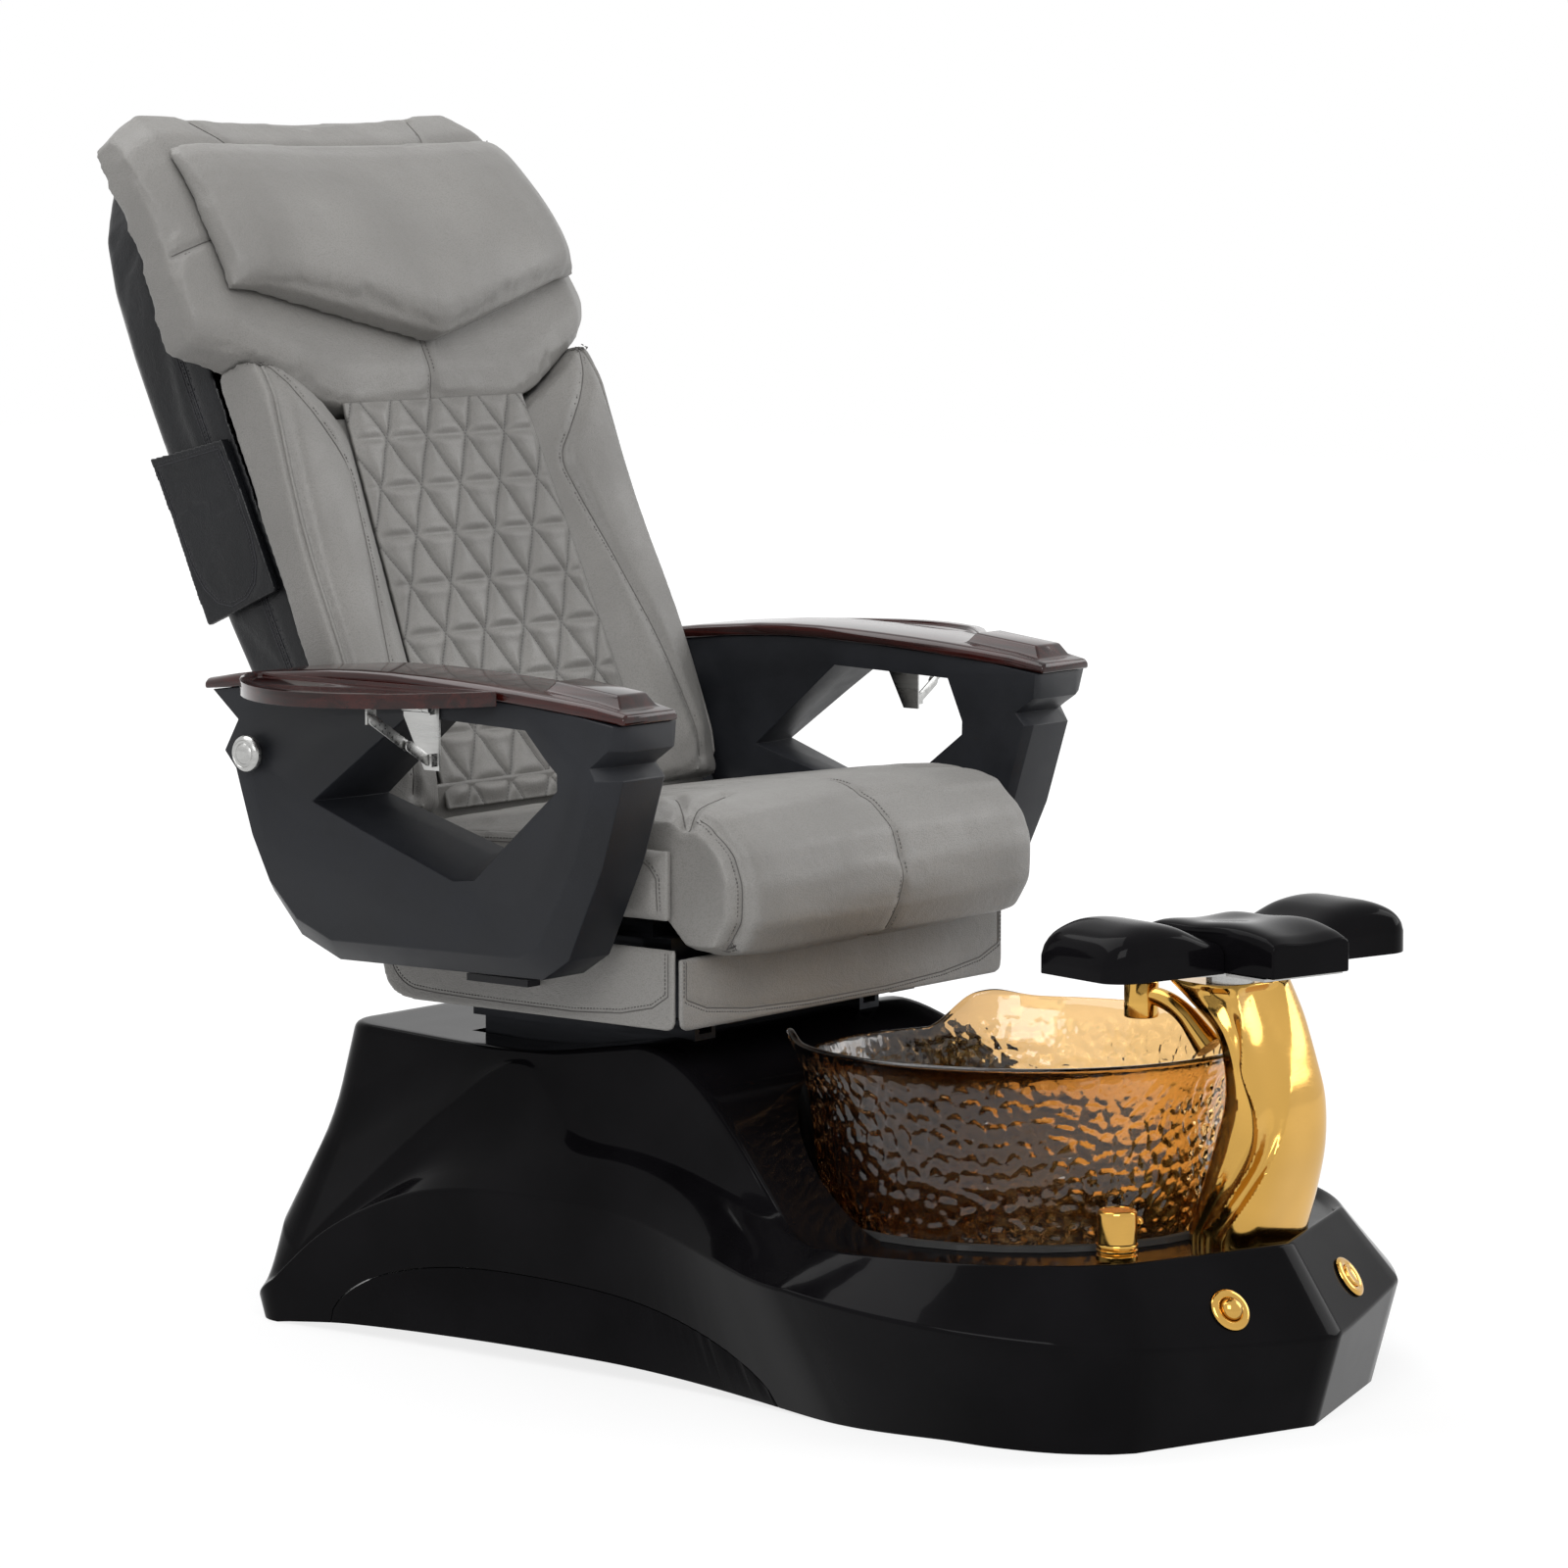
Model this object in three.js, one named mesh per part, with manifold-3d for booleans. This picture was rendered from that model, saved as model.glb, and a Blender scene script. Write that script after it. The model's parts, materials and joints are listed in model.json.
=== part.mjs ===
// Pedicure spa chair: moulded base with a glass foot bowl, gold footrest pillar,
// sliding seat, reclining back and lifting arms with folding trays.
// Units are millimetres. +Z is up, the sitter faces -Y and the sitter's right is -X.
import * as THREE from 'three';
import { mergeVertices } from 'three/addons/utils/BufferGeometryUtils.js';
import Module from 'manifold-3d';

const wasm = await Module();
wasm.setup();

// ---------------------------------------------------------------- driving dimensions
const GAP = 0.4;                 // between pieces that rest on each other
const FIT = 0.3;                 // radial play of a pin in its hole
const HOLE_SIDES = 12;           // facets of a round hole in a plate

// moulded base
const LOBE_Y = -388;             // centre of the round front lobe and of the bowl
const FOOT_R = 385;              // lobe at the floor, round its front
const BELT_R = 414;              // lobe at its widest edge
const DECK_R = 350;              // top edge of the lobe's bevel
const BELT_Z = 101;              // belt height at the front
const BELT_SIDE_Z = 163;         // belt height beside the bowl
const DECK_Z = 195;              // deck edge
const DECK_RISE = 4;             // how much the deck edge climbs towards the back
const DECK_FLOOR_Z = 186;        // deck floor round the bowl
const FACET_ANGLE = 36;          // half of the two flat facets at the front, degrees
const BASE_HALF = 292;           // half-width of the body at the floor
const RIDGE_HALF = 304;          // half-width at the arched ridge
const BASE_TOP_HALF = 232;
const BASE_TOP_Z = 352;
const BASE_REAR_Y = 518;
const BASE_TOP_REAR_Y = 424;
const SHELL_WALL = 8;
const INLET_Y = 470;             // water and power inlets in the rear face
const PANEL_GAP = 1.2;           // joint line round the access panels

// bowl
const BOWL_RIM_R = 265;
const BOWL_RIM_Z = 390;
const BOWL_DIP = 30;             // how far the rim drops under the sitter's knees
const BOWL_WALL = 9;
const BOWL_FLOOR_R = 186;
const BOWL_FLOOR_Z = 96;
const SEAL_W = 10;
const JET_R = 42;
const JET_X = 70;
const DRAIN_R = 24;
const DRAIN_X = -80;

// pillar, spout and footrest
const PILLAR_TOP_Z = 470;
const PILLAR_X = 28;             // its foot stands a little to the sitter's left
const SPOUT_Y = -544;
const SPOUT_R = 19;
const SPOUT_H = 42;
const SPOUT_Z = 421;
const REST_Y = -660;             // swivel axis of the footrest
const REST_YAW = -14;            // degrees, as it stands in the photograph
const HUB_R = 17;
const REST_Z = 491;              // underside of the footrest shells
const REST_HALF = 215;
const REST_MIDDLE_HALF = 62;
const REST_SEAM = 2;             // between the three footrest shells

// controls
const FAUCET_INSET = 55.7;       // faucet's axis in from the deck edge
const FAUCET_ANGLE = 34.34;      // round from the front, degrees
const FAUCET_R = 22.5;
const FAUCET_STEM_R = 8;
const FAUCET_BASE_H = 17;
const FAUCET_CAP_H = 36;
const BUTTON_ANGLE = FACET_ANGLE / 2;
const BUTTON_RISE = 0.38;        // place up the bevel, 0 at the belt, 1 at the deck edge
const BEZEL_R = 24;
const BUTTON_R = 13;
const BUTTON_BARREL_R = BUTTON_R + 2.7;
const BEZEL_SEAT = 0.2;           // the flat the bezel rests on, out from the facet's middle

// seat
const SEAT_HALF = 282;
const SEAT_FRONT_Y = -221;
const SEAT_REAR_Y = 284;
const SEAT_TOP_Z = 650;
const SEAT_BOTTOM_Z = 518;
const ROLL_BOTTOM_Z = 473;
const SIDE_PANEL_T = 13;
const SIDE_PANEL_TOP_Z = 603;
const SKIRT_HALF = 298;
const SKIRT_T = 6;
const SKIRT_TOP_Z = 489;
const FRONT_SKIRT_TOP_Z = 480;    // under the cushion's front roll
const SKIRT_BOTTOM_Z = 400;
const SKIRT_FRONT_Y = -134;
const SKIRT_REAR_Y = 298;
const PAN_TOP_Z = 516;
const PAN_T = 20;
const RAIL_X = 150;              // slide rails under the seat
const RAIL_W = 36;
const RAIL_H = 22;
const RAIL_LENGTH = 330;
const RAIL_Y = 110;
const RAIL_WALL = 7;
const RAIL_REAR_TIE_Y = 255;
const SPINDLE_Z = 424;           // slide spindle
const SPINDLE_R = 8;
const SLIDE_NUT_Y = 60;
const ACTUATOR_X = 90;           // recline actuator
const ACTUATOR_Z = 462;
const ACTUATOR_ROD_R = 8;

// back, in its own tilted frame: x across, y towards the rear, z up the back
const HINGE_Y = 300;             // recline axis
const HINGE_Z = 560;
const BACK_TILT = 25;            // degrees from upright
const BACK_FACE_Y = 258.7;       // front plane of the back at the height of BACK_FACE_Z
const BACK_FACE_Z = 600;
const PAD_T = 62;
const PAD_BOTTOM = 16;
const PAD_HALF = 311;
const HEAD_EDGE = 503;           // lower edge of the head section at the middle
const HEAD_WING = 606;           // the same edge at its outer tips
const HEAD_HALF = 348;
const HEAD_TOP = 910;
const HEAD_DIP = 10;
const HEAD_THINNER = 6;          // head section against the pad's thickness
const PILLOW_APEX = 572;         // its lower point, up the back
const PILLOW_CORNER = 652;
const PILLOW_HALF = 302;
const PILLOW_TOP = 853;
const PILLOW_SEAT = 3;           // how far it stands off the head section
const HEAD_FLAT_HALF = 160;      // half-width of the level part of that edge
const QUILT_BOTTOM_HALF = 188;
const QUILT_T = 9;
const QUILT_SUNK_LOW = 36;        // how deep the quilted panel lies at the seat
const QUILT_SUNK_HIGH = 10;       // and at the head
const DIAMOND_W = 69;
const TUCK_PITCH = 60;
const BACK_SHELL_FRONT = 78;
const BACK_SHELL_REAR = 226;
const BACK_SHELL_HALF = 274;
const BACK_SHELL_BOTTOM = 60;
const BACK_SHELL_TOP = 872;
const BACK_SHELL_WALL = 6;
const SHELL_CORNER = 0.36;       // lower is squarer
const BACK_FRAME_DEPTH = 84;     // front plane of the steel frame behind the pad
const BACK_BAR_X = 224;
const LUG_T = 8;
const EYE_R = 14;                // round end of the recline lugs
const CRANK_Y = 322;             // where the recline rod meets the crank arm
const TRACK_X = 62;              // massage rails
const TRACK_R = 8;
const TRACK_LOW = 150;
const TRACK_TOP = 730;
const TRACK_DEPTH = 150;
const CARRIAGE_V = 420;          // where the massage carriage rests
const AXLE_R = 6;
const ROLLER_R = 26;
const ROLLER_DEPTH = 106;        // roller axle, behind the pad

// arms
const ARM_INNER = 328;
const ARM_OUTER = 430;
const ARM_CHAMFER = 24;
const CAP_T = 15;
const CAP_OVER = 5;              // cap overhang each side
const KNOB_Y = 370;              // lift axis of the arm
const KNOB_Z = 684;
const KNOB_R = 20.5;
const KNOB_STEM_R = 6.4;
const MOUNT_T = 6;
const MOUNT_CLEAR = 8;           // between the mount plate and the arm
const TRAY_T = 16;
const TRAY_TOP_Z = 776;
const TRAY_REACH = 140;
const TRAY_FRONT_Y = -2;
const TRAY_REAR_Y = 362;
const TRAY_AXIS_Z = 751;         // fold axis of the tray
const BRACE_Y = 96;
const BRACE_DROP = 56;           // brace pivot below the fold axis
const BRACE_REACH = 84;          // brace pivot out from the fold axis

// ---------------------------------------------------------------- materials
function finish(color, roughness, metalness) {
  return new THREE.MeshStandardMaterial({ color, roughness, metalness });
}
const GLOSS_BLACK = finish(0x0b0a0c, 0.12, 0);
const GLASS = finish(0x9a5a1c, 0.06, 0);
const GOLD = finish(0xc9962f, 0.16, 1);
const GREY_LEATHER = finish(0x8b8884, 0.5, 0);
const BLACK_LEATHER = finish(0x17181b, 0.45, 0);
const CHARCOAL = finish(0x292b30, 0.6, 0);
const MAHOGANY = finish(0x2b0d08, 0.15, 0);
const STEEL = finish(0x9c9fa3, 0.3, 1);
const DARK_STEEL = finish(0x26272a, 0.5, 1);
const RUBBER = finish(0x131313, 0.8, 0);
const PLASTIC = finish(0x1c1d20, 0.5, 0);

// ---------------------------------------------------------------- numbers and shapes
const radians = THREE.MathUtils.degToRad;
const mix = THREE.MathUtils.lerp;
const ease = (t) => THREE.MathUtils.smoothstep(t, 0, 1);
const FAUCET_X = -(DECK_R - FAUCET_INSET) * Math.sin(radians(FAUCET_ANGLE));
const FAUCET_Y = LOBE_Y - (DECK_R - FAUCET_INSET) * Math.cos(radians(FAUCET_ANGLE));

// a smooth function through [input, output] pairs in rising order of input
function through(points) {
  const slope = (i) => {
    const a = points[Math.max(i - 1, 0)];
    const b = points[Math.min(i + 1, points.length - 1)];
    return (b[1] - a[1]) / (b[0] - a[0]);
  };
  return (value) => {
    const last = points.length - 1;
    if (value <= points[0][0]) return points[0][1];
    if (value >= points[last][0]) return points[last][1];
    const i = points.findIndex((p, k) => k < last && value < points[k + 1][0]);
    const [x0, y0] = points[i];
    const [x1, y1] = points[i + 1];
    const h = x1 - x0;
    const t = (value - x0) / h;
    const t2 = t * t;
    const t3 = t2 * t;
    return y0 * (2 * t3 - 3 * t2 + 1) + slope(i) * h * (t3 - 2 * t2 + t)
      + y1 * (3 * t2 - 2 * t3) + slope(i + 1) * h * (t3 - t2);
  };
}

function signedVolume(points, faces) {
  const [a, b, c] = [new THREE.Vector3(), new THREE.Vector3(), new THREE.Vector3()];
  let sum = 0;
  for (const [i, j, k] of faces) {
    a.fromArray(points[i]);
    b.fromArray(points[j]);
    c.fromArray(points[k]);
    sum += a.dot(b.cross(c));
  }
  return sum;
}

function meshOf(points, faces) {
  const outward = signedVolume(points, faces) > 0;
  const index = faces.flatMap(([i, j, k]) => (outward ? [i, j, k] : [i, k, j]));
  const geometry = new THREE.BufferGeometry();
  geometry.setAttribute('position', new THREE.Float32BufferAttribute(points.flat(), 3));
  geometry.setIndex(index);
  return geometry;
}

function band(faces, from, to, count) {
  for (let i = 0; i < count; i += 1) {
    const j = (i + 1) % count;
    faces.push([from + i, from + j, to + j], [from + i, to + j, to + i]);
  }
}

// rings of equally many [x, y, z] points, joined in order and closed at both ends;
// flat gives the two coordinates in which an end ring is filled
function stack(rings, flat) {
  const count = rings[0].length;
  const points = rings.flat();
  const faces = [];
  for (let k = 0; k + 1 < rings.length; k += 1) band(faces, k * count, (k + 1) * count, count);
  const fill = (ring, start, sameTurn) => {
    const outline = ring.map((p) => new THREE.Vector2(p[flat[0]], p[flat[1]]));
    const turn = Math.sign(THREE.ShapeUtils.area(outline));
    for (const [a, b, c] of THREE.ShapeUtils.triangulateShape(outline, [])) {
      const own = Math.sign(THREE.ShapeUtils.area([outline[a], outline[b], outline[c]]));
      const face = [start + a, start + b, start + c];
      faces.push(own === turn === sameTurn ? face : face.reverse());
    }
  };
  fill(rings[0], 0, false);
  fill(rings[rings.length - 1], (rings.length - 1) * count, true);
  return meshOf(points, faces);
}

// a front sheet and a back sheet of the same grid, closed round their edge
function slab(columns, rows, front, back) {
  const points = [];
  const faces = [];
  const at = (layer, i, j) => layer * columns * rows + j * columns + i;
  for (const sheet of [front, back]) {
    for (let j = 0; j < rows; j += 1) {
      for (let i = 0; i < columns; i += 1) {
        points.push(sheet((2 * i) / (columns - 1) - 1, j / (rows - 1)));
      }
    }
  }
  for (let j = 0; j + 1 < rows; j += 1) {
    for (let i = 0; i + 1 < columns; i += 1) {
      const quad = [[i, j], [i + 1, j], [i + 1, j + 1], [i, j + 1]];
      const [a, b, c, d] = quad.map(([u, v]) => at(0, u, v));
      const [e, f, g, h] = quad.map(([u, v]) => at(1, u, v));
      faces.push([a, b, c], [a, c, d], [e, g, f], [e, h, g]);
    }
  }
  const rim = [];
  for (let i = 0; i < columns; i += 1) rim.push([i, 0]);
  for (let j = 1; j < rows; j += 1) rim.push([columns - 1, j]);
  for (let i = columns - 2; i >= 0; i -= 1) rim.push([i, rows - 1]);
  for (let j = rows - 2; j > 0; j -= 1) rim.push([0, j]);
  rim.forEach(([i, j], k) => {
    const [u, v] = rim[(k + 1) % rim.length];
    const [a, b, c, d] = [at(0, i, j), at(0, u, v), at(1, u, v), at(1, i, j)];
    faces.push([a, d, c], [a, c, b]);
  });
  return meshOf(points, faces);
}

function box(width, depth, height, x, y, z) {
  return new THREE.BoxGeometry(width, depth, height).translate(x, y, z);
}

// a cylinder along an axis, centred on x, y, z
function rod(radius, length, axis, x, y, z, sides = 12) {
  const geometry = new THREE.CylinderGeometry(radius, radius, length, sides);
  if (axis === 'x') geometry.rotateZ(Math.PI / 2);
  if (axis === 'z') geometry.rotateX(Math.PI / 2);
  return geometry.translate(x, y, z);
}

// a round hole whose flats clear a shaft of that radius by the play
function bore(shaft, length, axis, x, y, z, sides = 16) {
  return rod((shaft + FIT) / Math.cos(Math.PI / sides), length, axis, x, y, z, sides);
}

// a turned piece about Z from a closed [radius, height] profile
function turned(profile, sides = 20) {
  const open = profile[0][0] === 0 && profile[profile.length - 1][0] === 0;
  const line = (open ? profile : [...profile, profile[0]]).map(([r, h]) => new THREE.Vector2(r, h));
  return fromSolid(toSolid(new THREE.LatheGeometry(line, sides).rotateX(Math.PI / 2)));
}

// a flat plate from an outline, with round or cut holes, as thick as t in +Z
function plate(outline, t, holes = []) {
  const shape = new THREE.Shape(outline.map(([x, y]) => new THREE.Vector2(x, y)));
  shape.holes = holes;
  return new THREE.ExtrudeGeometry(shape, { depth: t, bevelEnabled: false, curveSegments: HOLE_SIDES / 2 });
}

function hole(x, y, r) {
  return new THREE.Path().absarc(x, y, r, 0, 2 * Math.PI, true);
}

// the hole for a shaft, wide enough for its facets
function pinHole(x, y, shaft) {
  return hole(x, y, (shaft + FIT) / Math.cos(Math.PI / HOLE_SIDES));
}

// the same outline given as [y, z] and made as thick as t from x in +X
function sidePlate(outline, x, t, holes = []) {
  return plate(outline, t, holes)
    .applyMatrix4(new THREE.Matrix4().set(0, 0, 1, x, 1, 0, 0, 0, 0, 1, 0, 0, 0, 0, 0, 1));
}

// ---------------------------------------------------------------- joining and cutting
function toSolid(geometry) {
  const bare = geometry.clone();
  bare.deleteAttribute('normal');
  bare.deleteAttribute('uv');
  const merged = mergeVertices(bare, 1e-3);
  return new wasm.Manifold(new wasm.Mesh({
    numProp: 3,
    vertProperties: new Float32Array(merged.attributes.position.array),
    triVerts: new Uint32Array(merged.index.array),
  }));
}

function fromSolid(solid) {
  const mesh = solid.getMesh();
  const geometry = new THREE.BufferGeometry();
  geometry.setAttribute('position', new THREE.BufferAttribute(mesh.vertProperties, 3));
  geometry.setIndex(new THREE.BufferAttribute(mesh.triVerts, 1));
  return geometry;
}

function join(...geometries) {
  return fromSolid(geometries.map(toSolid).reduce((a, b) => a.add(b)));
}

function cut(geometry, ...tools) {
  return fromSolid(tools.map(toSolid).reduce((a, b) => a.subtract(b), toSolid(geometry)));
}

function common(a, b) {
  return fromSolid(toSolid(a).intersect(toSolid(b)));
}

// ---------------------------------------------------------------- scene graph
const chair = new THREE.Group();
const back = new THREE.Group();
back.position.set(0, BACK_FACE_Y, BACK_FACE_Z);
back.rotation.x = -radians(BACK_TILT);
const footrest = new THREE.Group();
footrest.position.set(0, REST_Y, 0);
footrest.rotation.z = radians(REST_YAW);
chair.add(back, footrest);

function add(name, geometry, material, parent = chair) {
  const mesh = new THREE.Mesh(geometry, material);
  mesh.name = name;
  parent.add(mesh);
  return mesh;
}

function mirrored(geometry) {
  const copy = geometry.clone().scale(-1, 1, 1);
  const index = copy.index ? copy.index.array : null;
  if (index) {
    for (let i = 0; i < index.length; i += 3) [index[i], index[i + 1]] = [index[i + 1], index[i]];
    return copy;
  }
  return mirrored(mergeVertices(bareCopy(geometry), 1e-4));
}

function bareCopy(geometry) {
  const bare = geometry.clone();
  bare.deleteAttribute('normal');
  bare.deleteAttribute('uv');
  return bare;
}

// a piece modelled on the sitter's right, and its mirror image on the left
function addPair(name, geometry, material, parent = chair) {
  add(`${name}_right`, geometry, material, parent);
  add(`${name}_left`, mirrored(geometry), material, parent);
}

// ---------------------------------------------------------------- base shell
const ARC_END = 92;                // where the lobe's arc ends, degrees round from the front
const ridgeZ = through([[LOBE_Y, BELT_SIDE_Z], [-223, 178], [-83, 190], [60, 195], [174, 191],
  [272, 172], [390, 118], [500, 26]]);
// the lobe's radius at the floor, and how far the flanks' lower edge stands off it
const footR = through([[40, FOOT_R], [48, FOOT_R - 12], [58, FOOT_R - 36], [70, FOOT_R - 63],
  [ARC_END, FOOT_R - 72]]);
const flankFoot = through([[-300, 0], [-248, 10], [-166, 16], [3, 19], [178, 18], [358, 12], [451, 3],
  [472, 0]]);
const finZ = through([[-120, 262], [26, 262], [140, 330], [240, 268], [360, 165], [500, 38]]);
const scoopZ = through([[-120, 240], [26, 245], [140, 238], [240, 210], [360, 135], [500, 32]]);

// half outline of one level of the base, from the front middle round the sitter's
// right to the rear middle: the lobe's arc, a blend, the flank, the corner, the rear
const BLEND_END = 124;
const BLEND_REAR_Y = -20;
const CORNER = 46;
const beltZ = (angle) => mix(BELT_Z, BELT_SIDE_Z, (Math.min(angle, ARC_END) / ARC_END) ** 1.6);
const deckZ = (angle) => DECK_Z + DECK_RISE * ease(angle / ARC_END);
// how much closer the flat facets run than the round they cut across
const facetShare = (angle) => (angle < FACET_ANGLE
  ? Math.cos(radians(FACET_ANGLE / 2)) / Math.cos(radians(angle - FACET_ANGLE / 2)) : 1);

function baseLevel(lobe, flank, inset) {
  const points = [];
  const arcPoint = (angle) => {
    const a = radians(angle);
    const r = lobe.r(angle) * facetShare(angle);
    return [-r * Math.sin(a), LOBE_Y - r * Math.cos(a), lobe.z(angle)];
  };
  const flankPoint = (y) => [-flank.x(y), y, flank.z(y)];
  const angles = [0, FACET_ANGLE / 2, FACET_ANGLE];
  const [arcSteps, blendSteps, sideSteps, cornerSteps] = inset > 0 ? [5, 4, 5, 2] : [9, 6, 8, 3];
  for (let i = 1; i <= arcSteps; i += 1) {
    angles.push(mix(FACET_ANGLE, ARC_END, i / arcSteps));
  }
  angles.forEach((angle) => points.push(arcPoint(angle)));
  const blendStartY = LOBE_Y + 130;
  for (let i = 1; i <= blendSteps; i += 1) {
    const t = i / blendSteps;
    const a = arcPoint(mix(ARC_END, BLEND_END, t));
    const b = flankPoint(mix(blendStartY, BLEND_REAR_Y, t));
    points.push(a.map((value, k) => mix(value, b[k], ease(t))));
  }
  const rear = flank.rear;
  const sideEnd = rear - CORNER;
  for (let i = 1; i <= sideSteps; i += 1) {
    points.push(flankPoint(mix(BLEND_REAR_Y, sideEnd, i / sideSteps)));
  }
  const cornerX = flank.x(sideEnd);
  const rearZ = flank.rearZ;
  for (let i = 1; i <= cornerSteps; i += 1) {
    const a = (Math.PI / 2) * (i / cornerSteps);
    points.push([-(cornerX - CORNER * (1 - Math.cos(a))), sideEnd + CORNER * Math.sin(a),
      mix(flank.z(sideEnd), rearZ, Math.sin(a))]);
  }
  points.push([-(cornerX - CORNER) / 2, rear, rearZ], [0, rear, rearZ]);
  return points.map(([x, y, z], i) => {
    const before = points[Math.max(i - 1, 0)];
    const after = points[Math.min(i + 1, points.length - 1)];
    const [dx, dy] = [after[0] - before[0], after[1] - before[1]];
    const length = Math.hypot(dx, dy) || 1;
    const middle = i === 0 || i === points.length - 1;
    const nx = middle ? 0 : dy / length;
    const ny = middle ? Math.sign(points.length - 2 * i) : -dx / length;
    return [x + nx * inset, y + ny * inset, z];
  });
}

function ringOf(half) {
  const other = half.slice(1, -1).reverse().map(([x, y, z]) => [-x, y, z]);
  return [...half, ...other];
}

function baseBody(inset) {
  const flat = (value) => () => value;
  const varying = (value) => (typeof value === 'function' ? value : flat(value));
  const level = (r, z, x, fz, rear, rearZ, drop) => ringOf(baseLevel(
    { r: varying(r), z: (a) => varying(z)(a) - drop },
    { x, z: (y) => fz(y) - drop, rear, rearZ: rearZ - drop }, inset));
  const topR = DECK_R - 7;
  const topZ = through([[-160, BASE_TOP_Z + 8], [-90, BASE_TOP_Z + 26], [0, BASE_TOP_Z + 12],
    [140, BASE_TOP_Z - 6], [BASE_TOP_REAR_Y, BASE_TOP_Z]]);
  const shoulder = through([[-160, 236], [30, BASE_TOP_HALF + 4], [150, BASE_TOP_HALF + 8],
    [BASE_TOP_REAR_Y, BASE_TOP_HALF]]);
  const drop = inset;
  const floor = inset > 0 ? -1 : 0;
  const rings = [
    level(footR, floor, flat(BASE_HALF), (y) => floor + flankFoot(y), BASE_REAR_Y, floor, 0),
    level(BELT_R, beltZ, flat(RIDGE_HALF), ridgeZ, BASE_REAR_Y - 2, 22, drop * 0.4),
    level(mix(BELT_R, DECK_R, 0.5), (a) => mix(beltZ(a), deckZ(a), 0.5),
      through([[-120, 288], [26, 286], [140, 270], [260, 268], [400, 284], [500, 289]]),
      scoopZ, BASE_REAR_Y - 6, 50, drop * 0.6),
    level(DECK_R, deckZ, through([[-120, 272], [26, 268], [130, 246], [260, 266], [400, 284], [500, 289]]),
      finZ, BASE_REAR_Y - 26, 120, drop),
    level(topR, DECK_Z - 2, through([[-120, 246], [26, 244], [140, 240], [408, 242]]),
      through([[-120, 318], [26, 312], [140, 338], [260, 310], [380, 250], [480, 215]]),
      BASE_REAR_Y - 68, 240, drop),
    level(topR - 4, DECK_FLOOR_Z, shoulder, topZ, BASE_TOP_REAR_Y, BASE_TOP_Z, drop),
  ];
  const count = rings[0].length;
  const half = count / 2;
  const points = rings.flat();
  const faces = [];
  for (let k = 0; k + 1 < rings.length; k += 1) band(faces, k * count, (k + 1) * count, count);
  const across = (start, flip) => {
    for (let i = 0; i < half; i += 1) {
      const [a, b] = [start + i, start + i + 1];
      const c = start + ((count - i - 1) % count);
      const d = start + ((count - i) % count);
      const add3 = (p, q, r) => {
        if (p !== q && q !== r && p !== r) faces.push(flip ? [r, q, p] : [p, q, r]);
      };
      add3(a, b, c);
      add3(a, c, d);
    }
  };
  across(0, true);
  across((rings.length - 1) * count, false);
  return meshOf(points, faces);
}

// outer radius of the bowl at a height
const bowlR = through([[BOWL_FLOOR_Z, BOWL_FLOOR_R], [130, 205], [173, 218], [229, 228],
  [314, 238], [360, 250], [BOWL_RIM_Z, BOWL_RIM_R]]);

function bowlPocket() {
  const clear = 14;
  const heights = [DECK_FLOOR_Z, 240, 330, BOWL_RIM_Z + 20];
  return turned([[0, DECK_FLOOR_Z], ...heights.map((z) => [bowlR(z) + clear, z]),
    [0, BOWL_RIM_Z + 20]], 28).translate(0, LOBE_Y, 0);
}

// arch of the access panel in the flank, as a side outline
function panelArch(grow) {
  const points = [];
  const [front, rear, top] = [-283, 392, 104];
  const middle = 100;
  const steps = 11;
  for (let i = 0; i <= steps; i += 1) {
    const t = i / steps;
    const y = mix(rear + grow, front - grow, t);
    const side = y > middle ? (y - middle) / (rear - middle) : (middle - y) / (middle - front);
    points.push([y, (top + grow) * Math.sqrt(Math.max(0, 1 - Math.min(1, side) ** 2.2))]);
  }
  points[0][1] = -2;
  points[steps][1] = -2;
  return points;
}

// a point on the front bevel, from the belt at 0 to the deck edge at 1
function facetPoint(sign, angle, rise) {
  const r = mix(BELT_R, DECK_R, rise) * facetShare(angle);
  const a = radians(angle);
  return new THREE.Vector3(sign * r * Math.sin(a), LOBE_Y - r * Math.cos(a),
    mix(beltZ(angle), deckZ(angle), rise));
}

// the matrix that takes +Z to a button's axis, square to its facet
function buttonPlace(sign) {
  const across = facetPoint(sign, FACET_ANGLE - 0.01, BUTTON_RISE)
    .sub(facetPoint(sign, 0, BUTTON_RISE)).multiplyScalar(sign).normalize();
  const up = facetPoint(sign, BUTTON_ANGLE, 1).sub(facetPoint(sign, BUTTON_ANGLE, 0));
  const normal = across.clone().cross(up).normalize();
  const basis = new THREE.Matrix4().makeBasis(across, normal.clone().cross(across), normal);
  return basis.setPosition(facetPoint(sign, BUTTON_ANGLE, BUTTON_RISE));
}

const RAIL_TOP_Z = BASE_TOP_Z + 14 + RAIL_H;

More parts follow.
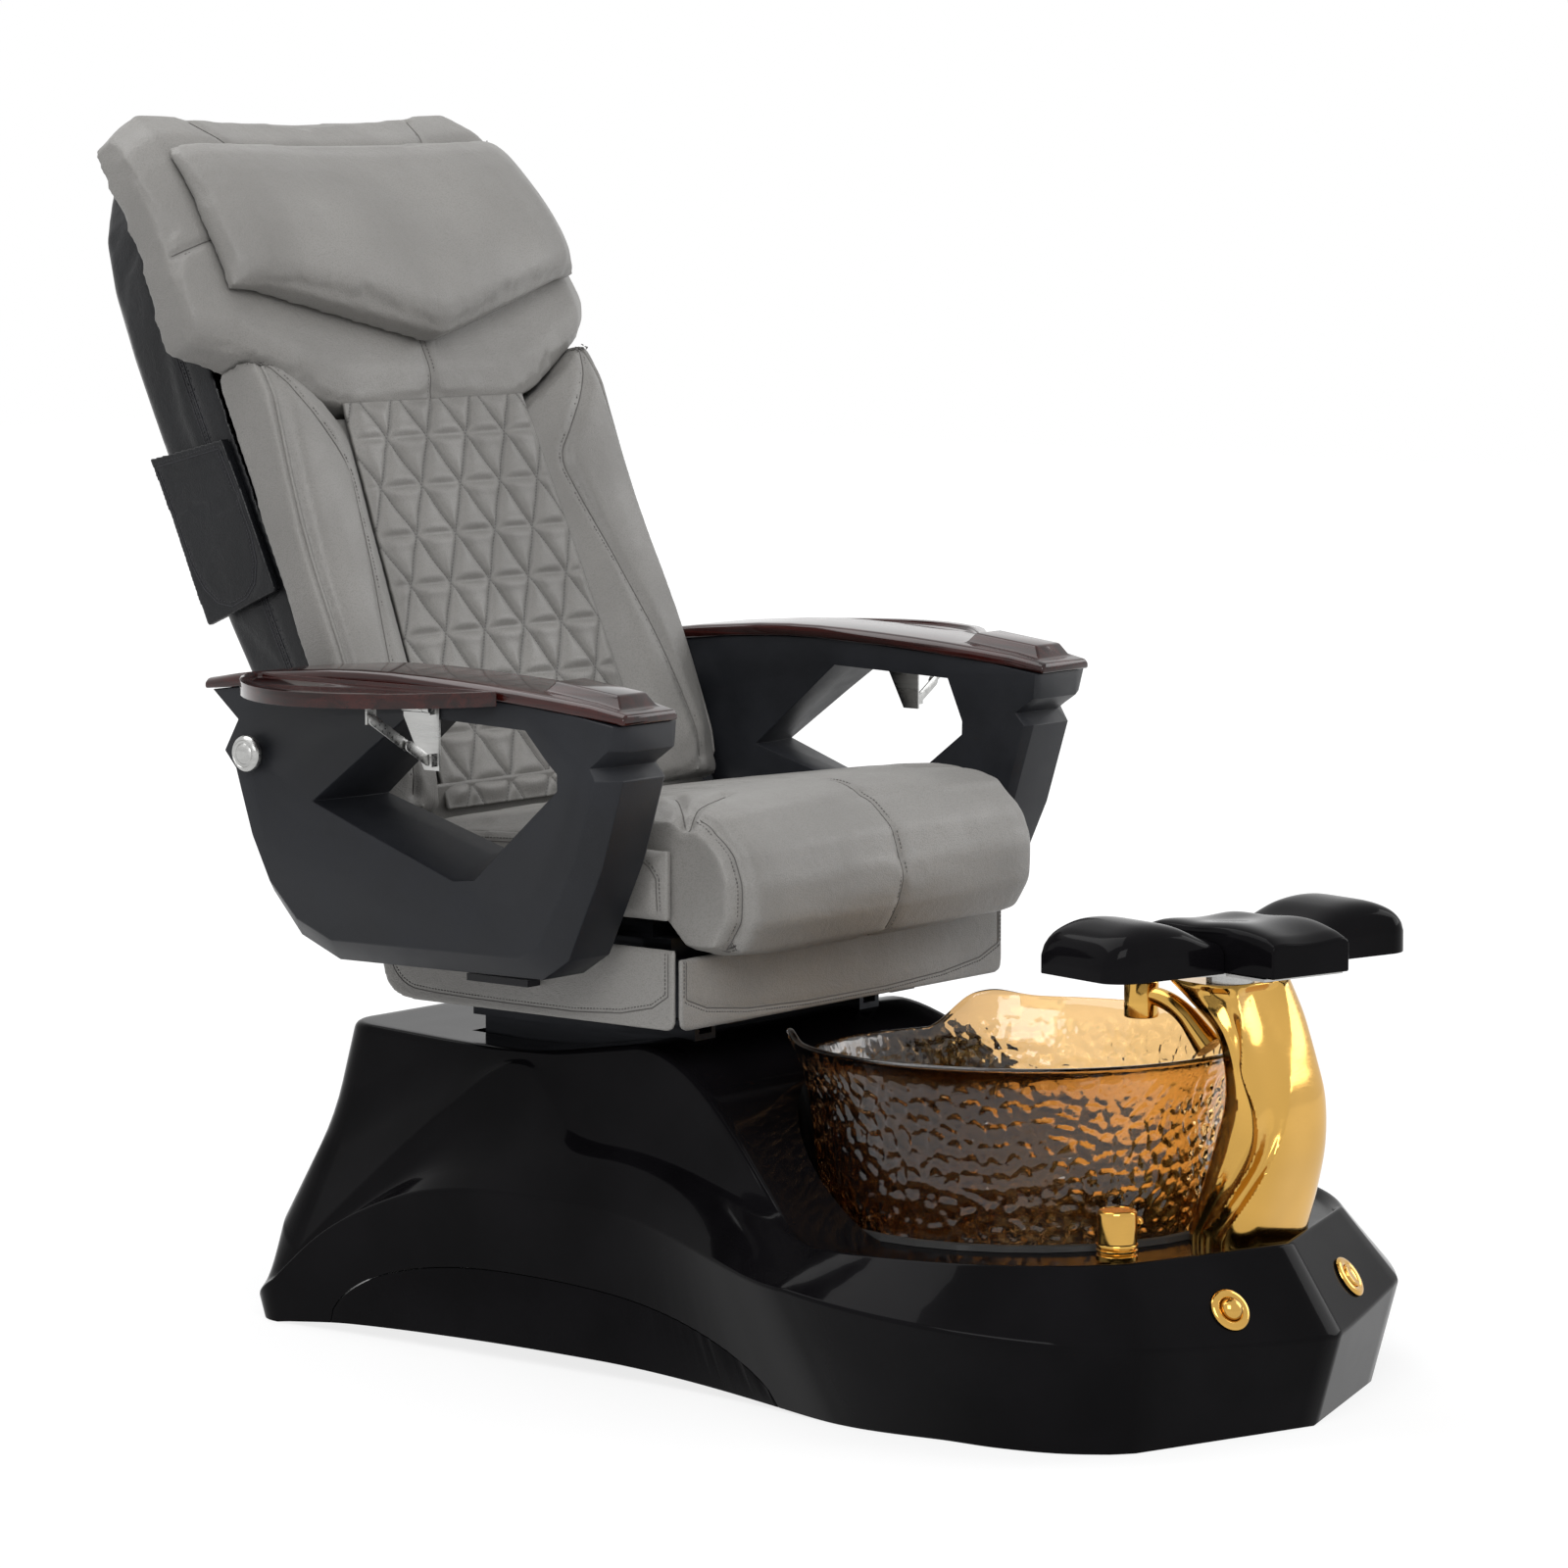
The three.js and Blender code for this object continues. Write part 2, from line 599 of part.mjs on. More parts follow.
function buildBase() {
  const outer = baseBody(0);
  const inner = baseBody(SHELL_WALL);
  const pocketRoof = bowlPocket();
  const bowlHole = rod(bowlR(DECK_FLOOR_Z) + GAP + 3, 60, 'z', 0, LOBE_Y, DECK_FLOOR_Z, 28);
  const solidShell = fromSolid(toSolid(outer).subtract(toSolid(pocketRoof)));
  const pocketWall = bowlPocket().translate(0, -LOBE_Y, 0)
    .scale(1 + SHELL_WALL / 250, 1 + SHELL_WALL / 250, 1).translate(0, LOBE_Y, -SHELL_WALL);
  const hollow = toSolid(inner).subtract(toSolid(pocketWall));
  let shell = toSolid(solidShell).subtract(hollow).subtract(toSolid(bowlHole));
  for (const sign of [-1, 1]) {
    const place = buttonPlace(sign);
    const barrelBore = bore(BUTTON_BARREL_R, 60, 'z', 0, 0, 0).applyMatrix4(place);
    const seat = rod(BEZEL_R + GAP, 20, 'z', 0, 0, 10 + BEZEL_SEAT, 20).applyMatrix4(place);
    shell = shell.subtract(toSolid(barrelBore)).subtract(toSolid(seat));
  }
  const faucetBore = bore(FAUCET_STEM_R, 60, 'z', FAUCET_X, FAUCET_Y, DECK_FLOOR_Z);
  shell = shell.subtract(toSolid(faucetBore));
  const railSlot = (side) => box(RAIL_W + 6, RAIL_LENGTH, 80, side * RAIL_X, RAIL_Y, BASE_TOP_Z);
  shell = shell.subtract(toSolid(railSlot(-1))).subtract(toSolid(railSlot(1)));
  for (const tool of [rod(20, 120, 'y', -70, INLET_Y, 120), rod(20, 120, 'y', 70, INLET_Y, 120),
    box(62, 120, 46, 0, INLET_Y, 200)]) shell = shell.subtract(toSolid(tool));
  const wallBand = sidePlate(panelArch(0), -RIDGE_HALF - 20, 60);
  const panelBand = sidePlate(panelArch(-PANEL_GAP), -RIDGE_HALF - 20, 60);
  const panel = common(fromSolid(shell), panelBand);
  shell = shell.subtract(toSolid(wallBand)).subtract(toSolid(mirrored(wallBand)));
  add('base_shell', fromSolid(shell), GLOSS_BLACK);
  addPair('side_panel', panel, GLOSS_BLACK);
}

// steel under-frame that carries the rails, the bowl and the motors
function buildBaseFrame() {
  const tube = 30;
  const [front, rear, half] = [-90, 400, 190];
  const [floorZ, postTop] = [40, 300];
  const postRows = [front + 20, rear - 90];
  const pieces = [];
  for (const side of [-1, 1]) {
    pieces.push(box(tube, rear - front, tube, side * half, (front + rear) / 2, floorZ));
    for (const y of postRows) {
      pieces.push(box(tube, tube, postTop - floorZ, side * half, y, (postTop + floorZ) / 2));
      pieces.push(rod(18, 26, 'z', side * half, y, 13, 8));
      pieces.push(box(half - RAIL_X, tube - 4, tube - 4, side * (half + RAIL_X) / 2, y, postTop - 20));
    }
    // beam under the slide rail
    pieces.push(box(tube - 2, postRows[1] - postRows[0] + tube - 4, tube, side * RAIL_X,
      (postRows[0] + postRows[1]) / 2, postTop - 18));
    pieces.push(box(24, 225, 16, side * 120, LOBE_Y + 215, 70));
  }
  for (const y of [front + 15, rear - 15]) pieces.push(box(2 * half, tube, tube, 0, y, floorZ));
  pieces.push(box(2 * half, 24, 34, 0, front + 15, 60));
  const ring = turned([[150, 62], [BOWL_FLOOR_R - 14, 62], [BOWL_FLOOR_R - 14, BOWL_FLOOR_Z - GAP],
    [150, BOWL_FLOOR_Z - GAP]], 20).translate(0, LOBE_Y, 0);
  pieces.push(ring);
  for (const [x, y] of [[-158, -60], [158, -60], [-120, 110], [120, 110]]) {
    pieces.push(rod(14, 64, 'z', x, LOBE_Y + y, 32, 8));
  }
  for (const side of [-1, 1]) {
    const x = side * RAIL_X;
    const bar = box(RAIL_W, RAIL_LENGTH, RAIL_H, x, RAIL_Y, RAIL_TOP_Z - RAIL_H / 2);
    const slot = box(RAIL_W - 2 * RAIL_WALL, RAIL_LENGTH + 10, RAIL_H, x, RAIL_Y,
      RAIL_TOP_Z - RAIL_H / 2 + RAIL_WALL);
    const low = postTop - 10;
    const high = RAIL_TOP_Z - RAIL_H + 1;
    const foot = box(RAIL_W - 8, RAIL_LENGTH - 30, high - low, x, RAIL_Y, (high + low) / 2);
    pieces.push(cut(bar, slot), foot);
  }
  pieces.push(box(2 * RAIL_X, 30, 8, 0, RAIL_REAR_TIE_Y, RAIL_TOP_Z - RAIL_H + 3));
  add('base_frame', join(...pieces, ...slideMotor()), DARK_STEEL);
}
function buildBowl() {
  const sides = 36;
  const rimAt = (angle) => {
    const behind = Math.abs(THREE.MathUtils.euclideanModulo(angle - Math.PI / 2 + Math.PI, 2 * Math.PI)
      - Math.PI);
    const degrees = THREE.MathUtils.radToDeg(behind);
    const dip = 1 - ease((degrees - 26) / 16);
    const horn = Math.exp(-(((degrees - 46) / 7) ** 2));
    return BOWL_RIM_Z - BOWL_DIP * dip + 8 * horn;
  };
  const wallRing = (share, inside) => {
    const ring = [];
    for (let i = 0; i < sides; i += 1) {
      const angle = (2 * Math.PI * i) / sides;
      const low = inside ? BOWL_FLOOR_Z + BOWL_WALL : BOWL_FLOOR_Z;
      const z = mix(low, rimAt(angle), share);
      const r = bowlR(Math.min(z, BOWL_RIM_Z)) - (inside ? BOWL_WALL : 0);
      ring.push([r * Math.cos(angle), r * Math.sin(angle), z]);
    }
    return ring;
  };
  const shares = [0, 0.12, 0.26, 0.45, 0.74, 0.9, 1];
  const rings = shares.map((s) => wallRing(s, false));
  rings.push(...[1, 0.74, 0.4, 0.12, 0].map((s) => wallRing(s, true)));
  const body = stack(rings, [0, 1]);
  const bores = [bore(DRAIN_R, 60, 'z', DRAIN_X, 0, BOWL_FLOOR_Z, 24),
    bore(JET_R, 60, 'z', JET_X, 0, BOWL_FLOOR_Z, 24)];
  add('glass_bowl', cut(body, ...bores), GLASS).position.y = LOBE_Y;

  const sealIn = bowlR(DECK_FLOOR_Z + 4) + GAP;
  add('bowl_seal', turned([[sealIn, DECK_FLOOR_Z + GAP], [sealIn + SEAL_W, DECK_FLOOR_Z + GAP],
    [sealIn + SEAL_W - 3, DECK_FLOOR_Z + 6], [sealIn + 1, DECK_FLOOR_Z + 7]], 30), RUBBER)
    .position.y = LOBE_Y;

  const inside = BOWL_FLOOR_Z + BOWL_WALL;
  const strainer = turned([[0, inside + 4], [20, inside + 4], [31, inside + 1.5], [31, inside + GAP],
    [DRAIN_R, inside + GAP], [DRAIN_R, BOWL_FLOOR_Z - 24],
    [0, BOWL_FLOOR_Z - 24]].reverse(), 18);
  const slots = [0, 60, 120].map((a) => box(30, 3.2, 8, 0, 0, inside + 3).rotateZ(radians(a)));
  add('drain_strainer', cut(strainer, ...slots), STEEL).position.set(DRAIN_X, LOBE_Y, 0);

  const housing = turned([[JET_R, BOWL_FLOOR_Z - 30], [JET_R, inside + GAP],
    [JET_R + 7, inside + GAP], [JET_R + 6, inside + 4], [JET_R - 5, inside + 4],
    [JET_R - 5, BOWL_FLOOR_Z - 26], [0, BOWL_FLOOR_Z - 26], [0, BOWL_FLOOR_Z - 30]], 24);
  const motor = rod(30, 34, 'z', 0, 0, BOWL_FLOOR_Z - 46, 20);
  add('jet_motor', join(housing, motor), PLASTIC).position.set(JET_X, LOBE_Y, 0);
  const blades = [0, 60, 120].map((a) => box(58, 3, 12, 0, 0, BOWL_FLOOR_Z - 12).rotateZ(radians(a)));
  add('jet_impeller', join(rod(9, 16, 'z', 0, 0, BOWL_FLOOR_Z - 13), ...blades), PLASTIC)
    .position.set(JET_X, LOBE_Y, 0);
  const cover = plate([...Array(18).keys()].map((i) => {
    const a = (2 * Math.PI * i) / 18;
    return [(JET_R - 6) * Math.cos(a), (JET_R - 6) * Math.sin(a)];
  }), 4, [...Array(6).keys()].map((i) => {
    const a = (2 * Math.PI * i) / 6;
    return hole(22 * Math.cos(a), 22 * Math.sin(a), 5);
  }));
  add('jet_cover', cover.translate(0, 0, inside - 1), STEEL).position.set(JET_X, LOBE_Y, 0);
}

// ---------------------------------------------------------------- pillar and spout
const pillarFront = through([[DECK_Z, -729], [240, -735], [290, -738], [340, -731], [380, -720],
  [430, -703], [PILLAR_TOP_Z, -690]]);
const pillarInner = through([[DECK_Z, -611], [260, -634], [300, -647], [340, -658], [380, -657],
  [420, -643], [448, -606], [PILLAR_TOP_Z, -572]]);
const pillarHalf = through([[DECK_Z, 86], [240, 86], [290, 82], [345, 80], [400, 77], [440, 78],
  [PILLAR_TOP_Z, 74]]);

function buildPillar() {
  const sides = 18;
  const heights = [DECK_FLOOR_Z + 2.5, 225, 260, 295, 330, 365, 395, 420, 440, 455, PILLAR_TOP_Z];
  const rings = heights.map((z) => {
    const [front, inner, half] = [pillarFront(z), pillarInner(z), pillarHalf(z)];
    const twist = radians(18) * Math.sin(Math.PI * THREE.MathUtils.smoothstep(z, DECK_Z, PILLAR_TOP_Z));
    const ring = [];
    for (let i = 0; i < sides; i += 1) {
      const a = (2 * Math.PI * i) / sides;
      const soft = 0.65;
      const cx = Math.sign(Math.cos(a)) * Math.abs(Math.cos(a)) ** soft;
      const cy = Math.sign(Math.sin(a)) * Math.abs(Math.sin(a)) ** soft;
      const narrow = mix(1, 0.62, (cy + 1) / 2);
      const x = half * cx * narrow;
      const y = (cy * (inner - front)) / 2;
      ring.push([PILLAR_X + x * Math.cos(twist) - y * Math.sin(twist) * 0.5,
        (front + inner) / 2 + y, z]);
    }
    return ring;
  });
  const lip = baseBody(0).translate(0, GAP, GAP);
  const edgeRoom = box(240, 62, 16, PILLAR_X, -730, DECK_Z - 6);
  const sealRoom = rod(bowlR(DECK_FLOOR_Z + 4) + SEAL_W + 3 * GAP, 16, 'z', 0, LOBE_Y, DECK_FLOOR_Z, 32);
  add('pillar', cut(stack(rings, [0, 1]), lip, edgeRoom, sealRoom), GOLD);

  const barrel = turned([[0, SPOUT_Z + 3], [SPOUT_R - 5, SPOUT_Z + 3], [SPOUT_R - 4, SPOUT_Z],
    [SPOUT_R - 1.5, SPOUT_Z], [SPOUT_R, SPOUT_Z + 2], [SPOUT_R, SPOUT_Z + SPOUT_H - 4],
    [SPOUT_R - 5, SPOUT_Z + SPOUT_H], [0, SPOUT_Z + SPOUT_H]], 16).translate(0, SPOUT_Y, 0);
  const reach = [[SPOUT_Y - 10, SPOUT_Z + 24, 11], [-572, 444, 10], [-592, 436, 10], [-608, 425, 11],
    [-622, 410, 12]];
  const arm = stack(reach.map(([y, z, r], k) => {
    const lean = radians(mix(5, 50, k / (reach.length - 1)));
    const ring = [];
    for (let i = 0; i < 12; i += 1) {
      const a = (2 * Math.PI * i) / 12;
      ring.push([r * Math.cos(a), y + r * Math.sin(a) * -Math.sin(lean),
        z + r * Math.sin(a) * Math.cos(lean)]);
    }
    return ring;
  }), [0, 2]);
  const clearBody = stack(rings.map((ring, k) => ring.map(([x, y, z]) => [
    PILLAR_X + (x - PILLAR_X) * 1.012, y + GAP, z + (k === rings.length - 1 ? 1 : 0)])), [0, 1]);
  add('spout', cut(join(barrel, arm), clearBody), GOLD);
}

// ---------------------------------------------------------------- footrest
// the top of a footrest shell along the rest: horn, dip for the ankle, inner crest
const saddle = through([[0, 44], [45, 27], [78, 34], [118, 50], [160, 54], [190, 46], [205, 34],
  [REST_HALF, 16]]);
const middleTop = through([[-135, 30], [-110, 42], [-60, 50], [0, 46], [50, 44], [80, 34]]);

function footrestPad() {
  const columns = 10;
  const rows = 8;
  const inner = REST_MIDDLE_HALF + REST_SEAM;
  const [front, rear] = [-62, 75];
  const corner = 34;
  const edge = (s) => {
    const x = mix(REST_HALF, inner, (s + 1) / 2);
    const over = Math.max(0, x - (REST_HALF - corner)) / corner;
    return [x, corner * (1 - Math.sqrt(Math.max(0, 1 - over ** 2)))];
  };
  const place = (s, t) => {
    const [x, cut_] = edge(Math.max(s, -0.985));
    return [x, mix(front + cut_, rear - cut_ * 0.6, t)];
  };
  const crown = (t) => Math.sqrt(Math.max(0, 1 - Math.abs(2 * t - 1) ** 5));
  const top = (s, t) => {
    const [x, y] = place(s, t);
    return [-x, y, REST_Z + 14 + (saddle(x) - 10) * mix(0.35, 1, crown(t))];
  };
  const bottom = (s, t) => {
    const [x, y] = place(s, t);
    return [-x, y, REST_Z];
  };
  return slab(columns, rows, top, bottom);
}

function footrestMiddle() {
  const half = REST_MIDDLE_HALF;
  const [front, rear] = [-128, 75];
  const place = (s, t) => {
    const y = mix(front, rear, t);
    const nose = 1 - 0.12 * THREE.MathUtils.smoothstep(-y, 60, 128);
    return [s * half * nose, y];
  };
  const top = (s, t) => {
    const [x, y] = place(s, t);
    const round = Math.sqrt(Math.max(0, 1 - Math.abs(s) ** 4));
    return [x, y, REST_Z + 10 + (middleTop(y) - 10 + 8 * Math.abs(s) ** 2) * mix(0.62, 1, round)];
  };
  const bottom = (s, t) => {
    const [x, y] = place(s, t);
    return [x, y, REST_Z];
  };
  return slab(9, 9, top, bottom);
}

function buildFootrest() {
  const plateTop = REST_Z - GAP;
  const plateT = 3;
  const hubBottom = PILLAR_TOP_Z + GAP;
  const outline = [[-150, -20], [-58, -58], [-56, -116], [56, -116], [58, -58], [150, -20],
    [150, 60], [-150, 60]];
  const hub = rod(HUB_R + 9, plateTop - hubBottom, 'z', 0, 0, (plateTop + hubBottom) / 2, 24);
  add('footrest_plate', join(plate(outline, plateT).translate(0, 0, plateTop - plateT), hub), STEEL,
    footrest);
  addPair('footrest_pad', footrestPad(), GLOSS_BLACK, footrest);
  add('footrest_middle', footrestMiddle(), GLOSS_BLACK, footrest);
}

// ---------------------------------------------------------------- faucet and buttons
function buildControls() {
  const deck = DECK_FLOOR_Z + GAP + 3.2;
  const ribs = [[0, 0], [FAUCET_R, 0], [FAUCET_R, 5], [FAUCET_R - 2, 6.5], [FAUCET_R, 8], [FAUCET_R, 11],
    [FAUCET_R - 2, 12.5], [FAUCET_R, 14], [FAUCET_R, FAUCET_BASE_H], [0, FAUCET_BASE_H]];
  const stem = rod(FAUCET_STEM_R, 40, 'z', 0, 0, -18);
  add('faucet_base', join(turned(ribs, 14), stem), GOLD).position.set(FAUCET_X, FAUCET_Y, deck);
  const cap = turned([[0, 0], [FAUCET_R - 1, 0], [FAUCET_R - 1, FAUCET_CAP_H - 4],
    [FAUCET_R - 3, FAUCET_CAP_H], [0, FAUCET_CAP_H]], 18);
  const lever = join(rod(5, 24, 'x', 26, 0, FAUCET_CAP_H * 0.45, 12),
    rod(6.5, 5, 'x', 38, 0, FAUCET_CAP_H * 0.45, 12));
  add('faucet_handle', join(cap, lever), GOLD)
    .position.set(FAUCET_X, FAUCET_Y, deck + FAUCET_BASE_H + GAP);

  for (const [side, sign] of [['right', -1], ['left', 1]]) {
    const barrel = BUTTON_BARREL_R;
    const rest = BEZEL_SEAT + GAP;
    const bezel = turned([[BUTTON_R + GAP, -22], [barrel, -22], [barrel, rest], [BEZEL_R - 1, rest],
      [BEZEL_R, rest + 1.4], [BEZEL_R - 3, rest + 3.8], [BUTTON_R + 4, rest + 4.4],
      [BUTTON_R + GAP, rest + 2.4]], 14);
    const dome = sign < 0
      ? [[BUTTON_R, 4], [11.6, 8.2], [8, 11.6], [4, 13.2], [0, 13.8]]
      : [[BUTTON_R, 5], [11.5, 6.5], [9.5, 6.5], [8.5, 5.2], [0, 5.2]];
    const button = turned([[0, -14], [BUTTON_R, -14], ...dome], 14);
    const place = buttonPlace(sign);
    for (const [name, geometry] of [['bezel', bezel], ['button', button]]) {
      add(`${name}_${side}`, geometry, GOLD).applyMatrix4(place);
    }
  }
}

// ---------------------------------------------------------------- seat
// outline of the seat's cushion seen from the side, from under the roll round the front
const seatProfile = [[-128, 508], [-140, 482], [-168, ROLL_BOTTOM_Z], [-202, 485], [-218, 515],
  [SEAT_FRONT_Y, 550], [-214, 592], [-192, 624], [-150, 643], [-100, SEAT_TOP_Z], [-20, 642],
  [110, 624], [225, 607], [266, 597], [SEAT_REAR_Y, 572], [SEAT_REAR_Y - 2, 532],
  [262, SEAT_BOTTOM_Z], [90, SEAT_BOTTOM_Z], [-90, SEAT_BOTTOM_Z]];

function buildSeatCushion() {
  const curve = new THREE.CatmullRomCurve3(
    seatProfile.map(([y, z]) => new THREE.Vector3(0, y, z)), true, 'centripetal');
  const outline = curve.getSpacedPoints(27).slice(0, -1);
  const [centreY, centreZ] = [20, 568];
  const stations = [-1, -0.985, -0.95, -0.88, -0.78, -0.5, -0.25, -0.03, -0.012, 0.012, 0.03, 0.25,
    0.5, 0.78, 0.88, 0.95, 0.985, 1];
  const rings = stations.map((s) => {
    const edge = THREE.MathUtils.smoothstep(Math.abs(s), 0.8, 1) ** 2;
    const seam = Math.abs(s) < 0.02 ? 3 : 0;
    const crown = 5 * Math.cos((Math.PI * s) / 2);
    return outline.map((p) => {
      const [dy, dz] = [p.y - centreY, p.z - centreZ];
      const reach = Math.hypot(dy, dz);
      const shrink = edge * 26 + seam * (p.z > 560 || p.y < -120 ? 1 : 0);
      const scale = (reach - Math.min(shrink, reach * 0.6)) / reach;
      const top = p.z > 600 ? crown - 5 : 0;
      return [s * SEAT_HALF, centreY + dy * scale, Math.max(centreZ + dz * scale + top,
        p.y > -114 ? SEAT_BOTTOM_Z : 0)];
    });
  });
  add('seat_cushion', stack(rings, [1, 2]), GREY_LEATHER);
}

function buildSeatSides() {
  const top = through([[-118, 596], [0, SIDE_PANEL_TOP_Z], [150, 600], [270, 590]]);
  const inner = SEAT_HALF + 2;
  const place = (bulge) => (s, t) => {
    const y = mix(-118, 270, (s + 1) / 2);
    const z = mix(SEAT_BOTTOM_Z + 1, top(y), t);
    const puff = 4 * (1 - s ** 8) * (1 - (2 * t - 1) ** 4);
    return [-(inner + bulge * (SIDE_PANEL_T - 4 + puff)), y, z];
  };
  addPair('seat_side', slab(9, 5, place(1), place(0)), GREY_LEATHER);
}

// a quilted panel: rows of triangles, each raised in its middle, sewn down along its edges
function quilt(rowHeights, halfAt, base, thickness, puff, across) {
  const rowPoints = rowHeights.map((v, j) => {
    const half = halfAt(v);
    const xs = [];
    if (j % 2 === 0) {
      for (let i = 0; i <= across; i += 1) xs.push(mix(-half, half, i / across));
    } else {
      xs.push(-half);
      for (let i = 0; i < across; i += 1) xs.push(mix(-half, half, (i + 0.5) / across));
      xs.push(half);
    }
    return xs.map((x) => [x, v]);
  });
  const points = [];
  const faces = [];
  const starts = rowPoints.map((row) => {
    const start = points.length;
    row.forEach(([x, v]) => points.push([x, base(x, v), v]));
    return start;
  });
  const under = points.length;
  points.slice().forEach(([x, y, v]) => points.push([x, base(x, v) + thickness, v]));
  const raised = (a, b, c) => {
    const [p, q, r] = [points[a], points[b], points[c]];
    const m = points.length;
    const [x, v] = [(p[0] + q[0] + r[0]) / 3, (p[2] + q[2] + r[2]) / 3];
    points.push([x, base(x, v) - puff, v]);
    faces.push([a, b, m], [b, c, m], [c, a, m], [under + a, under + c, under + b]);
  };
  for (let j = 0; j + 1 < rowPoints.length; j += 1) {
    const [even, odd] = j % 2 === 0 ? [starts[j], starts[j + 1]] : [starts[j + 1], starts[j]];
    const up = j % 2 === 0;
    for (let i = 0; i <= across; i += 1) {
      const first = [even + i, odd + i + 1, odd + i];
      raised(...(up ? first : first.reverse()));
      if (i < across) {
        const second = [even + i, even + i + 1, odd + i + 1];
        raised(...(up ? second : second.reverse()));
      }
    }
  }
  const rim = [];
  const lastRow = rowPoints.length - 1;
  for (let i = 0; i < rowPoints[0].length; i += 1) rim.push(starts[0] + i);
  for (let j = 1; j <= lastRow; j += 1) rim.push(starts[j] + rowPoints[j].length - 1);
  for (let i = rowPoints[lastRow].length - 2; i >= 0; i -= 1) rim.push(starts[lastRow] + i);
  for (let j = lastRow - 1; j > 0; j -= 1) rim.push(starts[j]);
  rim.forEach((a, k) => {
    const b = rim[(k + 1) % rim.length];
    faces.push([a, under + a, under + b], [a, under + b, b]);
  });
  return meshOf(points, faces);
}

function buildSkirts() {
  const height = SKIRT_TOP_Z - SKIRT_BOTTOM_Z;
  const front = new THREE.Shape();
  const half = SKIRT_HALF - 4;
  front.moveTo(-half, FRONT_SKIRT_TOP_Z);
  front.lineTo(-half, SKIRT_BOTTOM_Z + 14);
  front.quadraticCurveTo(-half, SKIRT_BOTTOM_Z, -half + 14, SKIRT_BOTTOM_Z);
  front.lineTo(half - 14, SKIRT_BOTTOM_Z);
  front.quadraticCurveTo(half, SKIRT_BOTTOM_Z, half, SKIRT_BOTTOM_Z + 14);
  front.lineTo(half, FRONT_SKIRT_TOP_Z);
  const options = { depth: SKIRT_T, bevelEnabled: false, curveSegments: 5 };
  add('skirt_front', new THREE.ExtrudeGeometry(front, options).rotateX(Math.PI / 2)
    .translate(0, SKIRT_FRONT_Y, 0), GREY_LEATHER);
  const start = SKIRT_FRONT_Y + 3;
  const side = new THREE.Shape();
  side.moveTo(start, SKIRT_TOP_Z);
  side.lineTo(start, SKIRT_BOTTOM_Z + 12);
  side.quadraticCurveTo(start, SKIRT_BOTTOM_Z, start + 12, SKIRT_BOTTOM_Z);
  side.lineTo(SKIRT_REAR_Y - height * 0.55, SKIRT_BOTTOM_Z);
  side.quadraticCurveTo(SKIRT_REAR_Y, SKIRT_BOTTOM_Z, SKIRT_REAR_Y, SKIRT_BOTTOM_Z + height * 0.5);
  side.lineTo(SKIRT_REAR_Y, SKIRT_TOP_Z);
  const turn = new THREE.Matrix4().set(0, 0, 1, -SKIRT_HALF, 1, 0, 0, 0, 0, 1, 0, 0, 0, 0, 0, 1);
  addPair('skirt', new THREE.ExtrudeGeometry(side, options).applyMatrix4(turn), GREY_LEATHER);
}

const PAN_BOTTOM_Z = PAN_TOP_Z - PAN_T;
const PAN_HALF = 276;
const LUG_X = 246;
const PIN_R = 9;
const MOUNT_X = ARM_INNER - MOUNT_CLEAR;

// nut block of the slide spindle, under the pan
function slideDrive() {
  const drop = PAN_BOTTOM_Z - SPINDLE_Z + 16;
  return [cut(box(44, 30, drop, 0, SLIDE_NUT_Y, PAN_BOTTOM_Z - drop / 2 + 1),
    rod(SPINDLE_R + 1, 60, 'y', 0, SLIDE_NUT_Y, SPINDLE_Z))];
}

// the recline actuator's motor and outer tube, hung under the pan
function reclineDrive() {
  const tube = rod(20, 150, 'y', ACTUATOR_X, 120, ACTUATOR_Z);
  const motor = box(60, 54, 48, ACTUATOR_X, 40, ACTUATOR_Z + 4);
  const hanger = box(20, 120, 20, ACTUATOR_X, 110, PAN_BOTTOM_Z - 8);
  return [cut(join(tube, motor, hanger), bore(ACTUATOR_ROD_R, 120, 'y', ACTUATOR_X, 145, ACTUATOR_Z))];
}

// motor and spindle that drive the seat along its rails
function slideMotor() {
  const rise = SPINDLE_Z - RAIL_TOP_Z + RAIL_H;
  return [box(64, 80, 44, 0, RAIL_REAR_TIE_Y + 18, SPINDLE_Z),
    rod(SPINDLE_R, 280, 'y', 0, RAIL_REAR_TIE_Y - 155, SPINDLE_Z),
    box(40, 26, rise, 0, RAIL_REAR_TIE_Y, SPINDLE_Z - rise / 2)];
}

function buildReclineRod() {
  add('recline_rod', join(rod(ACTUATOR_ROD_R, 170, 'y', ACTUATOR_X, 228, ACTUATOR_Z),
    box(22, 22, 20, ACTUATOR_X, 312, ACTUATOR_Z)), STEEL);
}

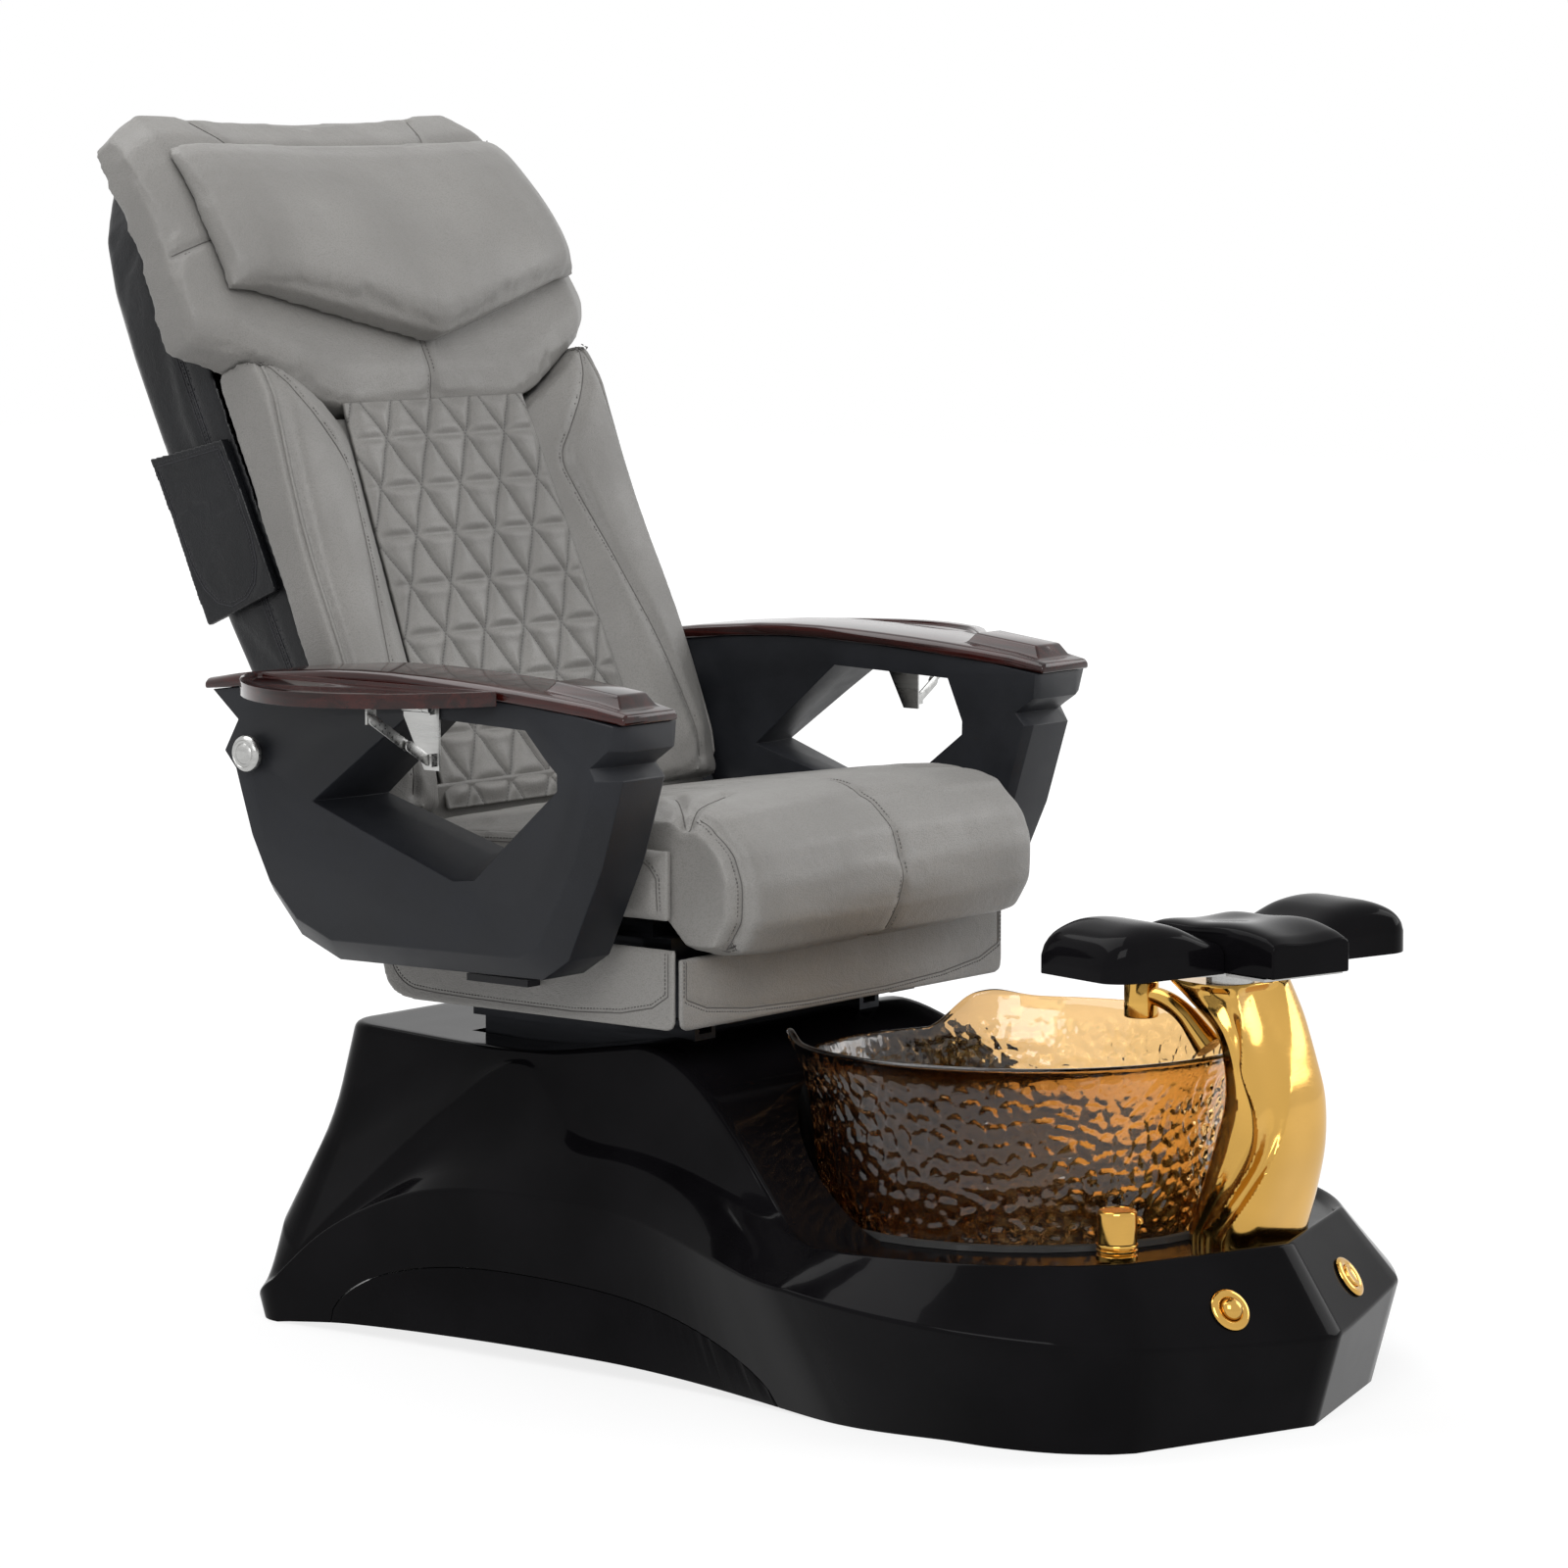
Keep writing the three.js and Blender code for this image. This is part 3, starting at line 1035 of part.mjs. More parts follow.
function buildSeatFrame() {
  const pieces = [
    box(2 * PAN_HALF, 374, PAN_T, 0, 103, PAN_TOP_Z - PAN_T / 2),
    box(2 * PAN_HALF, 40, 24, 0, -90, PAN_BOTTOM_Z - 10),
  ];
  for (const side of [-1, 1]) {
    const beamBottom = RAIL_TOP_Z + 3;
    pieces.push(box(44, 360, PAN_BOTTOM_Z - beamBottom + 2, side * RAIL_X, 76,
      (PAN_BOTTOM_Z + beamBottom) / 2 + 1));
    const runner = RAIL_H - 7 - 2 + 5;
    for (const y of [10, 180]) {
      pieces.push(box(RAIL_W - 14 - 2, 60, runner, side * RAIL_X, y, beamBottom - runner / 2 + 1));
    }
    const lug = sidePlate([[240, PAN_BOTTOM_Z + 2], [240, PAN_TOP_Z], [HINGE_Y - 14, HINGE_Z - 30],
      [HINGE_Y - 14, HINGE_Z + 14], [HINGE_Y + 16, HINGE_Z + 14], [HINGE_Y + 16, HINGE_Z - 20],
      [HINGE_Y, PAN_BOTTOM_Z + 2]], side * LUG_X - 4, 8);
    pieces.push(lug, rod(PIN_R, 26, 'x', side * (LUG_X - 13), HINGE_Y, HINGE_Z));
  }
  // a bent plate on each side that carries the arm's pivot
  const upright = sidePlate([[300, PAN_TOP_Z - 2], [372, PAN_TOP_Z - 2], [KNOB_Y + 26, KNOB_Z - 40],
    [KNOB_Y + 24, KNOB_Z + 20], [KNOB_Y + 8, KNOB_Z + 28], [KNOB_Y - 20, KNOB_Z + 20],
    [KNOB_Y - 26, KNOB_Z - 20], [290, PAN_TOP_Z + 30]], -MOUNT_X, MOUNT_T);
  const tab = box(MOUNT_X - 240, 60, 6, -(MOUNT_X + 240) / 2, 330, PAN_TOP_Z - 5);
  const arm = box(20, 110, 6, -266, 312, PAN_TOP_Z - 5);
  const pin = rod(PIN_R, MOUNT_CLEAR + 46, 'x', -(MOUNT_X + (MOUNT_CLEAR + 46) / 2 - 2), KNOB_Y, KNOB_Z);
  pieces.push(...[upright, tab, arm, pin].flatMap((piece) => [piece, mirrored(piece)]));
  pieces.push(...slideDrive(), ...reclineDrive());
  const cushionRoom = box(2 * SEAT_HALF + 2, SEAT_REAR_Y + 140, 200, 0,
    (SEAT_REAR_Y - 138) / 2, PAN_TOP_Z + 100);
  const crankRoom = box(LUG_T + 14, 100, 2 * PAN_T, ACTUATOR_X + 20 + LUG_T / 2, HINGE_Y - 30, PAN_TOP_Z);
  add('seat_frame', cut(join(...pieces), cushionRoom, crankRoom), DARK_STEEL);

  const handle = sidePlate([[60, SKIRT_BOTTOM_Z + 34], [150, SKIRT_BOTTOM_Z + 34],
    [150, SKIRT_BOTTOM_Z + 42], [60, SKIRT_BOTTOM_Z + 42]], -(SKIRT_HALF + 22), 21);
  add('seat_handle', handle, PLASTIC);
}

// ---------------------------------------------------------------- back
const headEdge = (x) => {
  const over = Math.max(0, Math.abs(x) - HEAD_FLAT_HALF) / (HEAD_HALF - HEAD_FLAT_HALF);
  return HEAD_EDGE + (HEAD_WING - HEAD_EDGE) * over ** 1.1;
};
const padHalf = through([[PAD_BOTTOM, PAD_HALF - 2], [209, PAD_HALF], [426, 301], [HEAD_WING, 294]]);
const quiltShare = (v) => THREE.MathUtils.clamp((v - PAD_BOTTOM) / (HEAD_EDGE - PAD_BOTTOM), 0, 1);
const quiltHalf = (v) => mix(QUILT_BOTTOM_HALF, HEAD_FLAT_HALF, quiltShare(v));
const quiltFace = (v) => mix(QUILT_SUNK_LOW, QUILT_SUNK_HIGH, quiltShare(v));
const headFace = through([[HEAD_EDGE, -8], [600, -6], [700, 2], [800, 18], [HEAD_TOP, 50]]);
const headHalf = through([[HEAD_EDGE, HEAD_HALF - 16], [HEAD_WING, HEAD_HALF], [680, HEAD_HALF - 4],
  [780, HEAD_HALF - 14], [HEAD_TOP - 40, HEAD_HALF - 22], [HEAD_TOP, HEAD_HALF - 36]]);
const headTop = (x) => {
  const s = Math.abs(x) / headHalf(HEAD_TOP);
  const horn = Math.exp(-(((s - 0.82) / 0.3) ** 2));
  const shoulder = Math.max(0, s - 0.86) / 0.14;
  return HEAD_TOP - HEAD_DIP + HEAD_DIP * horn - 26 * Math.min(1, shoulder) ** 2;
};
// how far a face falls back at the sides
const cheek = (s, start, depth) => depth * THREE.MathUtils.smoothstep(Math.abs(s), start, 1) ** 1.5;

// how far forward the outer edge of the bolsters stands, up the back
const bolsterEdge = through([[PAD_BOTTOM, 16], [209, 2], [329, -1], [426, -9], [490, -17],
  [560, -26]]);

function padFront(x, v) {
  const inner = quiltHalf(v);
  const over = (Math.abs(x) - inner) / (padHalf(v) - inner);
  if (over < 0) return quiltFace(v) + QUILT_T + 0.5;
  const bolster = Math.sin(Math.PI * Math.min(1, over) ** 0.8);
  const lean = mix(6, bolsterEdge(v), ease(Math.min(1, over)));
  const wall = (quiltFace(v) - 5) * (1 - THREE.MathUtils.smoothstep(over, 0, 0.4));
  return lean + wall - 12 * bolster + 12 * THREE.MathUtils.smoothstep(over, 0.86, 1) ** 2;
}

function buildBackPad() {
  const rows = 12;
  const shares = [-1, -0.97, -0.9, -0.8, -0.68, -0.56, -0.44, -0.2, 0, 0.2, 0.44, 0.56, 0.68, 0.8, 0.9,
    0.97, 1];
  const columns = shares.length;
  const spot = (s, t) => {
    const column = Math.round(((s + 1) / 2) * (columns - 1));
    const share = shares[column];
    const guess = mix(PAD_BOTTOM, HEAD_EDGE, t);
    let x = share * padHalf(guess);
    if (Math.abs(share) === 0.56) x = Math.sign(share) * (quiltHalf(guess) + 1.5);
    if (Math.abs(share) === 0.44) x = Math.sign(share) * (quiltHalf(guess) - 1);
    const v = mix(PAD_BOTTOM, headEdge(x) - 1, t);
    return [x, v];
  };
  const front = (s, t) => {
    const [x, v] = spot(s, t);
    const inset = Math.abs(x) <= quiltHalf(v);
    const ends = inset ? 0 : 12 * (THREE.MathUtils.smoothstep(t, 0.9, 1) + 1
      - THREE.MathUtils.smoothstep(t, 0, 0.08));
    return [x, padFront(x, v) + ends, v];
  };
  const rear = (s, t) => {
    const [x, v] = spot(s, t);
    return [x * 0.985, PAD_T, v];
  };
  add('back_pad', slab(columns, rows, front, rear), GREY_LEATHER, back);
  const rowsUp = [];
  const count = Math.round((HEAD_EDGE - 2 - PAD_BOTTOM) / TUCK_PITCH);
  for (let j = 0; j <= count; j += 1) rowsUp.push(mix(PAD_BOTTOM + 2, HEAD_EDGE - 2, j / count));
  const panel = quilt(rowsUp, (v) => quiltHalf(v) - 3, (x, v) => quiltFace(v), QUILT_T, 5,
    Math.round((2 * HEAD_FLAT_HALF) / DIAMOND_W));
  add('back_quilt', panel, GREY_LEATHER, back);
}

function buildHead() {
  const columns = 15;
  const rows = 10;
  const spot = (s, t) => {
    const low = headEdge(s * headHalf(HEAD_EDGE + 60));
    const guess = mix(low, HEAD_TOP, t);
    const x = s * headHalf(guess);
    return [x, mix(headEdge(x) + 1, headTop(x), t)];
  };
  const front = (s, t) => {
    const [x, v] = spot(s, t);
    const edge = 14 * (1 - THREE.MathUtils.smoothstep(t, 0, 0.1))
      + 20 * THREE.MathUtils.smoothstep(t, 0.9, 1);
    const seam = Math.abs(s) < 0.01 ? 3 : 0;
    return [x, headFace(v) + cheek(s, 0.84, 26) + edge + seam, v];
  };
  const rear = (s, t) => {
    const [x, v] = spot(s, t);
    const hug = THREE.MathUtils.smoothstep(Math.abs(s), 0.9, 1) * 18;
    return [x * 0.99, Math.max(headFace(v) + PAD_T - HEAD_THINNER, PAD_T) + hug, v];
  };
  add('head_section', slab(columns, rows, front, rear), GREY_LEATHER, back);

  const pillowHalf = through([[PILLOW_APEX, PILLOW_HALF], [PILLOW_CORNER, PILLOW_HALF - 1],
    [mix(PILLOW_CORNER, PILLOW_TOP, 0.55), PILLOW_HALF - 8], [PILLOW_TOP, PILLOW_HALF - 15]]);
  const wing = (x) => Math.min(1, Math.abs(x) / (PILLOW_HALF - 20));
  const low = (x) => mix(PILLOW_APEX, PILLOW_CORNER, wing(x) ** 1.05);
  const high = (x) => PILLOW_TOP - 5 * Math.cos((Math.PI * x) / 560);
  const swell = through([[0, 34], [0.08, 50], [0.3, 58], [0.6, 48], [0.9, 30], [1, 12]]);
  const pillowSpot = (s, t) => {
    const x = s * pillowHalf(mix(PILLOW_CORNER, PILLOW_TOP, t));
    return [x, mix(low(x), high(x), t)];
  };
  const pillowBack = (s, t) => {
    const [x, v] = pillowSpot(s, t);
    return [x, headFace(v) - PILLOW_SEAT, v];
  };
  const pillowFront = (s, t) => {
    const [x, v] = pillowSpot(s, t);
    const rim = 1 - Math.abs(s) ** 10 * 0.6;
    return [x, headFace(v) - PILLOW_SEAT - swell(t) * rim, v];
  };
  add('pillow', slab(15, 9, pillowFront, pillowBack), GREY_LEATHER, back);
}

// the hard back shell: a dish open to the front, and the flat pocket on its side
const shellAt = (share) => mix(BACK_SHELL_BOTTOM, BACK_SHELL_TOP, share);
const shellHalf = through([[shellAt(0), BACK_SHELL_HALF - 28], [shellAt(0.17), BACK_SHELL_HALF - 8],
  [shellAt(0.44), BACK_SHELL_HALF], [shellAt(0.73), BACK_SHELL_HALF],
  [shellAt(0.91), BACK_SHELL_HALF - 10], [shellAt(1), BACK_SHELL_HALF - 38]]);
const shellRear = through([[shellAt(0), BACK_SHELL_REAR - 50], [shellAt(0.17), BACK_SHELL_REAR - 18],
  [shellAt(0.44), BACK_SHELL_REAR - 4], [shellAt(0.67), BACK_SHELL_REAR], [shellAt(0.79), BACK_SHELL_REAR],
  [shellAt(0.91), BACK_SHELL_REAR - 10], [shellAt(1), BACK_SHELL_REAR - 50]]);

function shellBody(inset) {
  const rows = [BACK_SHELL_BOTTOM + inset, 110, 200, 320, 440, 560, 660, 740, 800, 842,
    BACK_SHELL_TOP - inset];
  const rings = rows.map((v) => {
    const frontY = Math.max(BACK_SHELL_FRONT, headFace(v) + PAD_T - HEAD_THINNER + 1) - (inset ? 1 : 0);
    const half = shellHalf(v) - inset;
    const rear = shellRear(v) - inset;
    const ring = [[-half, frontY, v]];
    const steps = 9;
    const power = SHELL_CORNER;
    for (let i = 0; i <= steps; i += 1) {
      const a = Math.PI * (i / steps);
      const cx = Math.sign(Math.cos(a)) * Math.abs(Math.cos(a)) ** power;
      const cy = Math.sin(a) ** power;
      ring.push([-half * cx, mix(frontY + 34, rear, cy), v]);
    }
    ring.push([half, frontY, v]);
    return ring;
  });
  return stack(rings, [0, 1]);
}

function buildBackShell() {
  const dish = cut(shellBody(0), shellBody(BACK_SHELL_WALL));
  const room = 8;
  const notch = (x, width, rear) => box(width, rear - 40, 70, x, (rear + 40) / 2, BACK_SHELL_BOTTOM);
  const lugRoom = [-1, 1].map((side) => notch(side * (BACK_BAR_X + 2), LUG_T + room, 126));
  const crankRoom = notch(ACTUATOR_X + 20 + LUG_T / 2, LUG_T + room, 150);
  add('back_shell', cut(dish, ...lugRoom, crankRoom, notch(0, 150, 190)), BLACK_LEATHER, back);

  const [pocketT, pocketWall, pocketLip] = [11, 2.5, 4];
  const outline = [[86, 318], [204, 322], [200, 530], [84, 506]];
  const rows = 7;
  const columns = 7;
  const spot = (s, t) => {
    const [a, b, c, d] = outline;
    const u = (s + 1) / 2;
    const y = mix(mix(a[0], b[0], u), mix(d[0], c[0], u), t);
    const v = mix(mix(a[1], b[1], u), mix(d[1], c[1], u), t);
    return [y, v];
  };
  // the side of the shell at a depth behind the pad
  const sideX = (y, v) => {
    const start = BACK_SHELL_FRONT + 34;
    const over = THREE.MathUtils.clamp((y - start) / (shellRear(v) - start), 0, 1);
    const angle = Math.asin(over ** (1 / SHELL_CORNER));
    return shellHalf(v) * Math.cos(angle) ** SHELL_CORNER;
  };
  const sheet = (depth, lip, shrink, rise) => (s, t) => {
    const [y, v] = spot(s * shrink, rise(t));
    return [-(sideX(Math.min(y, 160), v) + depth + lip * THREE.MathUtils.smoothstep(t, 0.7, 1)), y, v];
  };
  const whole = (t) => t;
  const upper = (t) => mix(0.06, 1.04, t);
  const pouch = slab(columns, rows, sheet(2.5 + pocketT, pocketLip, 1, whole), sheet(2.5, 0, 1, whole));
  const hollow = slab(5, 5, sheet(2.5 + pocketT - pocketWall, pocketLip, 0.92, upper),
    sheet(2.5 + pocketWall, 0, 0.92, upper));
  add('side_pocket', cut(pouch, hollow), BLACK_LEATHER, back);
}

function toBack(x, y, z) {
  const point = new THREE.Vector3(x, y - BACK_FACE_Y, z - BACK_FACE_Z);
  return point.applyAxisAngle(new THREE.Vector3(1, 0, 0), radians(BACK_TILT));
}

function buildBackFrame() {
  const hinge = toBack(0, HINGE_Y, HINGE_Z);
  const depth = BACK_FRAME_DEPTH;
  const barT = 22;
  const pieces = [];
  const eye = [150, 195, 240, 285, 330].map((a) => [hinge.y + EYE_R * Math.cos(radians(a)),
    hinge.z + EYE_R * Math.sin(radians(a))]);
  for (const side of [-1, 1]) {
    pieces.push(box(20, barT, TRACK_TOP - TRACK_LOW + 120, side * BACK_BAR_X, depth + barT / 2,
      (TRACK_TOP + TRACK_LOW) / 2));
    const lug = sidePlate([...eye, [depth + barT, TRACK_LOW - 10], [depth + 1, TRACK_LOW - 10],
      [PAD_T + 3, 80], [PAD_T + 3, PAD_BOTTOM - 8]], side * (BACK_BAR_X + 2) - LUG_T / 2, LUG_T,
    [pinHole(hinge.y, hinge.z, PIN_R)]);
    pieces.push(lug);
  }
  const crank = toBack(0, CRANK_Y, ACTUATOR_Z);
  const crankArm = sidePlate([[crank.y - 12, crank.z - 12], [crank.y + 16, crank.z - 12],
    [depth + barT, TRACK_LOW + 2], [depth + 2, TRACK_LOW + 2]], ACTUATOR_X + 20, LUG_T);
  pieces.push(crankArm);
  for (const v of [TRACK_LOW, TRACK_TOP]) {
    pieces.push(box(2 * BACK_BAR_X, barT, 20, 0, depth + barT / 2, v));
    pieces.push(box(2 * TRACK_X + 30, 24, 20, 0, TRACK_DEPTH, v));
    for (const side of [-1, 1]) {
      pieces.push(box(20, TRACK_DEPTH - depth, 14, side * TRACK_X, (TRACK_DEPTH + depth) / 2 + 4, v));
    }
  }
  for (const side of [-1, 1]) {
    pieces.push(rod(TRACK_R, TRACK_TOP - TRACK_LOW, 'z', side * TRACK_X, TRACK_DEPTH,
      (TRACK_TOP + TRACK_LOW) / 2, 16));
  }
  add('back_frame', join(...pieces), DARK_STEEL, back);
  const [runnerT, forkX] = [30, 16];
  const runner = box(2 * TRACK_X + 36, runnerT, 60, 0, TRACK_DEPTH, CARRIAGE_V);
  const bores = [-1, 1].map((side) => bore(TRACK_R, 80, 'z', side * TRACK_X, TRACK_DEPTH, CARRIAGE_V));
  const forkFront = ROLLER_DEPTH - AXLE_R - 5;
  const fork = [-1, 1].map((side) => box(8, TRACK_DEPTH - forkFront, 24, side * forkX,
    (TRACK_DEPTH + forkFront) / 2, CARRIAGE_V));
  const axleBore = bore(AXLE_R, 80, 'x', 0, ROLLER_DEPTH, CARRIAGE_V);
  const carriage = cut(join(cut(runner, ...bores), ...fork), axleBore);
  add('massage_carriage', carriage, DARK_STEEL, back);
  const wheelHalf = 16;
  const wheel = [[0, -wheelHalf], [ROLLER_R - 4, -wheelHalf], [ROLLER_R, -8], [ROLLER_R, 8],
    [ROLLER_R - 4, wheelHalf], [0, wheelHalf]];
  const wheels = [-1, 1].map((side) => turned(wheel, 12).rotateY(Math.PI / 2).translate(side * 48, 0, 0));
  const roller = join(rod(AXLE_R, 130, 'x', 0, 0, 0), ...wheels);
  add('massage_roller', roller.translate(0, ROLLER_DEPTH, CARRIAGE_V), RUBBER, back);
}

// ---------------------------------------------------------------- arms
const armTop = through([[-163, 747], [-80, 758], [60, 768], [200, 772], [320, 765], [432, 752]]);

function armOutline(trim) {
  const lower = [[393, 720], [424, 684], [405, 663], [401, 639], [388, 582], [362, 526], [320, 480],
    [262, 457], [-37, 461], [-74, 485], [-122, 589], [-152, 686], [-136, 700], [-163, 718]];
  const inset = [[393, 720], [414, 684], [397, 665], [390, 643], [373, 592], [347, 542], [306, 502],
    [254, 482], [-20, 486], [-50, 500], [-104, 598], [-132, 686], [-124, 700], [-150, 720]];
  const low = lower.map((p, i) => [mix(p[0], inset[i][0], trim), mix(p[1], inset[i][1], trim)]);
  const steps = 9;
  const high = [];
  for (let i = 0; i <= steps; i += 1) {
    const y = mix(-163, 432, i / steps);
    high.push([y + (i === 0 ? 6 * trim : 0), armTop(y)]);
  }
  return [...low, ...high];
}

const armOpening = [[279, 636], [72, 565], [42, 568], [-76, 672], [-76, 690], [-33, 735], [136, 741]];

function openingAt(grow) {
  const centre = [90, 655];
  return armOpening.map(([y, z]) => {
    const [dy, dz] = [y - centre[0], z - centre[1]];
    const reach = Math.hypot(dy, dz);
    const raised = dz > 60 ? 0 : grow;
    return [centre[0] + (dy * (reach + raised)) / reach, centre[1] + (dz * (reach + raised)) / reach];
  });
}

function buildArms() {
  const ring = (outline, x) => outline.map(([y, z]) => [x, y, z]);
  const body = stack([ring(armOutline(0.35), -ARM_INNER), ring(armOutline(0), -ARM_INNER - 10),
    ring(armOutline(0), -(ARM_OUTER - ARM_CHAMFER)), ring(armOutline(1), -ARM_OUTER)], [1, 2]);
  const opening = stack([ring(openingAt(-22), -ARM_INNER + 20), ring(openingAt(-22), -(ARM_OUTER - 62)),
    ring(openingAt(0), -ARM_OUTER + 6), ring(openingAt(6), -ARM_OUTER - 10)], [1, 2]);
  const pivotBore = bore(PIN_R, 2 * (MOUNT_CLEAR + 46), 'x', -ARM_INNER, KNOB_Y, KNOB_Z);
  const knobBore = bore(KNOB_STEM_R, 80, 'x', -ARM_OUTER, KNOB_Y, KNOB_Z);
  addPair('arm_panel', cut(body, opening, pivotBore, knobBore), CHARCOAL);

  const capHalf = (ARM_OUTER - ARM_INNER) / 2 + CAP_OVER;
  const middle = (ARM_OUTER + ARM_INNER) / 2;
  const steps = 13;
  const rings = [];
  for (let i = 0; i <= steps; i += 1) {
    const y = mix(-168, 440, i / steps);
    const taper = mix(0.82, 1, THREE.MathUtils.smoothstep(y, -168, -60));
    const half = capHalf * taper;
    const z = armTop(y) + GAP;
    const edge = i === 0 || i === steps ? 3 : 0;
    rings.push([[-middle - half, y, z], [-middle - half, y, z + CAP_T - 5 - edge],
      [-middle - half + 6, y, z + CAP_T - edge], [-middle + half - 6, y, z + CAP_T - edge],
      [-middle + half, y, z + CAP_T - 5 - edge], [-middle + half, y, z]]);
  }
  const block = stack([0, 1].map((t) => {
    const [w, d] = [mix(33, 24, t), mix(56, 44, t)];
    const z = (y) => mix(armTop(y) + CAP_T - 3, armTop(y) + CAP_T + 13, t);
    return [[-middle - w, -98 - d], [-middle + w, -98 - d], [-middle + w, -98 + d],
      [-middle - w, -98 + d]].map(([x, y]) => [x, y, z(y)]);
  }), [0, 1]);
  addPair('arm_cap', join(stack(rings, [0, 2]), block), MAHOGANY);

  const face = ARM_OUTER + GAP;
  const knob = turned([[0, -34], [KNOB_STEM_R, -34], [KNOB_STEM_R, 0], [13, 0], [13, 5], [KNOB_R, 7],
    [KNOB_R, 12], [17, 16], [9, 18.5], [0, 19]], 14).rotateY(-Math.PI / 2).translate(-face, KNOB_Y, KNOB_Z);
  addPair('arm_knob', knob, STEEL);
}

// ---------------------------------------------------------------- trays
const TRAY_AXIS_X = ARM_OUTER + CAP_OVER + 8;
const TRAY_HINGE_R = 4;

function trayOutline() {
  const points = [];
  const inner = ARM_OUTER + CAP_OVER + 1.5;
  const steps = 18;
  for (let i = 0; i <= steps; i += 1) {
    const t = i / steps;
    const y = mix(TRAY_FRONT_Y, TRAY_REAR_Y, t);
    const swell = Math.sin(Math.PI * t) ** 0.75;
    const lobe = 6 * Math.exp(-(((t - 0.2) / 0.05) ** 2));
    points.push([-(inner + 4 + (TRAY_REACH - 4) * swell + lobe), y]);
  }
  return [[-inner, TRAY_FRONT_Y + 4], ...points, [-inner, TRAY_REAR_Y - 4]];
}

function buildTrays() {
  const outline = trayOutline();
  const dish = outline.map(([x, y]) => {
    const [cx, cy] = [-(TRAY_AXIS_X + 62), (TRAY_FRONT_Y + TRAY_REAR_Y) / 2];
    const reach = Math.hypot(x - cx, y - cy);
    const s = (reach - 16) / reach;
    return [cx + (x - cx) * s, cy + (y - cy) * s];
  });
  const board = plate(outline, TRAY_T).translate(0, 0, TRAY_TOP_Z - TRAY_T);
  const well = plate(dish, 10).translate(0, 0, TRAY_TOP_Z - 4);
  addPair('tray', cut(board, well), MAHOGANY);

  const axisX = -TRAY_AXIS_X;
  const leafTop = TRAY_TOP_Z - TRAY_T - GAP;
  const leafY = BRACE_Y + 20;
  const [forkY, forkT] = [BRACE_Y + 5, 2];
  const leaf = join(box(58, 46, 2, axisX - 32, leafY, leafTop - 1),
    rod(TRAY_HINGE_R, 30, 'y', axisX, leafY, TRAY_AXIS_Z, 14),
    box(8, 30, leafTop - TRAY_AXIS_Z, axisX - 4, leafY, (leafTop + TRAY_AXIS_Z) / 2),
    sidePlate([[forkY, leafTop - 1], [forkY + forkT, leafTop - 1], [forkY + forkT, TRAY_AXIS_Z - 10],
      [forkY, TRAY_AXIS_Z - 10]], axisX - BRACE_REACH - 8, 16),
    box(BRACE_REACH - 40, 12, 2, axisX - (BRACE_REACH + 50) / 2, BRACE_Y + 8, leafTop - 1));
  addPair('tray_hinge', leaf, STEEL);

  const plateT = 2.5;
  const rootX = -(ARM_OUTER + GAP + plateT / 2);
  const triangle = sidePlate([[BRACE_Y - 8, TRAY_AXIS_Z + 4], [BRACE_Y + 44, TRAY_AXIS_Z + 4],
    [BRACE_Y + 44, TRAY_AXIS_Z - 10], [BRACE_Y + 14, TRAY_AXIS_Z - BRACE_DROP - 12],
    [BRACE_Y - 8, TRAY_AXIS_Z - BRACE_DROP - 12]], rootX - plateT / 2, plateT);
  const arm = (depth, height, y, z) => box(rootX - axisX, depth, height, (rootX + axisX) / 2, y, z);
  const knuckle = join(arm(8, 10, BRACE_Y, TRAY_AXIS_Z - 1),
    rod(TRAY_HINGE_R, 9, 'y', axisX, BRACE_Y, TRAY_AXIS_Z, 14));
  const post = arm(4, 14, BRACE_Y - 4, TRAY_AXIS_Z - BRACE_DROP);
  addPair('tray_bracket', join(triangle, knuckle, post), STEEL);

  // the elbow sits where both links lie flat against the arm once the tray is down
  const low = [axisX, TRAY_AXIS_Z - BRACE_DROP];
  const high = [axisX - BRACE_REACH, TRAY_AXIS_Z - 5];
  const span = Math.hypot(high[0] - low[0], high[1] - low[1]);
  const elbowAt = (span - BRACE_REACH + BRACE_DROP) / (2 * span);
  const elbow = [mix(low[0], high[0], elbowAt), mix(low[1], high[1], elbowAt)];
  const linkT = 2;
  const link = (from, to, y) => {
    const length = Math.hypot(to[0] - from[0], to[1] - from[1]);
    const bar = join(box(length, linkT, 12, length / 2, 0, 0), rod(6, linkT, 'y', 0, 0, 0, 10),
      rod(6, linkT, 'y', length, 0, 0, 10));
    return bar.rotateY(-Math.atan2(to[1] - from[1], to[0] - from[0])).translate(from[0], y, from[1]);
  };
  addPair('brace_lower', link(low, elbow, BRACE_Y - 2 + GAP + linkT / 2), STEEL);
  addPair('brace_upper', link(high, elbow, forkY - GAP - linkT / 2), STEEL);
}

// ---------------------------------------------------------------- services in the base
function buildServices() {
  add('drain_pump', join(rod(34, 90, 'y', -60, 60, 110, 18), rod(44, 24, 'y', -60, 8, 110, 18),
    rod(10, 40, 'z', -60, 8, 165), box(60, 70, 32, -60, 66, 72)), PLASTIC);
  add('control_box', join(box(120, 150, 60, 70, 240, 90), box(46, 120, 28, 70, 365, 90)), PLASTIC);
  add('power_inlet', join(box(44, 36, 28, 0, INLET_Y - 20, 200), box(58, 6, 42, 0, INLET_Y, 200)), PLASTIC);
  const tails = [-1, 1].map((side) => join(rod(13, 60, 'y', side * 70, INLET_Y - 8, 120, 10),
    rod(18, 12, 'y', side * 70, INLET_Y + 14, 120, 6)));
  add('water_inlets', join(box(170, 26, 26, 0, INLET_Y - 42, 120), ...tails), STEEL);
}

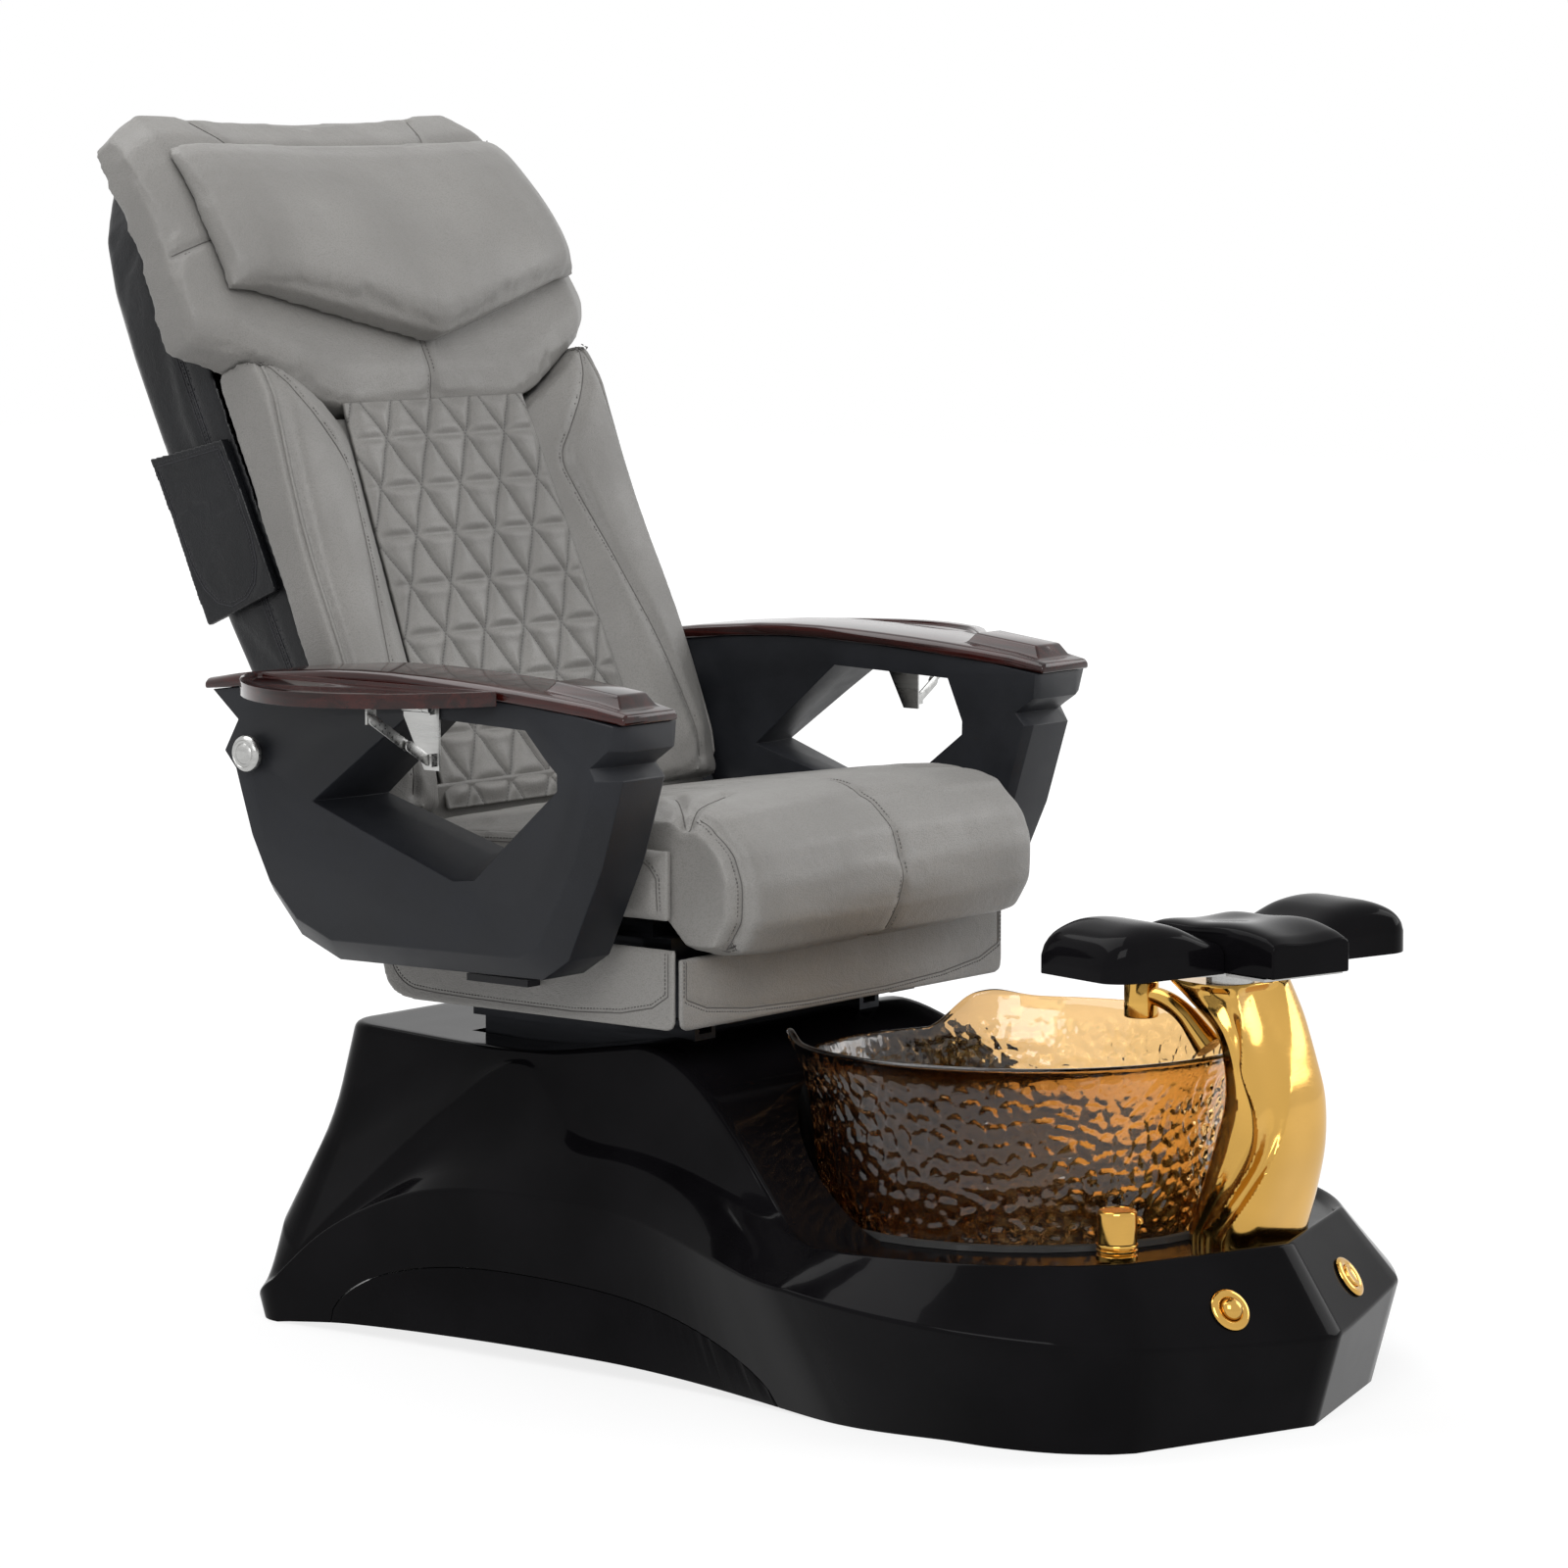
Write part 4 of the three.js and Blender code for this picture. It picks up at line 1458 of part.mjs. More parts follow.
buildBase();
buildBaseFrame();
buildBowl();
buildPillar();
buildFootrest();
buildControls();
buildSeatCushion();
buildSeatSides();
buildSkirts();
buildSeatFrame();
buildReclineRod();
buildBackPad();
buildHead();
buildBackShell();
buildBackFrame();
buildArms();
buildTrays();
buildServices();

// the origin stands under the middle of the chair's length
chair.updateMatrixWorld(true);
const reach = new THREE.Box3().setFromObject(chair, true);
chair.position.y = -(reach.min.y + reach.max.y) / 2;

export default chair;
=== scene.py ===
"""Dresses the pedicure spa chair's frame: leather, gloss shell, hammered glass, gold and wood."""

import json
import math

import bpy
import numpy as np
from bpy.props import FloatProperty, FloatVectorProperty, IntProperty, PointerProperty
from bpy.types import Operator, Panel, PropertyGroup
from mathutils import Matrix, Vector
from mathutils.bvhtree import BVHTree


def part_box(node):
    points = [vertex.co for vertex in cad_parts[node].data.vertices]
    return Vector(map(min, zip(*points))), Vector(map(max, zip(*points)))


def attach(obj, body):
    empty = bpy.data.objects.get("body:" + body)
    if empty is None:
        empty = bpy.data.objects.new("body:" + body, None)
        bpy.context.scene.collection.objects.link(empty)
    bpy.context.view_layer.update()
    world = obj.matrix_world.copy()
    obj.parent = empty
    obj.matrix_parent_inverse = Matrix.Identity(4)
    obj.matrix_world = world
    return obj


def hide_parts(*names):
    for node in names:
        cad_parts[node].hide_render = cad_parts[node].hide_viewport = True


bl_info = {
    "name": "Pedicure Spa Chair",
    "version": (1, 0, 0),
    "blender": (4, 5, 0),
    "location": "3D View > Sidebar > Spa Chair",
    "description": "Finishes and soft goods for the pedicure spa chair",
    "category": "Object",
}

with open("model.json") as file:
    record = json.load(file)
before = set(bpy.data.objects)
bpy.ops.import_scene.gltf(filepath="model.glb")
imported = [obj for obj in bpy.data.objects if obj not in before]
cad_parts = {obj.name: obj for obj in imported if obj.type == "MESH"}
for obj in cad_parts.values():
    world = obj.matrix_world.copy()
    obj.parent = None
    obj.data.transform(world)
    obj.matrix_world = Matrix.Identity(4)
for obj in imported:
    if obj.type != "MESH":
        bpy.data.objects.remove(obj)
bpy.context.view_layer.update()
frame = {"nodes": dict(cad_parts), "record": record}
NODES = frame["nodes"]
SIDES = (("right", -1), ("left", 1))

# The frame is centred on its box; the drawing has y = 0 behind the seat's middle.
DRAWN_FRONT_Y = -0.802
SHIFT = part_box("base_shell")[0].y - DRAWN_FRONT_Y

BACK_TILT = math.radians(25)
BACK_ORIGIN = Vector((0, 0.2587 + SHIFT, 0.6))
BACK_DEEP = Vector((0, math.cos(BACK_TILT), -math.sin(BACK_TILT)))
BACK_UP = Vector((0, math.sin(BACK_TILT), math.cos(BACK_TILT)))


def on_back(x, deep, up):
    """A point given across the back, behind its face and up along it."""
    return BACK_ORIGIN + Vector((x, 0, 0)) + BACK_DEEP * deep + BACK_UP * up


# ------------------------------------------------------------------ sizes and colours


def number(name, description, default, low=0.0, **kind):
    return FloatProperty(name=name, description=description, default=default, min=low, **kind)


def length(name, description, default, low=0.0):
    return number(name, description, default, low, unit="LENGTH")


def power(name, description, default):
    return number(name, description, default, unit="POWER")


def angle(name, description, degrees):
    return FloatProperty(name=name, description=description, default=math.radians(degrees),
                         subtype="ANGLE")


def colour(name, description, default):
    return FloatVectorProperty(name=name, description=description, default=default, size=3,
                               subtype="COLOR", min=0, max=1)


class SpaStageSizes(PropertyGroup):
    aim: FloatVectorProperty(name="Aim", description="Point the camera looks at", size=3,
                             subtype="TRANSLATION", default=(0, -0.04302, 0.64))
    distance: length("Distance", "Camera to aim", 6.67, 1)
    azimuth: angle("Azimuth", "Camera's turn about the chair", -51.5)
    elevation: angle("Elevation", "Camera's height angle", 6.5)
    lens: number("Lens", "Focal length in millimetres", 135, 20)
    sky: number("Sky", "Strength of the even light all round", 0.35)
    key: power("Key light", "Power of the large lamp at the front", 130)
    fill: power("Fill light", "Power of the lamp at the far side", 60)
    top: power("Top light", "Power of the lamp overhead", 80)


class SpaColours(PropertyGroup):
    leather: colour("Leather", "Warm grey upholstery", (0.225, 0.217, 0.205))
    dark_leather: colour("Dark leather", "Back shell and pocket", (0.007, 0.0075, 0.009))
    gloss: colour("Base shell", "Gloss moulding", (0.0035, 0.0032, 0.0038))
    charcoal: colour("Arms", "Matt arm mouldings", (0.012, 0.013, 0.016))
    wood: colour("Wood", "Lacquered arm caps and trays", (0.028, 0.004, 0.003))
    gold: colour("Gold", "Pillar, spout and buttons", (0.60, 0.35, 0.085))
    # The bowl's glass colour is painted as a lit tone and a shaded tone.
    amber: colour("Amber glass", "Lit side of the bowl", (0.86, 0.54, 0.22))
    shaded_amber: colour("Smoky glass", "Shaded side of the bowl", (0.27, 0.15, 0.07))


class SpaPaddingSizes(PropertyGroup):
    voxel: length("Mesh size", "Spacing of the remeshed pads", 0.006, 0.003)
    pressure: number("Filling", "Pressure that swells a pad", 4)
    frames: IntProperty(name="Frames", description="Steps of the cloth settling", default=20, min=1)
    piping: length("Piping", "Radius of the piping", 0.0024, 0.0005)
    stitch: length("Stitch", "Length of one stitch", 0.0046, 0.001)
    quilt_across: length("Quilt width", "Width of one quilted triangle", 0.0692, 0.02)
    quilt_up: length("Quilt height", "Height of one quilted triangle", 0.060, 0.02)
    quilt_puff: length("Quilt puff", "How far a quilted triangle stands out", 0.0065)


# ------------------------------------------------------------------ shader maths


class Value:
    """A socket of a material on which arithmetic adds Math nodes."""

    def __init__(self, finish, socket):
        self.finish, self.socket = finish, socket

    def maths(self, operation, *others):
        return self.finish.node("ShaderNodeMath", {"operation": operation}, dict(enumerate(others)))

    def __add__(self, other):
        return self.maths("ADD", self, other)

    def __radd__(self, other):
        return self.maths("ADD", other, self)

    def __sub__(self, other):
        return self.maths("SUBTRACT", self, other)

    def __rsub__(self, other):
        return self.maths("SUBTRACT", other, self)

    def __mul__(self, other):
        return self.maths("MULTIPLY", self, other)

    def __rmul__(self, other):
        return self.maths("MULTIPLY", other, self)

    def fraction(self):
        return self.maths("FRACT", self)

    def least(self, other):
        return self.maths("MINIMUM", self, other)

    def most(self, other):
        return self.maths("MAXIMUM", self, other)

    def ramp(self, low, high, start=0.0, end=1.0):
        """start below low, end above high, and eased between."""
        return self.finish.node("ShaderNodeMapRange", {"interpolation_type": "SMOOTHSTEP"}, {
            "Value": self, "From Min": low, "From Max": high, "To Min": start, "To Max": end})


class Finish:
    """A material in the making, or a world."""

    def __init__(self, name, library="materials"):
        self.made = getattr(bpy.data, library).new(name)
        self.made.use_nodes = True
        self.tree = self.made.node_tree
        self.tree.nodes.clear()

    def node(self, kind, settings=None, values=None, out=0):
        made = self.tree.nodes.new(kind)
        for key, value in (settings or {}).items():
            setattr(made, key, value)
        for key, value in (values or {}).items():
            if isinstance(value, Value):
                self.tree.links.new(value.socket, made.inputs[key])
            else:
                made.inputs[key].default_value = value
        return Value(self, made.outputs[out]) if made.outputs else None

    def place(self):
        return self.node("ShaderNodeTexCoord", out=3)

    def stretched(self, x, y, z):
        return self.node("ShaderNodeMapping", None, {"Vector": self.place(), "Scale": (x, y, z)})

    def noise(self, scale, detail=2.0, roughness=0.5, distortion=0.0, where=None):
        return self.node("ShaderNodeTexNoise", None, {
            "Vector": where or self.place(), "Scale": scale, "Detail": detail,
            "Roughness": roughness, "Distortion": distortion})

    def cells(self, scale, smooth=None, randomness=1.0):
        """Distance from the middles of scattered cells, rounded where they meet if smooth."""
        values = {"Vector": self.place(), "Scale": scale, "Randomness": randomness}
        if smooth is None:
            return self.node("ShaderNodeTexVoronoi", {"feature": "F1"}, values)
        values["Smoothness"] = smooth
        return self.node("ShaderNodeTexVoronoi", {"feature": "SMOOTH_F1"}, values)

    def parts(self, vector):
        """The x, y and z of a vector."""
        apart = self.node("ShaderNodeSeparateXYZ", None, {"Vector": vector})
        return [Value(self, socket) for socket in apart.socket.node.outputs]

    def shows_white(self):
        """1 for rays from the camera, and those by way of gloss and glass."""
        rays = self.node("ShaderNodeLightPath").socket.node.outputs
        camera, gloss, glass = (Value(self, rays[f"Is {kind} Ray"])
                                for kind in ("Camera", "Glossy", "Transmission"))
        return camera.most(gloss).most(glass)

    def blend(self, share, low, high):
        """A colour between low and high."""
        return self.node("ShaderNodeMix", {"data_type": "RGBA"}, {0: share, 6: low, 7: high}, out=2)

    def bump(self, height, depth, strength=1.0, under=None):
        values = {"Height": height, "Distance": depth, "Strength": strength}
        if under is not None:
            values["Normal"] = under
        return self.node("ShaderNodeBump", None, values)

    def shader(self, **values):
        named = {key.replace("_", " "): value for key, value in values.items()}
        return self.node("ShaderNodeBsdfPrincipled", None, named)

    def end(self, surface, kind="Material"):
        self.node("ShaderNodeOutput" + kind, None, {"Surface": surface})
        return self.made


def tone(colour, share=1.0, lift=0.0):
    return tuple(min(1.0, c * share + lift) for c in colour) + (1.0,)


# A quilted triangle's sewn lines are this much closer, square to them, than along its foot.
QUILT_SLANT = 0.87


def leather(name, colour, light=1.16, dark=0.80, roughness=0.46, grain=1.0, stitched=False,
            sheen=0.08, shine=0.42):
    """Pebbled hide with soft creases and paler patches; stitched adds the quilt's sewn lines, with
    painted shade in the valleys along them.
    """
    finish = Finish(name)
    sizes = bpy.context.scene.spa_padding
    pebble = finish.cells(640, smooth=0.35)
    fine = finish.noise(1500)
    crease = finish.noise(34, detail=3.0, roughness=0.55, distortion=1.4)
    broad = finish.noise(5.5)
    shade = finish.blend(broad.ramp(0.32, 0.7), tone(colour, 0.93), tone(colour, light))
    shade = finish.blend(pebble.ramp(0.35, 0.85) * 0.55, shade, tone(colour, dark))
    worn = finish.noise(12, detail=4.0, roughness=0.6)
    rough = worn.ramp(0.3, 0.7, roughness - 0.07, roughness + 0.08)
    normal = finish.bump(crease, 0.0024, 0.35)
    normal = finish.bump(pebble * -1 + fine * 0.25, 0.00035 * grain, 0.75, normal)
    if stitched:
        across, up, _ = finish.parts(finish.node("ShaderNodeUVMap", {"uv_map": "quilt"}))
        lean = (across + up * 0.5).fraction()
        counter = (across - up * 0.5).fraction()
        far = lean.least(1 - lean).least(counter.least(1 - counter))
        far = far * (sizes.quilt_across * QUILT_SLANT)
        line = far.ramp(0.0006, 0.0014, 1.0, 0.0)
        dash = (up * (sizes.quilt_up / (sizes.stitch * 0.86))).fraction()
        dash = dash.ramp(0.62, 0.70, 1.0, 0.0)
        # Painted shade: the hide is darkened in the valley along each sewn line; the same mask also
        # sinks the bump.
        groove_and_shade = far.ramp(0.0, 0.0042, 1.0, 0.0)
        shade = finish.blend(groove_and_shade * 0.35, shade, tone(colour, 0.45))
        shade = finish.blend(line * dash * 0.75, shade, tone(colour, 0.32))
        normal = finish.bump(line * dash - groove_and_shade * 1.2, 0.0012, 0.8, normal)
    surface = finish.shader(Base_Color=shade, Roughness=rough, Normal=normal, Sheen_Weight=sheen,
                            Sheen_Roughness=0.45, Specular_IOR_Level=shine)
    return finish.end(surface)


def gloss_shell(name, colour, roughness=0.12, coat=0.06):
    """Black gel coat with a fine metallic fleck and a hint of ripple from the mould."""
    finish = Finish(name)
    fleck = finish.cells(1400).ramp(0.05, 0.16, 1.0, 0.0)
    haze = finish.noise(7, 3.0)
    shade = finish.blend(haze.ramp(0.3, 0.7), tone(colour, 0.8), tone(colour, 1.5))
    shade = finish.blend(fleck * 0.5, shade, tone(colour, 2.6, 0.004))
    rough = finish.noise(16, 4.0, 0.6).ramp(0.3, 0.75, roughness * 0.8, roughness * 1.5)
    normal = finish.bump(finish.noise(11, 1.0), 0.0011, 0.25)
    surface = finish.shader(Base_Color=shade, Roughness=rough, Normal=normal, Coat_Weight=coat,
                            Coat_Roughness=0.03, Specular_IOR_Level=0.02)
    return finish.end(surface)


def moulded(name, colour, roughness=0.46, grain=1.0, shine=0.25):
    """Matt moulded plastic with a fine spark-eroded grain, rubbed smoother in patches."""
    finish = Finish(name)
    grit = finish.noise(900, 2.0)
    patch = finish.noise(9, 4.0, 0.62)
    shade = finish.blend(patch.ramp(0.3, 0.72), tone(colour, 0.82), tone(colour, 1.28))
    shade = finish.blend(grit.ramp(0.45, 0.75) * 0.4, shade, tone(colour, 1.7))
    rough = patch.ramp(0.3, 0.7, roughness - 0.06, roughness + 0.08)
    normal = finish.bump(grit, 0.00022 * grain, 0.6)
    surface = finish.shader(Base_Color=shade, Roughness=rough, Normal=normal,
                            Specular_IOR_Level=shine)
    return finish.end(surface)


def polished(name, colour, roughness=0.12):
    """Plated metal: near mirror, with faint wipe marks and a slow waviness."""
    finish = Finish(name)
    wipe = finish.noise(60, detail=4.0, roughness=0.6, distortion=0.5,
                        where=finish.stretched(1, 1, 6))
    shade = finish.blend(finish.noise(8).ramp(0.3, 0.7), tone(colour, 0.9), tone(colour, 1.1))
    rough = wipe.ramp(0.3, 0.75, roughness * 0.7, roughness * 1.5)
    normal = finish.bump(finish.noise(14, 1.0), 0.0009, 0.3)
    return finish.end(finish.shader(Base_Color=shade, Metallic=1.0, Roughness=rough, Normal=normal))


def brushed(name, colour, roughness=0.3):
    """Zinc-plated or turned steel with fine drawn lines."""
    finish = Finish(name)
    lines = finish.noise(220, detail=3.0, roughness=0.6, where=finish.stretched(1, 0.06, 1))
    shade = finish.blend(lines.ramp(0.3, 0.7), tone(colour, 0.86), tone(colour, 1.08))
    rough = lines.ramp(0.25, 0.75, roughness * 0.75, roughness * 1.35)
    normal = finish.bump(lines, 0.0002, 0.2)
    return finish.end(finish.shader(Base_Color=shade, Metallic=1.0, Roughness=rough, Normal=normal))


def lacquered_wood(name, colour):
    """Dark red wood under clear lacquer, its grain running front to back."""
    finish = Finish(name)
    figure = finish.noise(46, detail=6.0, roughness=0.62, distortion=1.1,
                          where=finish.stretched(1, 0.09, 1))
    pores = finish.noise(520, where=finish.stretched(1, 0.04, 1))
    shade = finish.blend(figure.ramp(0.34, 0.68), tone(colour, 0.34), tone(colour, 1.45))
    shade = finish.blend(pores.ramp(0.56, 0.72) * 0.7, shade, tone(colour, 0.22))
    rough = figure.ramp(0.3, 0.7, 0.10, 0.18)
    normal = finish.bump(finish.noise(13, 1.0), 0.0006, 0.2)
    surface = finish.shader(Base_Color=shade, Roughness=rough, Normal=normal, Coat_Weight=0.4,
                            Coat_Roughness=0.03, Specular_IOR_Level=0.2)
    return finish.end(surface)


def hammered_glass(name, amber, shaded_amber):
    """Amber glass with painted light and shade: it turns to a shaded tone to the rear and darker at
    the foot; its outside a net of pressed dimples.
    """
    finish = Finish(name)
    x, y, z = finish.parts(finish.place())
    # Painted light and shade: the lit amber tone on the front and left side fades to the shaded
    # tone at the rear.
    drift = finish.noise(6) * 0.16
    share = (x * 0.9 - (y + 0.39) * 0.75 + drift).ramp(-0.16, 0.26)
    lit_and_shaded_tint = finish.blend(share, tone(shaded_amber), tone(amber))
    # Painted shade: the glass is darker toward the foot of the bowl.
    lit_and_shaded_tint = finish.blend(z.ramp(0.11, 0.2, 0.5, 0.0), lit_and_shaded_tint, tone(shaded_amber, 0.6))
    warp = finish.noise(9, 1.0)
    dimple = finish.cells(58, smooth=0.5, randomness=0.95)
    ripple = finish.cells(96, smooth=0.4)
    below = z.ramp(0.352, 0.372, 1.0, 0.12)
    normal = finish.bump((dimple * 0.4 + ripple * 0.35 + warp * 0.3) * below, 0.004, 0.7)
    rough = finish.noise(40).ramp(0.3, 0.7, 0.02, 0.07)
    surface = finish.shader(Base_Color=lit_and_shaded_tint, Roughness=rough, Normal=normal, IOR=1.45,
                            Transmission_Weight=1.0, Coat_Weight=0.3, Coat_Roughness=0.02)
    return finish.end(surface)


def rubber(name, colour):
    """Matt rubber with a slight bloom."""
    finish = Finish(name)
    bloom = finish.noise(30, 4.0)
    shade = finish.blend(bloom.ramp(0.4, 0.75), tone(colour), tone(colour, 2.2))
    rough = bloom.ramp(0.3, 0.7, 0.7, 0.9)
    normal = finish.bump(finish.noise(700), 0.0002, 0.5)
    return finish.end(finish.shader(Base_Color=shade, Roughness=rough, Normal=normal))


FINISHES = {}


def finishes():
    """Every material of the chair, made once."""
    if not FINISHES:
        tones = bpy.context.scene.spa_colours
        FINISHES.update(
            leather=leather("grey upholstery leather", tuple(tones.leather)),
            quilted=leather("quilted grey leather", tuple(tones.leather), stitched=True),
            dark_leather=leather("black upholstery leather", tuple(tones.dark_leather), light=1.5,
                                 dark=0.5, roughness=0.34, grain=0.9, sheen=0.0, shine=0.26),
            thread=moulded("grey thread", (0.11, 0.105, 0.10), 0.7, 2.0),
            dark_thread=moulded("black thread", (0.03, 0.03, 0.034), 0.6, 2.0),
            gloss=gloss_shell("black gel coat", tuple(tones.gloss)),
            satin=gloss_shell("black access panel", tuple(tones.gloss), 0.26, 0.03),
            charcoal=moulded("charcoal moulding", tuple(tones.charcoal)),
            plastic=moulded("black plastic", (0.012, 0.012, 0.014), 0.42),
            wood=lacquered_wood("lacquered mahogany", tuple(tones.wood)),
            gold=polished("polished gold plate", tuple(tones.gold)),
            steel=brushed("bright steel", (0.46, 0.46, 0.45), 0.3),
            dark_steel=brushed("dark coated steel", (0.022, 0.023, 0.026), 0.42),
            rubber=rubber("black rubber", (0.012, 0.012, 0.012)),
            glass=hammered_glass("hammered amber glass", tuple(tones.amber), tuple(tones.shaded_amber)),
        )
    return FINISHES


# ------------------------------------------------------------------ handling meshes


def only(piece):
    """Leaves just this piece selected and active."""
    bpy.ops.object.select_all(action="DESELECT")
    piece.select_set(True)
    bpy.context.view_layer.objects.active = piece


def edited(piece, operator, **settings):
    """Runs a mesh operator on the whole of a piece."""
    only(piece)
    bpy.ops.object.mode_set(mode="EDIT")
    bpy.ops.mesh.select_all(action="SELECT")
    operator(**settings)
    bpy.ops.object.mode_set(mode="OBJECT")
    return piece


def facing_out(piece):
    return edited(piece, bpy.ops.mesh.normals_make_consistent, inside=False)


def modified(piece, kind, **settings):
    """Adds a modifier with those settings and applies it."""
    only(piece)
    made = piece.modifiers.new(kind.title(), kind)
    for key, value in settings.items():
        setattr(made, key, value)
    bpy.ops.object.modifier_apply(modifier=made.name)
    return piece


def bevelled(piece, width, segments=2, degrees=50):
    """Rounds the edges that turn by more than those degrees."""
    return modified(piece, "BEVEL", width=width, segments=segments, limit_method="ANGLE",
                    angle_limit=math.radians(degrees))


def linked(name, mesh):
    """A new piece of the scene with that mesh."""
    piece = bpy.data.objects.new(name, mesh)
    bpy.context.scene.collection.objects.link(piece)
    return piece


def meshed(name, points, faces):
    """A new piece from its points in metres and its faces."""
    mesh = bpy.data.meshes.new(name)
    mesh.from_pydata(points, [], faces)
    return linked(name, mesh)


def copied(node, name):
    """A CAD node's shape as a new piece with its corners joined."""
    piece = linked(name, NODES[node].data.copy())
    piece.data.name = name
    edited(piece, bpy.ops.mesh.remove_doubles, threshold=0.00002)
    if piece.data.has_custom_normals:
        bpy.ops.mesh.customdata_custom_splitnormals_clear()
    return piece


def vectors(items, key):
    """A mesh's own vectors as an array of rows."""
    flat = np.empty(len(items) * 3, np.float32)
    items.foreach_get(key, flat)
    return flat.reshape(-1, 3).astype(float)


def coordinates(piece):
    return vectors(piece.data.vertices, "co")


def outward(piece):
    return vectors(piece.data.vertex_normals, "vector")


def move_to(piece, co):
    piece.data.vertices.foreach_set("co", np.asarray(co, np.float32).ravel())
    piece.data.update()


def dressed(piece, body, finish, slot, *nodes, smooth=None):
    """Gives a finished piece its material and its body, and hides the CAD nodes it stands for."""
    piece.data.materials.clear()
    piece.data.materials.append(finishes()[finish])
    only(piece)
    if smooth is None:
        bpy.ops.object.shade_smooth()
    else:
        bpy.ops.object.shade_smooth_by_angle(angle=math.radians(smooth))
    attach(piece, body)
    if nodes:
        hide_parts(*nodes)
    return piece


def softened(node, name, body, finish, slot, width, degrees=28, segments=3):
    """A rigid CAD node with its edges rounded as the moulding's are."""
    piece = copied(node, name)
    edited(piece, bpy.ops.mesh.dissolve_limited, angle_limit=math.radians(1.2))
    bevelled(piece, width, segments, degrees)
    return dressed(piece, body, finish, slot, node, smooth=32)


def from_grid(name, points, closed_u=False, closed_v=False):
    """A mesh from a grid of points in metres, rows by columns."""
    rows, columns = points.shape[:2]
    faces = []
    for j in range(rows if closed_v else rows - 1):
        here, above = j * columns, (j + 1) % rows * columns
        for i in range(columns if closed_u else columns - 1):
            beside = (i + 1) % columns
            faces.append((here + i, here + beside, above + beside, above + i))
    return meshed(name, points.reshape(-1, 3).tolist(), faces)


def planned(points):
    """The frame's drawing in millimetres, brought to the frame's place in metres."""
    return np.asarray(points, float) * 0.001 + np.array([0, SHIFT, 0])


def through(*pairs):
    """A smooth function through pairs of input and output."""
    xs, ys = np.array(pairs, float).T
    place = np.arange(len(xs))
    low, high = np.maximum(place - 1, 0), np.minimum(place + 1, len(xs) - 1)
    slopes = (ys[high] - ys[low]) / (xs[high] - xs[low])

    def at(value):
        value = np.clip(value, xs[0], xs[-1])
        i = np.clip(np.searchsorted(xs, value, side="right") - 1, 0, len(xs) - 2)
        h = xs[i + 1] - xs[i]
        t = (value - xs[i]) / h
        return (ys[i] * (2 * t ** 3 - 3 * t ** 2 + 1) + slopes[i] * h * (t ** 3 - 2 * t ** 2 + t)
                + ys[i + 1] * (3 * t ** 2 - 2 * t ** 3) + slopes[i + 1] * h * (t ** 3 - t ** 2))

    return at


def mix(a, b, t):
    return a + (b - a) * t


def ease(t):
    t = np.clip(t, 0, 1)
    return t * t * (3 - 2 * t)


def rounded(levels, radii, steps=5):
    """Stacked outlines with each inner one turned into a fillet of that radius."""
    out = [levels[0]]
    for k in range(1, len(levels) - 1):
        middle = levels[k]
        ends = []
        for other in (levels[k - 1], levels[k + 1]):
            apart = np.maximum(np.linalg.norm(other - middle, axis=1, keepdims=True), 1e-6)
            back = np.minimum(radii[k - 1], 0.48 * apart)
            ends.append(middle + (other - middle) * back / apart)
        for t in np.linspace(0, 1, steps):
            out.append(ends[0] * (1 - t) ** 2 + 2 * middle * t * (1 - t) + ends[1] * t * t)
    return out + [levels[-1]]


def closed_mesh(name, rings, cap="fan"):
    """A closed body from rings of points in millimetres; caps are a fan or strips across."""
    rings = np.array(rings)
    rows, count = rings.shape[:2]
    faces = [(j * count + i, j * count + (i + 1) % count,
              (j + 1) * count + (i + 1) % count, (j + 1) * count + i)
             for j in range(rows - 1) for i in range(count)]
    points = rings.reshape(-1, 3)
    for start, flip in ((0, True), ((rows - 1) * count, False)):
        if cap == "fan":
            points = np.vstack([points, points[start:start + count].mean(0)])
            ends = [(start + i, start + (i + 1) % count, len(points) - 1) for i in range(count)]
        else:
            ends = []
            for i in range(count // 2):
                quad = (i, i + 1, (count - i - 1) % count, (count - i) % count)
                ends.append(tuple(dict.fromkeys(start + corner for corner in quad)))
        faces += [face[::-1] for face in ends] if flip else ends
    return facing_out(meshed(name, planned(points).tolist(), faces))


def turned(name, profile, sides, x=0.0, y=0.0):
    """A body turned about an upright axis from (radius, height) pairs."""
    a = np.arange(sides) * 2 * np.pi / sides
    return closed_mesh(name, [
        np.stack([x + r * np.cos(a), y + r * np.sin(a), np.full(sides, float(z))], 1)
        for r, z in profile])


def block(name, low, high):
    """A plain box between two corners in millimetres."""
    (x0, y0, z0), (x1, y1, z1) = low, high
    ring = np.array([(x0, y0), (x1, y0), (x1, y1), (x0, y1)])
    return closed_mesh(name, [np.column_stack([ring, np.full(4, float(z))]) for z in (z0, z1)])


def plate(name, outline, x0, x1):
    """A plate with that outline in y and z, between two places across."""
    ring = np.array(outline, float)
    return closed_mesh(name, [
        np.column_stack([np.full(len(ring), float(x)), ring]) for x in (x0, x1)])


